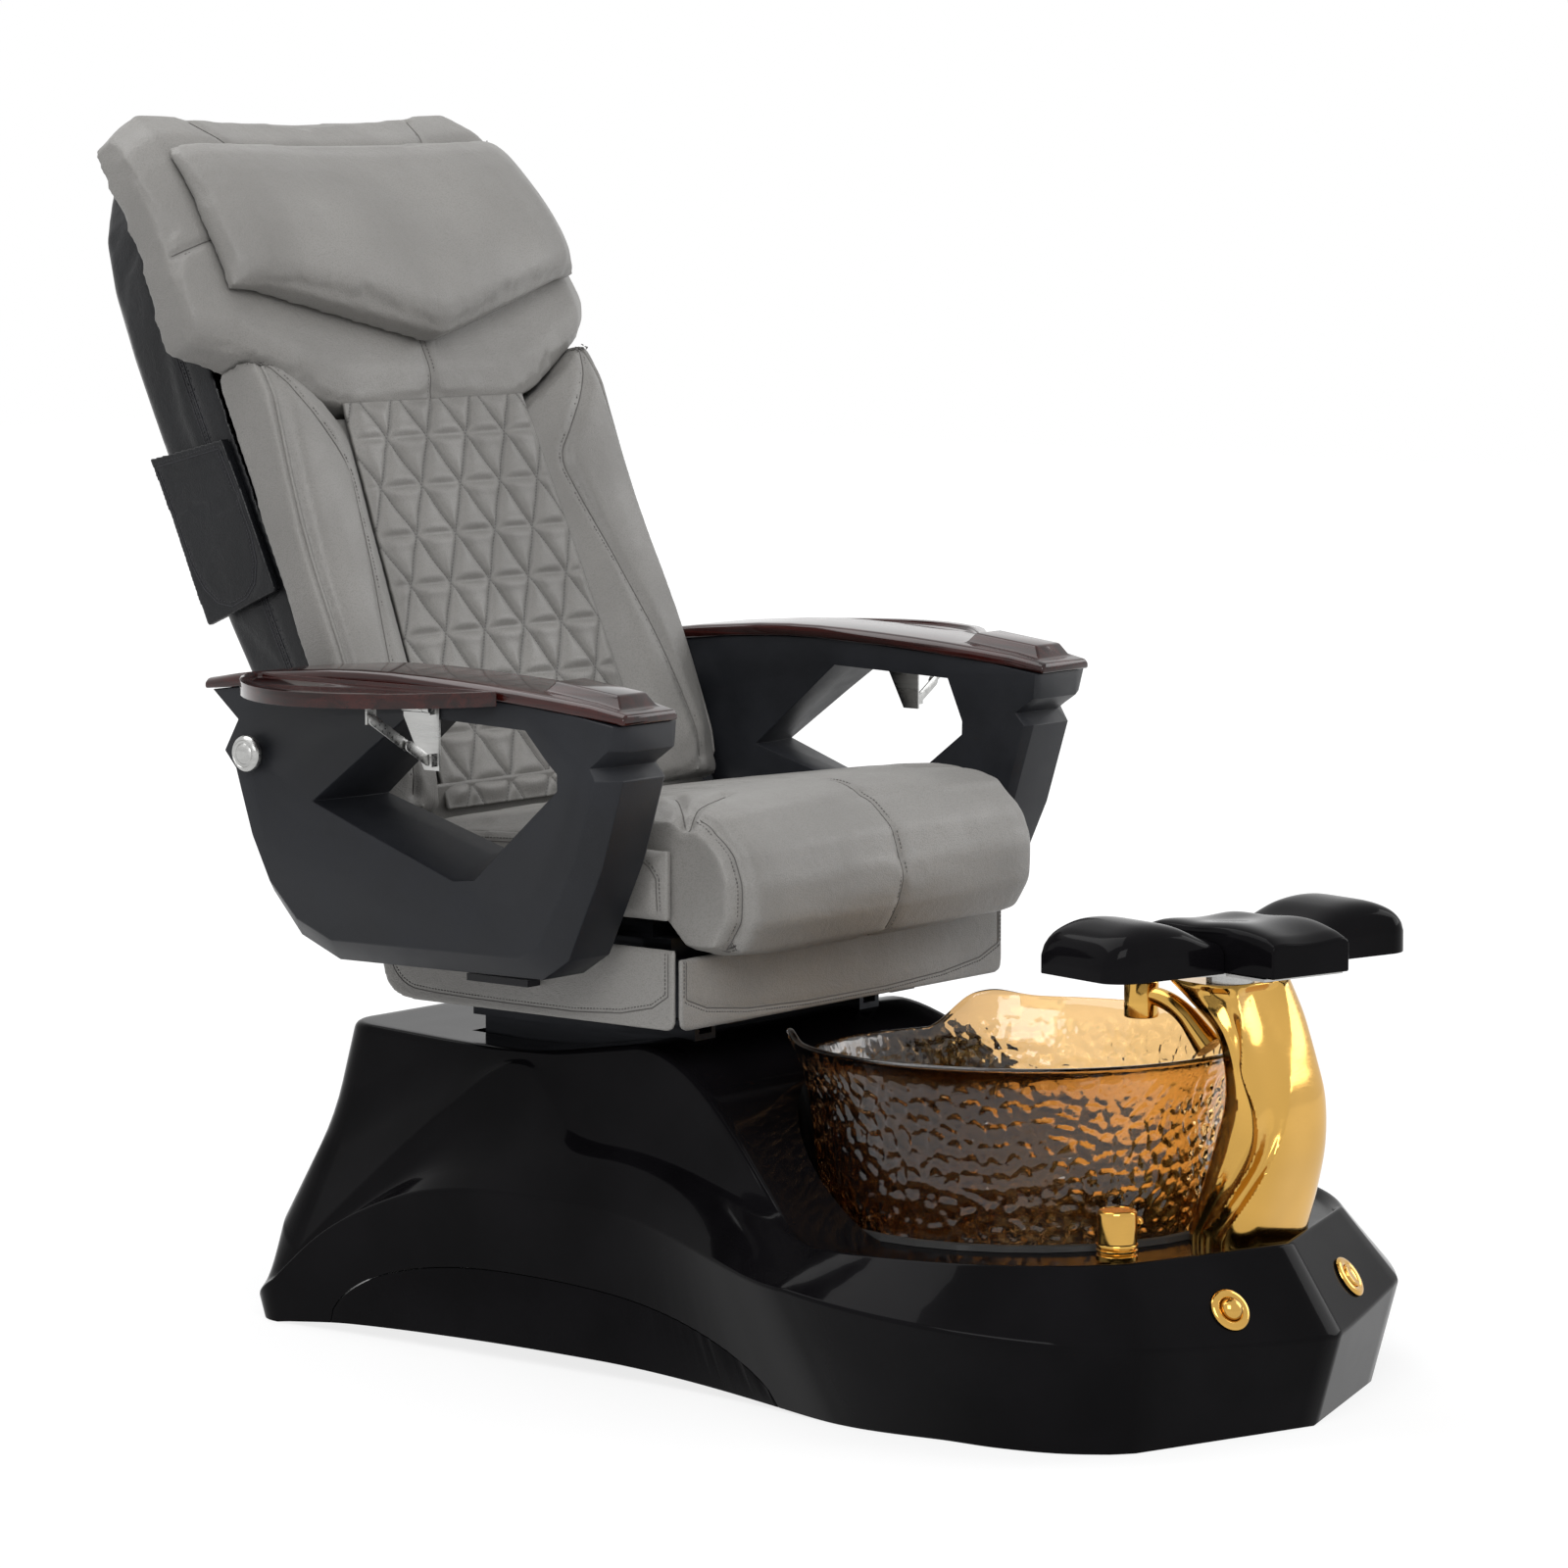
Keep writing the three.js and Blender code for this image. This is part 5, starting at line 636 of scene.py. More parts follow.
def slab(name, top, bottom):
    """Two sheets of the same grid closed round their edge, in millimetres."""
    rows, columns = top.shape[:2]
    index = np.arange(rows * columns).reshape(rows, columns)
    rim = np.concatenate([index[0, :-1], index[:-1, -1], index[-1, :0:-1], index[:0:-1, 0]])
    under = rows * columns
    faces = []
    for j in range(rows - 1):
        for i in range(columns - 1):
            quad = (index[j, i], index[j, i + 1], index[j + 1, i + 1], index[j + 1, i])
            faces += [tuple(map(int, quad)), tuple(int(k) + under for k in quad[::-1])]
    faces += [(int(a), int(a) + under, int(b) + under, int(b))
              for a, b in zip(rim, np.roll(rim, -1))]
    points = planned(np.vstack([top.reshape(-1, 3), bottom.reshape(-1, 3)]))
    return facing_out(meshed(name, points.tolist(), faces))


def cut(piece, tool, operation):
    """Joins a piece with a tool by a boolean, and removes the tool."""
    modified(piece, "BOOLEAN", operation=operation, solver="MANIFOLD", object=tool)
    bpy.data.objects.remove(tool)
    return piece


def carved(piece, *tools):
    """Cuts the tools out of a piece."""
    for tool in tools:
        cut(piece, tool, "DIFFERENCE")
    return piece


def set_at(piece, matrix):
    """Moves a piece made about the drawing's origin to a place, and keeps it at the origin."""
    piece.data.transform(matrix @ Matrix.Translation((0, -SHIFT, 0)))
    return piece


def joined(name, pieces):
    """Several like pieces as one mesh."""
    bpy.ops.object.select_all(action="DESELECT")
    for piece in pieces:
        piece.select_set(True)
    bpy.context.view_layer.objects.active = pieces[0]
    if len(pieces) > 1:
        bpy.ops.object.join()
    pieces[0].name = name
    return pieces[0]


# ------------------------------------------------------------------ soft goods

FABRIC_STIFFNESS, FABRIC_BENDING, CLOTH_QUALITY = 15, 2, 4
THREAD_RADIUS, THREAD_LIFT = 0.0008, 0.0003
# The cord in a seam's crease is dark thread that paints the shade where the panels meet.
SEAM_SHADE_CORD_RADIUS, SEAM_SHADE_CORD_LIFT = 0.0007, 0.0001


def swollen(piece, cap):
    """Fills a pad under pressure; a point moves outwards only, and by no more than the cap."""
    sizes = bpy.context.scene.spa_padding
    before = coordinates(piece)
    only(piece)
    cloth = piece.modifiers.new("Cloth", "CLOTH")
    fabric = cloth.settings
    fabric.quality = CLOTH_QUALITY
    fabric.use_pressure = True
    fabric.uniform_pressure_force = sizes.pressure
    fabric.effector_weights.gravity = 0
    fabric.tension_stiffness = fabric.compression_stiffness = FABRIC_STIFFNESS
    fabric.bending_stiffness = FABRIC_BENDING
    cloth.collision_settings.use_collision = False
    cloth.point_cache.frame_start, cloth.point_cache.frame_end = 1, sizes.frames
    for step in range(1, sizes.frames + 1):
        bpy.context.scene.frame_set(step)
    graph = bpy.context.evaluated_depsgraph_get()
    after = vectors(piece.evaluated_get(graph).data.vertices, "co")
    piece.modifiers.remove(cloth)
    bpy.context.scene.frame_set(1)
    away = outward(piece)
    lift = ((after - before) * away).sum(1).clip(0, cap)
    move_to(piece, before + away * lift[:, None])
    return piece


def pad(node, name, shrink=0.0, cap=0.0, relax=6, voxel=None, finer=1):
    """A CAD cushion remeshed, smoothed and swollen; a cap of 0 leaves it as it is."""
    piece = copied(node, name)
    size = voxel or bpy.context.scene.spa_padding.voxel
    modified(piece, "REMESH", mode="VOXEL", voxel_size=size, adaptivity=0.0)
    modified(piece, "SMOOTH", factor=0.5, iterations=relax)
    if shrink:
        move_to(piece, coordinates(piece) - outward(piece) * shrink)
    if cap:
        swollen(piece, cap)
    if finer:
        modified(piece, "SUBSURF", levels=finer, render_levels=finer)
    return piece


def run_along(path):
    """How far along a path each of its points lies."""
    steps = np.linalg.norm(np.diff(path, axis=0), axis=1)
    return np.concatenate([[0], np.cumsum(steps)])


def spaced(points, step):
    """Points at an even step along a polyline rounded at its corners."""
    path = np.array([list(p) for p in points], float)
    for _ in range(2):
        inner = np.empty((len(path) * 2 - 2, 3))
        inner[0::2] = path[:-1] * 0.75 + path[1:] * 0.25
        inner[1::2] = path[:-1] * 0.25 + path[1:] * 0.75
        path = np.vstack([path[:1], inner, path[-1:]])
    reach = run_along(path)
    at = np.linspace(0, reach[-1], max(2, int(round(reach[-1] / step)) + 1))
    return np.stack([np.interp(at, reach, path[:, k]) for k in range(3)], axis=1)


def laid(piece, points, toward, step=0.004, far=0.12):
    """Drops a path onto a piece along a direction; returns places and normals."""
    tree = BVHTree.FromObject(piece, bpy.context.evaluated_depsgraph_get())
    toward = Vector(toward).normalized()
    places, normals = [], []
    for point in spaced(points, step):
        start = Vector(point) - toward * far
        hit, normal, _, _ = tree.ray_cast(start, toward, far * 2.2)
        if hit is None:
            hit, normal, _, _ = tree.find_nearest(Vector(point))
        places.append(hit)
        normals.append(normal)
    return places, normals


def grooved(piece, places, depth, width):
    """Pulls the hide in along a seam."""
    co, n = coordinates(piece), outward(piece)
    path = np.array([list(p) for p in places])
    near = np.full(len(co), 9.0)
    low, high = path.min(0) - width * 4, path.max(0) + width * 4
    inside = np.where(((co >= low) & (co <= high)).all(1))[0]
    for k in range(0, len(inside), 4000):
        part = inside[k:k + 4000]
        near[part] = np.sqrt(((co[part, None] - path[None]) ** 2).sum(2).min(1))
    move_to(piece, co - n * (depth * np.exp(-((near / width) ** 2)))[:, None])
    return piece


def tube(name, places, normals, radius, lift, sides=8):
    """A round cord laid along a path on a surface: piping, or a dark cord that paints the shade in
    the crease between two panels.
    """
    last = len(places) - 1
    grid = np.empty((last + 1, sides, 3))
    for k, (place, normal) in enumerate(zip(places, normals)):
        along = (places[min(k + 1, last)] - places[max(k - 1, 0)]).normalized()
        side = along.cross(normal).normalized()
        up = side.cross(along).normalized()
        middle = place + up * lift
        end = 0.3 if k in (0, last) else 1.0
        for i in range(sides):
            a = 2 * math.pi * i / sides
            grid[k, i] = middle + (side * math.cos(a) + up * math.sin(a)) * radius * end
    piece = from_grid(name, grid, closed_u=True)
    only(piece)
    bpy.ops.object.mode_set(mode="EDIT")
    bpy.ops.mesh.select_all(action="DESELECT")
    bpy.ops.mesh.select_mode(type="EDGE")
    bpy.ops.mesh.select_non_manifold()
    bpy.ops.mesh.edge_face_add()
    bpy.ops.object.mode_set(mode="OBJECT")
    return facing_out(piece)


def stitches(name, places, normals, offset):
    """A row of short threads beside a path, each a small five-sided bead."""
    pitch, sides = bpy.context.scene.spa_padding.stitch, 5
    path = np.array([list(p) for p in places])
    reach = run_along(path)
    facing = np.array([list(n) for n in normals])
    vertices, faces = [], []
    for k in range(int(reach[-1] / pitch)):
        rings = []
        for share, swell in ((0.14, 0.25), (0.3, 1), (0.7, 1), (0.86, 0.25)):
            span = (k + share) * pitch
            here = np.array([np.interp(span, reach, path[:, c]) for c in range(3)])
            next_to = np.array([np.interp(span + 0.001, reach, path[:, c]) for c in range(3)])
            n = Vector([np.interp(span, reach, facing[:, c]) for c in range(3)]).normalized()
            along = Vector(next_to - here)
            if along.length < 1e-7:
                along = Vector(path[-1] - path[-2])
            side = along.cross(n).normalized()
            middle = Vector(here) + side * offset + n * THREAD_LIFT
            rings.append(len(vertices))
            for i in range(sides):
                a = 2 * math.pi * i / sides
                spoke = side * math.cos(a) + n * math.sin(a)
                vertices.append(tuple(middle + spoke * THREAD_RADIUS * swell))
        for a, b in zip(rings, rings[1:]):
            faces += [(a + i, a + (i + 1) % sides, b + (i + 1) % sides, b + i)
                      for i in range(sides)]
        faces += [tuple(rings[0] + i for i in reversed(range(sides))),
                  tuple(rings[-1] + i for i in range(sides))]
    return meshed(name, vertices, faces)


def seam(piece, name, line, toward, depth=0.003, width=0.006, rows=(0.006, -0.006), step=0.004):
    """A sewn seam: a valley, a dark cord that paints the shade in the crease where the panels meet,
    and rows of thread beside it.
    """
    places, _ = laid(piece, line, toward, step)
    grooved(piece, places, depth, width)
    places, normals = laid(piece, line, toward, step)
    # Painted shade: a dark cord in the thread's colour lies in the crease where the panels meet.
    shade_cord = tube(name, places, normals, SEAM_SHADE_CORD_RADIUS, SEAM_SHADE_CORD_LIFT, 6)
    return [shade_cord] + [stitches(name, places, normals, offset) for offset in rows]


def hem(piece, name, line, toward, depth, offset=0.0):
    """A shallow seam with one row of thread, as one mesh."""
    return joined(name, seam(piece, name, line, toward, depth, 0.005, (offset + 0.004,), 0.003))


# ------------------------------------------------------------------ operators

LAMPS = (("key lamp", (-3.4, -2.6, 3.4), 2.6, "key"),
         ("fill lamp", (3.6, -2.2, 2.2), 2.4, "fill"),
         ("top lamp", (-0.6, 1.6, 4.2), 3.0, "top"))
LAMPS_AIM = Vector((0, -0.1, 0.5))


class SPA_OT_stage(Operator):
    """Sets the camera, the pale floor and the soft studio light"""

    bl_idname = "spa.stage"
    bl_label = "Stage"

    def execute(self, context):
        scene, sizes = context.scene, context.scene.spa_stage
        scene.view_settings.view_transform = "Standard"
        turn, rise = sizes.azimuth, sizes.elevation
        away = Vector((math.sin(turn) * math.cos(rise), -math.cos(turn) * math.cos(rise),
                       math.sin(rise)))
        camera = linked("camera", bpy.data.cameras.new("camera"))
        camera.location = Vector(sizes.aim) + away * sizes.distance
        camera.rotation_euler = (-away).to_track_quat("-Z", "Y").to_euler()
        camera.data.lens = sizes.lens
        camera.data.clip_end = 60
        scene.camera = camera

        self.floor(context)
        studio = Finish("studio", "worlds")
        even = studio.node("ShaderNodeBackground", None,
                           {"Color": (0.97, 0.985, 1.0, 1), "Strength": sizes.sky})
        white = studio.node("ShaderNodeBackground", None, {"Color": (1, 1, 1, 1)})
        shown = studio.node("ShaderNodeMixShader", None,
                            {0: studio.shows_white(), 1: even, 2: white})
        scene.world = studio.end(shown, "World")

        for name, place, size, setting in LAMPS:
            lamp = bpy.data.lights.new(name, "AREA")
            lamp.size, lamp.energy = size, getattr(sizes, setting)
            holder = linked(name, lamp)
            holder.location = place
            holder.rotation_euler = (LAMPS_AIM - Vector(place)).to_track_quat("-Z", "Y").to_euler()
        return {"FINISHED"}

    def floor(self, context):
        """A pale floor that fades to white away from the chair and keeps its shadow."""
        bpy.ops.object.select_all(action="DESELECT")
        bpy.ops.mesh.primitive_grid_add(x_subdivisions=8, y_subdivisions=8, size=30,
                                        location=(0, 0, -0.0005))
        floor = context.active_object
        floor.name = "floor"
        pale = Finish("pale floor")
        scuff = pale.noise(3, 3.0).ramp(0.3, 0.7)
        shade = pale.blend(scuff, (0.87, 0.87, 0.87, 1), (0.89, 0.89, 0.89, 1))
        matt = pale.node("ShaderNodeBsdfDiffuse", None, {"Color": shade})
        glow = pale.node("ShaderNodeEmission", None, {"Color": (1, 1, 1, 1), "Strength": 1.13})
        away = pale.node("ShaderNodeVectorMath", {"operation": "LENGTH"}, {0: pale.place()}, out=1)
        share = pale.shows_white() * away.ramp(1.2, 3.0, 0.72, 1.0)
        mixed = pale.node("ShaderNodeMixShader", None, {0: share, 1: matt, 2: glow})
        floor.data.materials.append(pale.end(mixed))


NODE_FINISH = {
    "gloss_black": "gloss", "glass": "glass", "gold": "gold", "grey_leather": "leather",
    "black_leather": "dark_leather", "charcoal": "charcoal", "mahogany": "wood", "steel": "steel",
    "dark_steel": "dark_steel", "rubber": "rubber", "plastic": "plastic",
}


class SPA_OT_finishes(Operator):
    """Gives every CAD node the finish of its slot"""

    bl_idname = "spa.finishes"
    bl_label = "Finishes"

    def execute(self, context):
        slots = {part["node"]: part["material_slot"] for part in frame["record"]["subparts"]}
        for name, node in NODES.items():
            material = finishes()[NODE_FINISH[slots[name]]]
            for slot in node.material_slots:
                slot.link = "OBJECT"
                slot.material = material
        return {"FINISHED"}


SEAT_MIDDLE_SEAM = [(-0.100, 0.648), (-0.150, 0.640), (-0.188, 0.620), (-0.208, 0.590),
                    (-0.214, 0.550), (-0.208, 0.512), (-0.195, 0.486)]
SEAT_END_SEAM = [(-0.130, 0.628), (-0.172, 0.618), (-0.196, 0.586), (-0.203, 0.550),
                 (-0.198, 0.512), (-0.185, 0.484)]
SEAT_END_X = 0.262
SEAT_TUCKS = ([(0.273, -0.128, 0.60), (0.248, -0.100, 0.63), (0.205, -0.058, 0.645)],
              [(0.273, -0.132, 0.60), (0.235, -0.122, 0.63), (0.170, -0.101, 0.646)])
SEAT_QUILT_ACROSS, SEAT_QUILT_ALONG, SEAT_QUILT_RISE = 0.066, 0.058, 0.0022


class SPA_OT_seat(Operator):
    """Makes the seat cushion with its front roll, seams and faint quilting"""

    bl_idname = "spa.seat"
    bl_label = "Seat cushion"

    def execute(self, context):
        piece = pad("seat_cushion", "seat_cushion_leather", 0.0025, 0.005)
        roll, down = (0, 0.9, -0.25), (0, 0, -1)
        line = [(0, y + SHIFT, z) for y, z in SEAT_MIDDLE_SEAM]
        threads = seam(piece, "seat_stitches", line, roll, 0.002, 0.004)
        for _, sign in SIDES:
            line = [(sign * SEAT_END_X, y + SHIFT, z) for y, z in SEAT_END_SEAM]
            threads += seam(piece, "seat_stitches_end", line, roll, 0.004, 0.007, (sign * -0.006,))
            for tuck in SEAT_TUCKS:
                line = [(sign * x, y + SHIFT, z) for x, y, z in tuck]
                threads += seam(piece, "seat_tucks", line, down, 0.0055, 0.008, ())
        self.quilt(piece)
        dressed(piece, "seat", "leather", "grey_leather", "seat_cushion")
        dressed(joined("seat_stitches", threads), "seat", "thread", "grey_leather")
        return {"FINISHED"}

    def quilt(self, piece):
        """Sinks the top between the quilting's lines, least at its edges."""
        co, n = coordinates(piece), outward(piece)
        along = co[:, 1] - SHIFT
        u, w = co[:, 0] / SEAT_QUILT_ACROSS, along / SEAT_QUILT_ALONG
        lines = np.minimum(np.abs((u + w / 2) % 1 - 0.5), np.abs((u - w / 2) % 1 - 0.5))
        field = (np.clip((n[:, 2] - 0.7) / 0.2, 0, 1)
                 * np.clip((0.225 - np.abs(co[:, 0])) / 0.03, 0, 1)
                 * np.clip((along + 0.06) / 0.04, 0, 1))
        rise = SEAT_QUILT_RISE * (1 - np.exp(-((lines / 0.12) ** 2))) * field
        move_to(piece, co + n * rise[:, None] - n * (SEAT_QUILT_RISE * field)[:, None])


BOLSTER_SEAM = [(0.292, 0.590), (0.250, 0.513), (0.205, 0.455), (0.186, 0.428), (0.193, 0.387),
                (0.212, 0.300), (0.237, 0.200), (0.250, 0.110), (0.256, 0.036)]
BOLSTER_PIPING = [(0.284, 0.56), (0.290, 0.45), (0.297, 0.3), (0.300, 0.15), (0.299, 0.04)]
QUILT_BOTTOM, QUILT_TOP = 0.018, 0.512
QUILT_HALF_BOTTOM, QUILT_HALF_TOP = 0.185, 0.157
QUILT_THICKNESS = 0.005


class SPA_OT_back(Operator):
    """Makes the back pad with its bolster seams and the quilted middle panel"""

    bl_idname = "spa.back"
    bl_label = "Back pad"

    def execute(self, context):
        sizes = context.scene.spa_padding
        piece = pad("back_pad", "back_pad_leather", 0.002, 0.004)
        threads, cords = [], []
        for _, sign in SIDES:
            line = [on_back(sign * x, -0.01, up) for x, up in BOLSTER_SEAM]
            threads += seam(piece, "bolster_stitches", line, BACK_DEEP, 0.005, 0.008,
                            (0.005, -0.005))
            edge = [on_back(sign * x, 0.004, up) for x, up in BOLSTER_PIPING]
            places, _ = laid(piece, edge, BACK_DEEP)
            grooved(piece, places, 0.003, 0.006)
            places, normals = laid(piece, edge, BACK_DEEP)
            cords.append(tube("pad_piping", places, normals, sizes.piping, 0.0006))
        dressed(piece, "back", "leather", "grey_leather", "back_pad")
        dressed(joined("back_stitches", threads), "back", "thread", "grey_leather")
        dressed(joined("back_piping", cords), "back", "leather", "grey_leather")
        self.quilt(sizes)
        return {"FINISHED"}

    def quilt(self, sizes):
        """The middle panel: rows of sewn triangles between soft tucks."""
        rows, columns = 236, 170
        up = np.linspace(QUILT_BOTTOM, QUILT_TOP, rows)
        half = (QUILT_HALF_BOTTOM + (QUILT_HALF_TOP - QUILT_HALF_BOTTOM) * (up - QUILT_BOTTOM)
                / (QUILT_TOP - QUILT_BOTTOM))
        s = np.linspace(-1, 1, columns)
        x = s[None] * half[:, None]
        v = np.repeat(up[:, None], columns, 1)
        u, w = x / sizes.quilt_across, (v - 0.045) / sizes.quilt_up
        lean, counter = (u + w / 2) % 1, (u - w / 2) % 1
        far = np.minimum(np.minimum(lean, 1 - lean), np.minimum(counter, 1 - counter))
        far = far * sizes.quilt_across * QUILT_SLANT
        tuck = np.abs((w + 0.5) % 1 - 0.5) * sizes.quilt_up
        puff = 1 - np.exp(-((far / 0.0065) ** 1.3))
        fold = (1 - 0.62 * np.exp(-((tuck / 0.0042) ** 2))
                + 0.25 * np.exp(-(((tuck - 0.011) / 0.006) ** 2)))
        edge = np.minimum((1 - np.abs(s))[None] * half[:, None],
                          np.minimum(up - QUILT_BOTTOM, QUILT_TOP - up)[:, None])
        rim = 1 - np.exp(-((edge / 0.009) ** 2))
        wave = 0.0011 * np.sin(x * 61 + v * 23) * np.sin(v * 71 - x * 17)
        rise = (sizes.quilt_puff * puff * fold + wave) * rim
        sunk = 0.001 * mix(36, 10, (up * 1000 - 16) / 487) - 0.0045
        piece = from_grid("back_quilt_leather", np.array([
            [on_back(x[j, i], sunk[j] - rise[j, i], up[j]) for i in range(columns)]
            for j in range(rows)]))
        loops = np.empty(len(piece.data.loops), np.int32)
        piece.data.loops.foreach_get("vertex_index", loops)
        uv = np.stack([u.ravel()[loops], w.ravel()[loops]], axis=1)
        layer = piece.data.uv_layers.new(name="quilt")
        layer.data.foreach_set("uv", uv.astype(np.float32).ravel())
        facing_out(piece)
        if piece.data.polygons[0].normal.dot(BACK_DEEP) > 0:
            edited(piece, bpy.ops.mesh.flip_normals)
        modified(piece, "SOLIDIFY", thickness=QUILT_THICKNESS, offset=-1.0)
        dressed(piece, "back", "quilted", "grey_leather", "back_quilt")


HEAD_MIDDLE_SEAM = (0.507, 0.55, 0.62, 0.7)
HEAD_SIDE_SEAMS = (((0.330, 0.712), (0.28, 0.722), (0.2, 0.735)),
                   ((0.19, 0.895), (0.175, 0.86), (0.15, 0.82)))


class SPA_OT_head(Operator):
    """Makes the head section and the pillow"""

    bl_idname = "spa.head"
    bl_label = "Head section and pillow"

    def execute(self, context):
        head = pad("head_section", "head_section_leather", 0.002, 0.0035)
        line = [on_back(0, -0.01, up) for up in HEAD_MIDDLE_SEAM]
        threads = seam(head, "head_stitches", line, BACK_DEEP)
        for _, sign in SIDES:
            for points in HEAD_SIDE_SEAMS:
                line = [on_back(sign * x, 0.0, up) for x, up in points]
                threads += seam(head, "head_stitches", line, BACK_DEEP, 0.0035, 0.006, (0.005,))
        dressed(head, "back", "leather", "grey_leather", "head_section")
        dressed(joined("head_stitches", threads), "back", "thread", "grey_leather")

        pillow = pad("pillow", "pillow_leather", 0.002, 0.0045)
        dressed(pillow, "back", "leather", "grey_leather", "pillow")
        return {"FINISHED"}


SEAT_SIDE_HEM = ((-106, 0.53), (-104, 0.588), (0, 0.594), (150, 0.590), (258, 0.581))
SKIRT_HEM = ((-123, 0.486), (-123, 0.409), (235, 0.409), (272, 0.42), (289, 0.45), (289, 0.486))
FRONT_HEM = ((-0.286, 0.478), (-0.286, 0.409), (0.286, 0.409), (0.286, 0.478))
SKIRT_MESH = {"relax": 2, "voxel": 0.0026, "finer": 0}
FLAP_HALF, FLAP_TOP, FLAP_DROP, FLAP_Y = 0.286, 0.632, 0.09, 0.303
SHELL_SIDE_X, SHELL_REAR_X, POCKET_X = 0.3, 0.16, -0.32


class SPA_OT_covers(Operator):
    """Makes the seat's side panels and skirts, the black back shell's hide and its pocket"""

    bl_idname = "spa.covers"
    bl_label = "Side panels, skirts and back cover"

    def execute(self, context):
        def hemmed(piece, name, line, toward, depth):
            dressed(hem(piece, name, line, toward, depth), "seat", "thread", "grey_leather")

        for side, sign in SIDES:
            inward = (-sign, 0, 0)
            panel = pad("seat_side_" + side, "seat_side_leather_" + side, 0.0005, 0.005,
                        relax=4, voxel=0.004, finer=0)
            line = [(sign * 0.3, y * 0.001 + SHIFT, z) for y, z in SEAT_SIDE_HEM]
            hemmed(panel, "seat_side_stitches_" + side, line, inward, 0.0015)
            dressed(panel, "seat", "leather", "grey_leather", "seat_side_" + side)
            skirt = pad("skirt_" + side, "skirt_leather_" + side, **SKIRT_MESH)
            line = [(sign * 0.305, y * 0.001 + SHIFT, z) for y, z in SKIRT_HEM]
            hemmed(skirt, "skirt_stitches_" + side, line, inward, 0.0007)
            dressed(skirt, "seat", "leather", "grey_leather", "skirt_" + side)
        skirt = pad("skirt_front", "skirt_leather_front", **SKIRT_MESH)
        line = [(x, -0.145 + SHIFT, z) for x, z in FRONT_HEM]
        hemmed(skirt, "skirt_stitches_front", line, (0, 1, 0), 0.0007)
        dressed(skirt, "seat", "leather", "grey_leather", "skirt_front")
        self.lumbar_flap()
        self.back_cover()
        return {"FINISHED"}

    def lumbar_flap(self):
        """The hide that hangs below the back pad."""
        x, v = np.meshgrid(np.linspace(-FLAP_HALF, FLAP_HALF, 90), np.linspace(0, 1, 24))
        y = FLAP_Y + SHIFT + 0.004 * np.sin(v * np.pi) + 0.0012 * np.sin(x * 37 + v * 3) * v
        flap = from_grid("lumbar_flap", np.stack([x, y, FLAP_TOP - FLAP_DROP * v], 2))
        modified(flap, "SOLIDIFY", thickness=0.003, offset=0.0)
        dressed(facing_out(flap), "back", "leather", "grey_leather")

    def back_cover(self):
        shell = pad("back_shell", "back_shell_leather", relax=5, voxel=0.0058, finer=0)
        threads = []

        def sew(piece, name, line, toward, depth, offset=0.0):
            line = [on_back(*point) for point in line]
            threads.append(hem(piece, name, line, toward, depth, offset))

        for _, sign in SIDES:
            for deep in (0.118, 0.126):
                line = [(sign * SHELL_SIDE_X, deep, up) for up in np.linspace(0.12, 0.82, 8)]
                sew(shell, "shell_stitches", line, (-sign, 0, 0), 0.0015)
            line = [(sign * SHELL_REAR_X, 0.26, up) for up in np.linspace(0.14, 0.82, 8)]
            sew(shell, "shell_stitches", line, -BACK_DEEP, 0.003, sign * 0.006)
        dressed(shell, "back", "dark_leather", "black_leather", "back_shell")

        pocket = pad("side_pocket", "side_pocket_leather", relax=2, voxel=0.0024, finer=0)
        rel = coordinates(pocket) - np.array(BACK_ORIGIN)
        deep, up = rel @ np.array(BACK_DEEP), rel @ np.array(BACK_UP)
        front, rear = deep.min() + 0.008, deep.max() - 0.008
        low, high = up.min() + 0.009, up.max() - 0.034
        outline = ((front, high), (front, low), (rear, low), (rear, high + 0.018))
        opening = ((front, high + 0.002), (rear, high + 0.022))
        for line, depth in ((outline, 0.0008), (opening, 0.0012)):
            sew(pocket, "pocket_stitches", [(POCKET_X, *point) for point in line], (1, 0, 0), depth)
        dressed(pocket, "back", "dark_leather", "black_leather", "side_pocket")
        dressed(joined("back_shell_stitches", threads), "back", "dark_thread", "black_leather")


KNOB_FACE = [(6.4, -34), (6.4, 0), (12.6, 0.2), (13, 1), (13, 5), (19.6, 6.6), (20.5, 7.6),
             (20.5, 11.4), (19.8, 12.8), (17, 16), (15.6, 16.6), (14.8, 15.6), (12, 15.2),
             (9, 17.9), (4, 18.9), (1, 19)]
KNOB_PLACE = (0.4304, 0.370, 0.684)


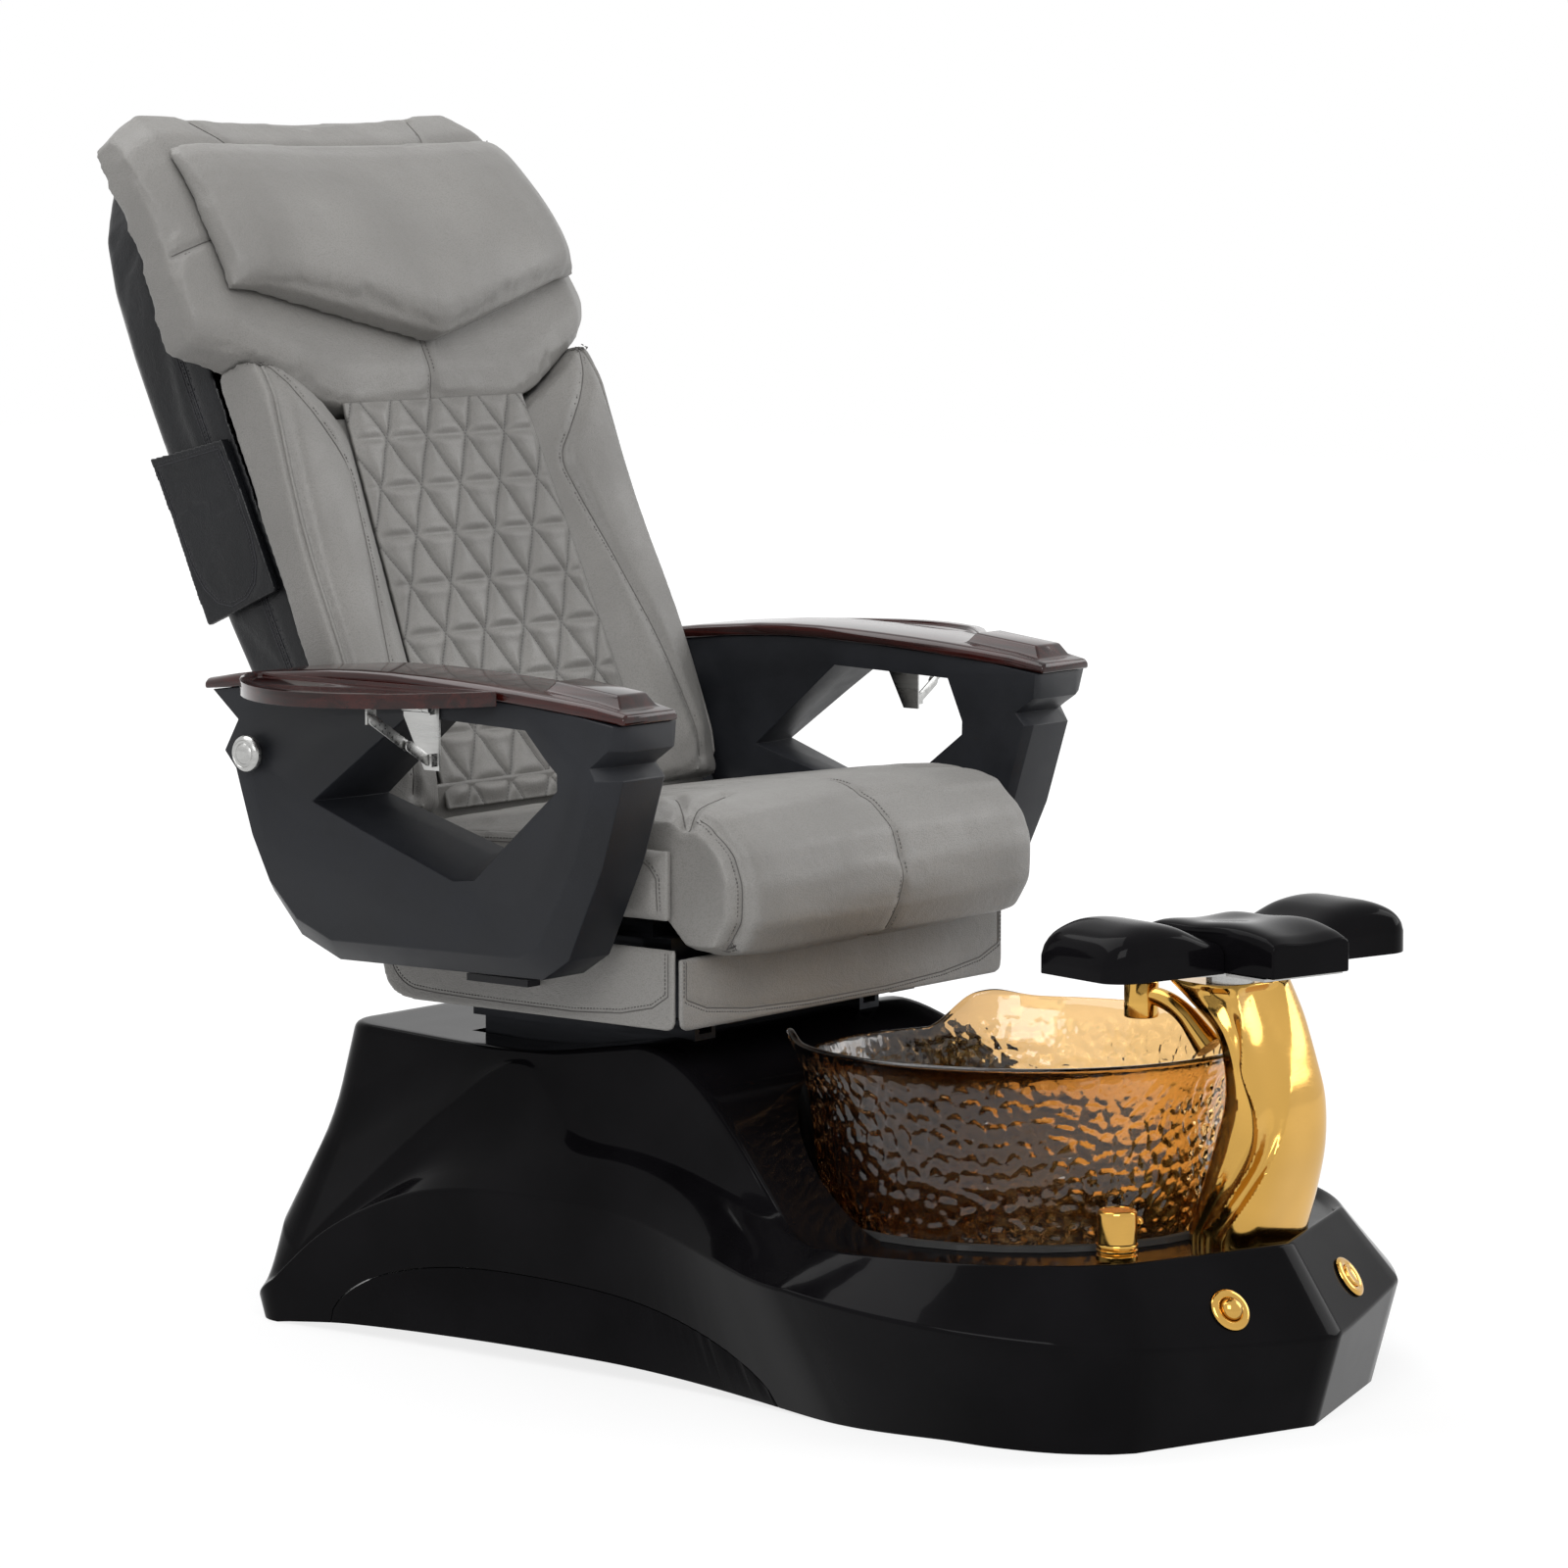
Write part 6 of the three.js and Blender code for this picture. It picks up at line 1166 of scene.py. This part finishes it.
class SPA_OT_mouldings(Operator):
    """Rounds the edges of the rigid mouldings, caps, trays and hardware"""

    bl_idname = "spa.mouldings"
    bl_label = "Mouldings"

    def execute(self, context):
        x, y, z = KNOB_PLACE
        for side, sign in SIDES:
            knob = turned("knob_steel_" + side, KNOB_FACE, 56)
            middle = Matrix.Translation((sign * x, y + SHIFT, z))
            set_at(knob, middle @ Matrix.Rotation(math.radians(90 * sign), 4, "Y"))
            dressed(knob, "knob_" + side, "steel", "steel", "arm_knob_" + side, smooth=40)
            for node, name, body, finish, slot, width in (
                    ("arm_panel_", "arm_moulding_", "arm_", "charcoal", "charcoal", 0.0025),
                    ("arm_cap_", "arm_cap_wood_", "arm_", "wood", "mahogany", 0.003),
                    ("tray_", "tray_wood_", "tray_table_", "wood", "mahogany", 0.003)):
                softened(node + side, name + side, body + side, finish, slot, width)
            for node, body in (("tray_hinge_", "tray_table_"), ("tray_bracket_", "arm_"),
                               ("brace_lower_", "link_lower_"), ("brace_upper_", "link_upper_")):
                softened(node + side, node + "steel_" + side, body + side, "steel", "steel", 0.0005,
                         40, 2)
        return {"FINISHED"}


# ------------------------------------------------------------------ the base, in millimetres

LOBE_Y = -388.0
ARC_END, BLEND_END, BLEND_REAR_Y, CORNER = 92.0, 124.0, -20.0, 46.0
FACET = 36.0
BELT_R, DECK_R = 414.0, 350.0
DECK_Z, DECK_FLOOR_Z = 195.0, 186.0
BASE_REAR_Y, BASE_TOP_REAR_Y, BASE_TOP_Z = 518.0, 424.0, 352.0
RIM_R, RIM_Z = 265.0, 390.0
bowl_radius = through((96, 186), (130, 205), (173, 218), (229, 228), (314, 238), (360, 250),
                      (RIM_Z, RIM_R))


def belt_z(angle):
    return mix(101, 163, (np.minimum(angle, ARC_END) / ARC_END) ** 1.6)


def deck_z(angle):
    return DECK_Z + 4 * ease(angle / ARC_END)


def facet_share(angle):
    """How much closer the flat facets at the front run than the round they cut across."""
    half = math.radians(FACET / 2)
    return np.where(angle < FACET, math.cos(half) / np.cos(np.radians(angle) - half), 1.0)


def base_level(radius, lobe_z, flank_x, flank_z, rear, rear_z, inset):
    """Outline of one level of the base, from the front round the near side and back."""

    def on_arc(angle):
        r, a = radius(angle) * facet_share(angle), np.radians(angle)
        return np.stack([-r * np.sin(a), LOBE_Y - r * np.cos(a), lobe_z(angle) + 0 * a], 1)

    def on_flank(y):
        return np.stack([-flank_x(y) + 0 * y, y, flank_z(y) + 0 * y], 1)

    arc = on_arc(np.concatenate([np.linspace(0, FACET, 13), np.linspace(FACET, ARC_END, 40)[1:]]))
    t = np.linspace(0, 1, 29)[1:]
    one = on_arc(mix(ARC_END, BLEND_END, t))
    other = on_flank(mix(LOBE_Y + 130, BLEND_REAR_Y, t))
    blend = one + (other - one) * ease(t)[:, None]
    end = rear - CORNER
    side = on_flank(np.linspace(BLEND_REAR_Y, end, 50)[1:])
    wide, end_z = -side[-1][0], side[-1][2]
    turn = np.linspace(0, np.pi / 2, 10)[1:]
    corner = np.stack([-(wide - CORNER * (1 - np.cos(turn))), end + CORNER * np.sin(turn),
                       mix(end_z, rear_z, np.sin(turn))], 1)
    x = np.linspace(-(wide - CORNER), 0, 9)[1:]
    line = np.vstack([arc, blend, side, corner, np.stack([x, 0 * x + rear, 0 * x + rear_z], 1)])
    before, after = np.vstack([line[:1], line[:-1]]), np.vstack([line[1:], line[-1:]])
    along = (after - before)[:, :2]
    along /= np.maximum(np.linalg.norm(along, axis=1, keepdims=True), 1e-9)
    move = np.stack([along[:, 1], -along[:, 0]], 1)
    move[0], move[-1] = (0, 1), (0, -1)
    line[:, :2] += move * inset
    return np.vstack([line, line[-2:0:-1] * (-1, 1, 1)])


def base_body(name, inset):
    """The base as a closed body, drawn in by the inset."""
    def flat(value):
        return lambda at: value

    floor = -1.0 if inset else 0.0
    foot = through((40, 385), (48, 373), (58, 349), (70, 322), (ARC_END, 313))
    lifted = through((-300, 0), (-248, 10), (-166, 16), (3, 19), (178, 18), (358, 12), (451, 3),
                     (472, 0))
    ridge = through((LOBE_Y, 163), (-223, 178), (-83, 190), (60, 195), (174, 191), (272, 172),
                    (390, 118), (500, 26))
    scoop = through((-120, 240), (26, 245), (140, 238), (240, 210), (360, 135), (500, 32))
    fin = through((-120, 262), (26, 262), (140, 330), (240, 268), (360, 165), (500, 38))
    top = through((-160, BASE_TOP_Z + 8), (-90, BASE_TOP_Z + 26), (0, BASE_TOP_Z + 12),
                  (140, BASE_TOP_Z - 6), (BASE_TOP_REAR_Y, BASE_TOP_Z))
    shoulder = through((-160, 236), (30, 236), (150, 240), (BASE_TOP_REAR_Y, 232))

    def level(radius, lobe_z, x, z, rear, rear_z, drop):
        return base_level(radius, lambda a: lobe_z(a) - drop, x, lambda y: z(y) - drop, rear,
                          rear_z - drop, inset)

    levels = [
        level(foot, flat(floor), flat(292), lambda y: floor + lifted(y), BASE_REAR_Y, floor, 0),
        level(flat(BELT_R), belt_z, flat(304), ridge, BASE_REAR_Y - 2, 22, inset * 0.4),
        level(flat((BELT_R + DECK_R) / 2), lambda a: (belt_z(a) + deck_z(a)) / 2,
              through((-120, 288), (26, 286), (140, 270), (260, 268), (400, 284), (500, 289)),
              scoop, BASE_REAR_Y - 6, 50, inset * 0.6),
        level(flat(DECK_R), deck_z,
              through((-120, 272), (26, 268), (130, 246), (260, 266), (400, 284), (500, 289)),
              fin, BASE_REAR_Y - 26, 120, inset),
        level(flat(DECK_R - 7), flat(DECK_Z - 2),
              through((-120, 246), (26, 244), (140, 240), (408, 242)),
              through((-120, 318), (26, 312), (140, 338), (260, 310), (380, 250), (480, 215)),
              BASE_REAR_Y - 68, 240, inset),
        level(flat(DECK_R - 11), flat(DECK_FLOOR_Z), shoulder, top, BASE_TOP_REAR_Y, BASE_TOP_Z,
              inset),
    ]
    if not inset:
        lid = base_level(flat(DECK_R - 26), flat(DECK_FLOOR_Z), lambda y: shoulder(y) - 15, top,
                         BASE_TOP_REAR_Y - 15, BASE_TOP_Z, 0)
        levels = rounded(levels + [lid], [4, 400, 5, 40, 9])
    return closed_mesh(name, levels, "strips")


def button_place(sign):
    """The matrix that takes +Z to a push button's axis, square to its facet."""
    def facet(angle, rise):
        r, a = mix(BELT_R, DECK_R, rise) * float(facet_share(np.array(angle))), math.radians(angle)
        z = mix(float(belt_z(angle)), float(deck_z(angle)), rise)
        return Vector((sign * r * math.sin(a), LOBE_Y - r * math.cos(a), z))

    rise = 0.38
    across = (facet(FACET - 0.01, rise) - facet(0, rise)) * sign
    across.normalize()
    up = facet(FACET / 2, 1) - facet(FACET / 2, 0)
    normal = across.cross(up).normalized()
    place = Matrix((across, normal.cross(across), normal)).transposed().to_4x4()
    place.translation = Vector(planned([tuple(facet(FACET / 2, rise))])[0])
    return place


WELL_HEIGHTS = (DECK_FLOOR_Z, 240, 330, RIM_Z + 20)
SHELL_WALL, WELL_CLEAR, WELL_WALL = 8, 14, 8
HOLE_CLEAR, BUTTON_BORE_R = 3, 16
SLOT_X, INLET_X = 150, 70
PANEL_REAR_Y, PANEL_MIDDLE_Y, PANEL_FRONT_Y, PANEL_TOP_Z = 392.0, 100, -283.0, 104
PANEL_GAP = 1.2
PANEL_X = (264, 324)


class SPA_OT_base(Operator):
    """Makes the gloss base shell with its access panels and openings"""

    bl_idname = "spa.base"
    bl_label = "Base shell"

    def execute(self, context):
        shell = base_body("base_gel_coat", 0)
        hollow = base_body("hollow", SHELL_WALL)
        well, room = (
            turned("well", [(float(bowl_radius(z)) + clear, z - drop) for z in WELL_HEIGHTS],
                   96, 0, LOBE_Y)
            for clear, drop in ((WELL_CLEAR, 0), (WELL_CLEAR + WELL_WALL, WELL_WALL)))
        carved(hollow, room)
        carved(shell, well, hollow)
        hole = float(bowl_radius(DECK_FLOOR_Z)) + HOLE_CLEAR
        tools = [turned("hole", [(hole, DECK_FLOOR_Z - 30), (hole, DECK_FLOOR_Z + 30)],
                        96, 0, LOBE_Y)]
        for _, sign in SIDES:
            bore = turned("bore", [(BUTTON_BORE_R, -30), (BUTTON_BORE_R, 30)], 40)
            slot, inlet = sign * SLOT_X, sign * INLET_X
            tools += [set_at(bore, button_place(sign)),
                      block("slot", (slot - 21, -55, 312), (slot + 21, 275, 392)),
                      block("inlet", (inlet - 20, 410, 100), (inlet + 20, 530, 140))]
        tools.append(block("socket", (-31, 410, 177), (31, 530, 223)))
        carved(shell, *tools)
        for side, sign in SIDES:
            self.access_panel(shell, side, sign)
        bevelled(shell, 0.001)
        dressed(shell, "base", "gloss", "gloss_black", "base_shell", smooth=40)
        modified(shell, "WEIGHTED_NORMAL", mode="FACE_AREA", keep_sharp=True)
        return {"FINISHED"}

    def access_panel(self, shell, side, sign):
        """Cuts the arched opening in a flank and makes the panel that fills it."""
        y = mix(PANEL_REAR_Y, PANEL_FRONT_Y, np.linspace(0, 1, 73))
        reach = np.where(y > PANEL_MIDDLE_Y, (y - PANEL_MIDDLE_Y) / (PANEL_REAR_Y - PANEL_MIDDLE_Y),
                         (PANEL_MIDDLE_Y - y) / (PANEL_MIDDLE_Y - PANEL_FRONT_Y))
        z = PANEL_TOP_Z * np.sqrt(np.maximum(0, 1 - np.minimum(1, reach) ** 2.2))
        z[[0, -1]] = -2
        ends = [sign * x for x in PANEL_X]
        opening = plate("band", np.column_stack([y, z]), *ends)
        inner_y = PANEL_MIDDLE_Y + (y - PANEL_MIDDLE_Y) * 0.9965
        inner_z = np.where(z > 0, z - PANEL_GAP, z)
        inner = plate("inner", np.column_stack([inner_y, inner_z]), *ends)
        panel = linked("access_panel_" + side, shell.data.copy())
        cut(panel, inner, "INTERSECT")
        carved(shell, opening)
        bevelled(panel, 0.0006)
        dressed(panel, "base", "satin", "gloss_black", "side_panel_" + side, smooth=40)


BOWL_WALL, BOWL_FLOOR_Z, BOWL_MIDDLE_R = 9.0, 96.0, 240
DIMPLE_PITCH, DIMPLE_ROWS, DIMPLE_STRAY, DIMPLE_DEPTH, DIMPLE_SEED = 19.5, 16, 0.46, 2.7, 7
DRAIN_X, DRAIN_R, JET_X, JET_R = -80, 24.4, 70, 42.4


class SPA_OT_bowl(Operator):
    """Makes the hammered glass bowl, its pressed dimples laid out by a fixed seed"""

    bl_idname = "spa.bowl"
    bl_label = "Glass bowl"

    def execute(self, context):
        sides, wall, floor_z = 480, BOWL_WALL, BOWL_FLOOR_Z
        turn = np.arange(sides) * 2 * np.pi / sides
        behind = np.degrees(np.abs((turn - np.pi / 2 + np.pi) % (2 * np.pi) - np.pi))
        rim = RIM_Z - 30 * (1 - ease((behind - 26) / 16)) + 8 * np.exp(-(((behind - 46) / 7) ** 2))
        around = 2 * np.pi * BOWL_MIDDLE_R
        columns = int(around / DIMPLE_PITCH)
        rng = np.random.default_rng(DIMPLE_SEED)
        seeds = np.array([
            ((i + 0.5 * (j % 2) + rng.uniform(-DIMPLE_STRAY, DIMPLE_STRAY)) * around / columns,
             floor_z + (j + 0.5 + rng.uniform(-DIMPLE_STRAY, DIMPLE_STRAY)) * DIMPLE_PITCH)
            for j in range(DIMPLE_ROWS) for i in range(columns)])

        def ring(radius, z):
            return np.column_stack([radius * np.cos(turn), LOBE_Y + radius * np.sin(turn),
                                    np.broadcast_to(z, sides)])

        rings = [ring(176, floor_z), ring(183, floor_z + 1.2)]
        for share in np.linspace(0.015, 1, 92):
            z = mix(floor_z, rim - wall / 2, share)
            across = np.abs(turn[:, None] * BOWL_MIDDLE_R - seeds[None, :, 0])
            far = np.hypot(np.minimum(across, around - across), z[:, None] - seeds[None, :, 1])
            near = np.partition(far, 1, axis=1)[:, :2]
            press = DIMPLE_DEPTH * (1 - np.exp(-(((near[:, 1] - near[:, 0]) / 5) ** 2)))
            press *= 1 - 0.88 * ease((z - 345) / 34)
            rings.append(ring(bowl_radius(z) - press, z))
        lip = bowl_radius(rim) - wall / 2
        for a in np.radians(np.arange(20, 180, 20)):
            rings.append(ring(lip + wall / 2 * math.cos(a),
                              rim - wall / 2 + wall / 2 * math.sin(a)))
        for share in np.linspace(1, 0.07, 26):
            z = mix(floor_z + wall, rim - wall / 2, share)
            rings.append(ring(bowl_radius(z) - wall, z))
        for inwards, up in ((14, 6), (22, 1.5), (34, 0), (90, 0)):
            rings.append(ring(186 - inwards, floor_z + wall + up))
        bowl = closed_mesh("glass_bowl_hammered", rings)
        for name, radius, x, count in (("drain", DRAIN_R, DRAIN_X, 48), ("jet", JET_R, JET_X, 60)):
            carved(bowl, turned(name, [(radius, 60), (radius, 130)], count, x, LOBE_Y))
        dressed(bowl, "base", "glass", "glass", "glass_bowl", smooth=40)
        return {"FINISHED"}


PILLAR_FRONT = through((195, -711), (240, -722), (290, -732), (340, -731), (380, -720), (430, -703),
                       (470, -690))
PILLAR_REAR = through((195, -611), (260, -634), (300, -647), (340, -658), (380, -657), (420, -643),
                      (448, -606), (470, -572))
PILLAR_HALF = through((195, 86), (240, 86), (290, 82), (345, 80), (400, 77), (440, 78), (470, 74))
PILLAR_RIDGES = [through(*pairs) for pairs in (
    ((200, 159), (249, 174), (298, 178), (336, 180), (470, 180)),
    ((200, 175), (249, 194), (298, 213), (336, 208), (380, 193), (429, 224), (470, 236)),
    ((200, 194), (249, 226), (298, 246), (336, 257), (380, 268), (429, 277), (470, 284)))]
PILLAR_TOP_Z, PILLAR_X, PILLAR_TWIST, FLUTE_DEPTH = 470, 28, math.radians(18), 13.0
SPOUT_BARREL = [(14, 421 + 3), (15, 421), (17.5, 421), (18.6, 421.8), (19, 423.5), (19, 459),
                (17.8, 460.6), (14, 463), (6, 463.6)]
SPOUT_BEND = [(-540, 446, 9), (-556, 446, 10), (-572, 444, 10.5), (-590, 437, 11), (-606, 426, 12),
              (-620, 411, 14), (-634, 396, 16)]
TAP_X, TAP_Y, TAP_FOOT_Z = -166.0, -631.0, DECK_FLOOR_Z + 3.6
TAP_RIBS = [(22.5, 0), (22.5, 4.6), (20.7, 6.2), (20.7, 6.8), (22.5, 8.4), (22.5, 10.6),
            (20.7, 12.2), (20.7, 12.8), (22.5, 14.4), (22.5, 16.4), (22, 17)]
TAP_CAP_Z = TAP_FOOT_Z + 17.4
TAP_CAP = [(20.5, 0), (21.5, 0.8), (21.5, 31), (21.1, 33.2), (20, 34.9), (18, 36), (17, 36),
           (16.4, 35.4), (4, 35.4)]
TAP_BAR = [(5, 14), (5, 35), (6.1, 35.4), (6.5, 36), (6.5, 40), (6.1, 40.5)]
BEZEL_RING = [(13.4, -22), (15.7, -22), (15.7, 0.6), (22.6, 0.6), (23.4, 0.9), (24, 2), (23.6, 3),
              (22, 4.2), (20, 4.9), (17.4, 5), (15.2, 4.5), (13.8, 3.6), (13.4, 2.8)]
BUTTON_DOMES = {
    "right": [(12.9, 4.4), (12.3, 6.6), (11, 9), (9, 11.1), (6.4, 12.7), (3.4, 13.6), (1, 13.8)],
    "left": [(12.9, 5), (12.4, 6), (11.6, 6.5), (10.2, 6.5), (9.4, 6.2), (8.8, 5.4), (8.2, 5.2),
             (1, 5.2)]}


class SPA_OT_pillar(Operator):
    """Makes the fluted gold pillar with its spout, the tap, bezels and push buttons"""

    bl_idname = "spa.pillar"
    bl_label = "Pillar and gold fittings"

    def execute(self, context):
        pillar = closed_mesh("pillar_gold", self.pillar_rings())
        carved(pillar, base_body("body", 0))
        hole = float(bowl_radius(190)) + 11
        carved(pillar, turned("seal room", [(hole, 170), (hole, 194.5)], 96, 0, LOBE_Y))
        self.gild(pillar, "pillar", smooth=38)
        self.spout()
        self.tap()
        for side, sign in SIDES:
            place = button_place(sign)
            turn = np.arange(48) * 2 * np.pi / 48
            grid = planned([[(r * math.cos(a), r * math.sin(a), z) for a in turn]
                            for r, z in BEZEL_RING])
            bezel = from_grid("bezel_gold_" + side, grid, closed_u=True, closed_v=True)
            self.gild(facing_out(set_at(bezel, place)), "bezel_" + side)
            button = turned("button_gold_" + side, [(13, -14)] + BUTTON_DOMES[side], 40)
            self.gild(set_at(button, place), "button_" + side, "push_button_" + side)
        return {"FINISHED"}

    def gild(self, piece, node, body="base", smooth=40):
        dressed(piece, body, "gold", "gold", node, smooth=smooth)

    def pillar_rings(self):
        """Level outlines of the pillar, which twists as it rises, with flutes on the near side."""
        sides = 144
        degrees = np.arange(sides) * 360 / sides
        cx, cy = (np.sign(c) * np.abs(c) ** 0.65
                  for c in (np.cos(np.radians(degrees)), np.sin(np.radians(degrees))))
        rings = []
        for z in np.concatenate([np.linspace(172, 464, 74), [467, 469.2, 470]]):
            front, rear = float(PILLAR_FRONT(z)), float(PILLAR_REAR(z))
            shrink = max(0.0, z - 466) * 0.6
            depth, wide = (rear - front) / 2 - shrink, float(PILLAR_HALF(z)) - shrink
            twist = PILLAR_TWIST * math.sin(math.pi * float(ease((z - DECK_Z) / 275)))
            x = wide * cx * mix(1, 0.62, (cy + 1) / 2)
            y = cy * depth
            here = [float(ridge(z)) for ridge in PILLAR_RIDGES]
            pull = np.zeros(sides)
            for low, high in zip(here, here[1:]):
                share = np.clip((degrees - low) / (high - low), 0, 1)
                chord = math.radians(high - low) * 74
                depth_here = min(FLUTE_DEPTH, 0.27 * chord)
                pull = np.maximum(pull, depth_here * np.sin(np.pi * share) ** 0.8)
            pull *= float(ease((PILLAR_TOP_Z - z) / 12))
            reach = np.maximum(np.hypot(x, y), 1)
            x, y = x * (1 - pull / reach), y * (1 - pull / reach)
            rings.append(np.column_stack([
                PILLAR_X + x * math.cos(twist) - y * math.sin(twist) * 0.5,
                (front + rear) / 2 + y, np.full(sides, z)]))
        return rings

    def spout(self):
        barrel = turned("spout_gold", SPOUT_BARREL, 48, 0, -544)
        path = spaced([(0, y, z) for y, z, _ in SPOUT_BEND], 3)
        radii = np.interp(np.linspace(0, 1, len(path)), np.linspace(0, 1, len(SPOUT_BEND)),
                          [r for _, _, r in SPOUT_BEND])
        along = np.gradient(path, axis=0)
        along /= np.linalg.norm(along, axis=1, keepdims=True)
        turn = np.arange(32) * np.pi / 16
        arm = closed_mesh("arm", [
            p + r * (np.cos(turn)[:, None] * (1, 0, 0) + np.sin(turn)[:, None] * (0, -d[2], d[1]))
            for p, r, d in zip(path, radii, along)])
        self.gild(joined("spout_gold", [barrel, arm]), "spout")

    def tap(self):
        ribs = turned("tap_base_gold", [(r, TAP_FOOT_Z + z) for r, z in TAP_RIBS], 48, TAP_X, TAP_Y)
        stem = turned("stem", [(8, TAP_FOOT_Z - 38), (8, TAP_FOOT_Z + 2)], 24, TAP_X, TAP_Y)
        self.gild(joined("tap_base_gold", [ribs, stem]), "faucet_base")
        cap = turned("tap_handle_gold", [(r, TAP_CAP_Z + z) for r, z in TAP_CAP], 48, TAP_X, TAP_Y)
        bar = turned("bar", TAP_BAR, 28)
        place = Matrix.Translation((TAP_X / 1000, TAP_Y / 1000 + SHIFT, (TAP_CAP_Z + 16.2) / 1000))
        set_at(bar, place @ Matrix.Rotation(math.pi / 2, 4, "Y"))
        self.gild(joined("tap_handle_gold", [cap, bar]), "faucet_handle", "faucet")


REST_Z, REST_HALF, REST_MIDDLE_HALF, REST_CORNER = 491.0, 215.0, 62.0, 34.0
REST_FRONT_Y, REST_PAD_REAR_Y, REST_REAR_Y = 75.0, -62, -128.0
REST_SADDLE = through((0, 44), (45, 27), (78, 34), (118, 50), (160, 54), (190, 46), (205, 34),
                      (REST_HALF, 16))
REST_RIDGE = through((-135, 30), (-110, 42), (-60, 50), (0, 46), (50, 44), (80, 34))
REST_TURN = math.radians(-14)


class SPA_OT_footrest(Operator):
    """Makes the three gloss footrest shells"""

    bl_idname = "spa.footrest"
    bl_label = "Footrest"

    def execute(self, context):
        for side, sign in SIDES:
            s, t = np.meshgrid(np.linspace(-0.985, 1, 64), np.linspace(0, 1, 48))
            x = mix(REST_HALF, REST_MIDDLE_HALF + 2, (s + 1) / 2)
            past = np.maximum(0, x - REST_HALF + REST_CORNER) / REST_CORNER
            round_off = REST_CORNER * (1 - np.sqrt(np.maximum(0, 1 - past ** 2)))
            y = mix(REST_PAD_REAR_Y + round_off, REST_FRONT_Y - round_off * 0.6, t)
            crown = np.sqrt(np.maximum(0, 1 - np.abs(2 * t - 1) ** 5))
            z = REST_Z + 14 + (REST_SADDLE(x) - 10) * mix(0.35, 1, crown)
            self.shell("footrest_gloss_" + side, sign * x, y, z, "footrest_pad_" + side)
        s, t = np.meshgrid(np.linspace(-1, 1, 48), np.linspace(0, 1, 72))
        y = mix(REST_REAR_Y, REST_FRONT_Y, t)
        x = s * REST_MIDDLE_HALF * (1 - 0.12 * ease((-y - 60) / 68))
        crown = np.sqrt(np.maximum(0, 1 - np.abs(s) ** 4))
        z = REST_Z + 10 + (REST_RIDGE(y) - 10 + 8 * s ** 2) * mix(0.62, 1, crown)
        self.shell("footrest_gloss_middle", x, y, z, "footrest_middle")
        return {"FINISHED"}

    def shell(self, name, x, y, z, node):
        """A shell with that upper face and a flat underside, turned as the footrest stands."""
        piece = slab(name, np.stack([x, y, z], 2), np.stack([x, y, 0 * z + REST_Z], 2))
        place = Matrix.Translation(Vector(planned([(0, -660, 0)])[0]))
        set_at(piece, place @ Matrix.Rotation(REST_TURN, 4, "Z"))
        bevelled(piece, 0.004, 4)
        dressed(piece, "footrest", "gloss", "gloss_black", node, smooth=50)


class SPA_PT_panel(Panel):
    bl_idname = "SPA_PT_panel"
    bl_label = "Spa Chair"
    bl_space_type = "VIEW_3D"
    bl_region_type = "UI"
    bl_category = "Spa Chair"

    def draw(self, context):
        for step in STEPS:
            self.layout.operator(step.bl_idname)
        for group in SETTINGS:
            settings = getattr(context.scene, group)
            for name in settings.__annotations__:
                self.layout.prop(settings, name)


STEPS = (SPA_OT_stage, SPA_OT_finishes, SPA_OT_base, SPA_OT_bowl, SPA_OT_pillar, SPA_OT_footrest,
         SPA_OT_mouldings, SPA_OT_seat, SPA_OT_covers, SPA_OT_back, SPA_OT_head)
SETTINGS = {"spa_stage": SpaStageSizes, "spa_colours": SpaColours, "spa_padding": SpaPaddingSizes}
CLASSES = (*SETTINGS.values(), *STEPS, SPA_PT_panel)


def register():
    for kind in CLASSES:
        bpy.utils.register_class(kind)
    for name, group in SETTINGS.items():
        setattr(bpy.types.Scene, name, PointerProperty(type=group))


def unregister():
    for name in SETTINGS:
        delattr(bpy.types.Scene, name)
    for kind in reversed(CLASSES):
        bpy.utils.unregister_class(kind)


def main():
    register()
    for step in STEPS:
        group, name = step.bl_idname.split(".")
        getattr(getattr(bpy.ops, group), name)()


if __name__ == "__main__":
    main()
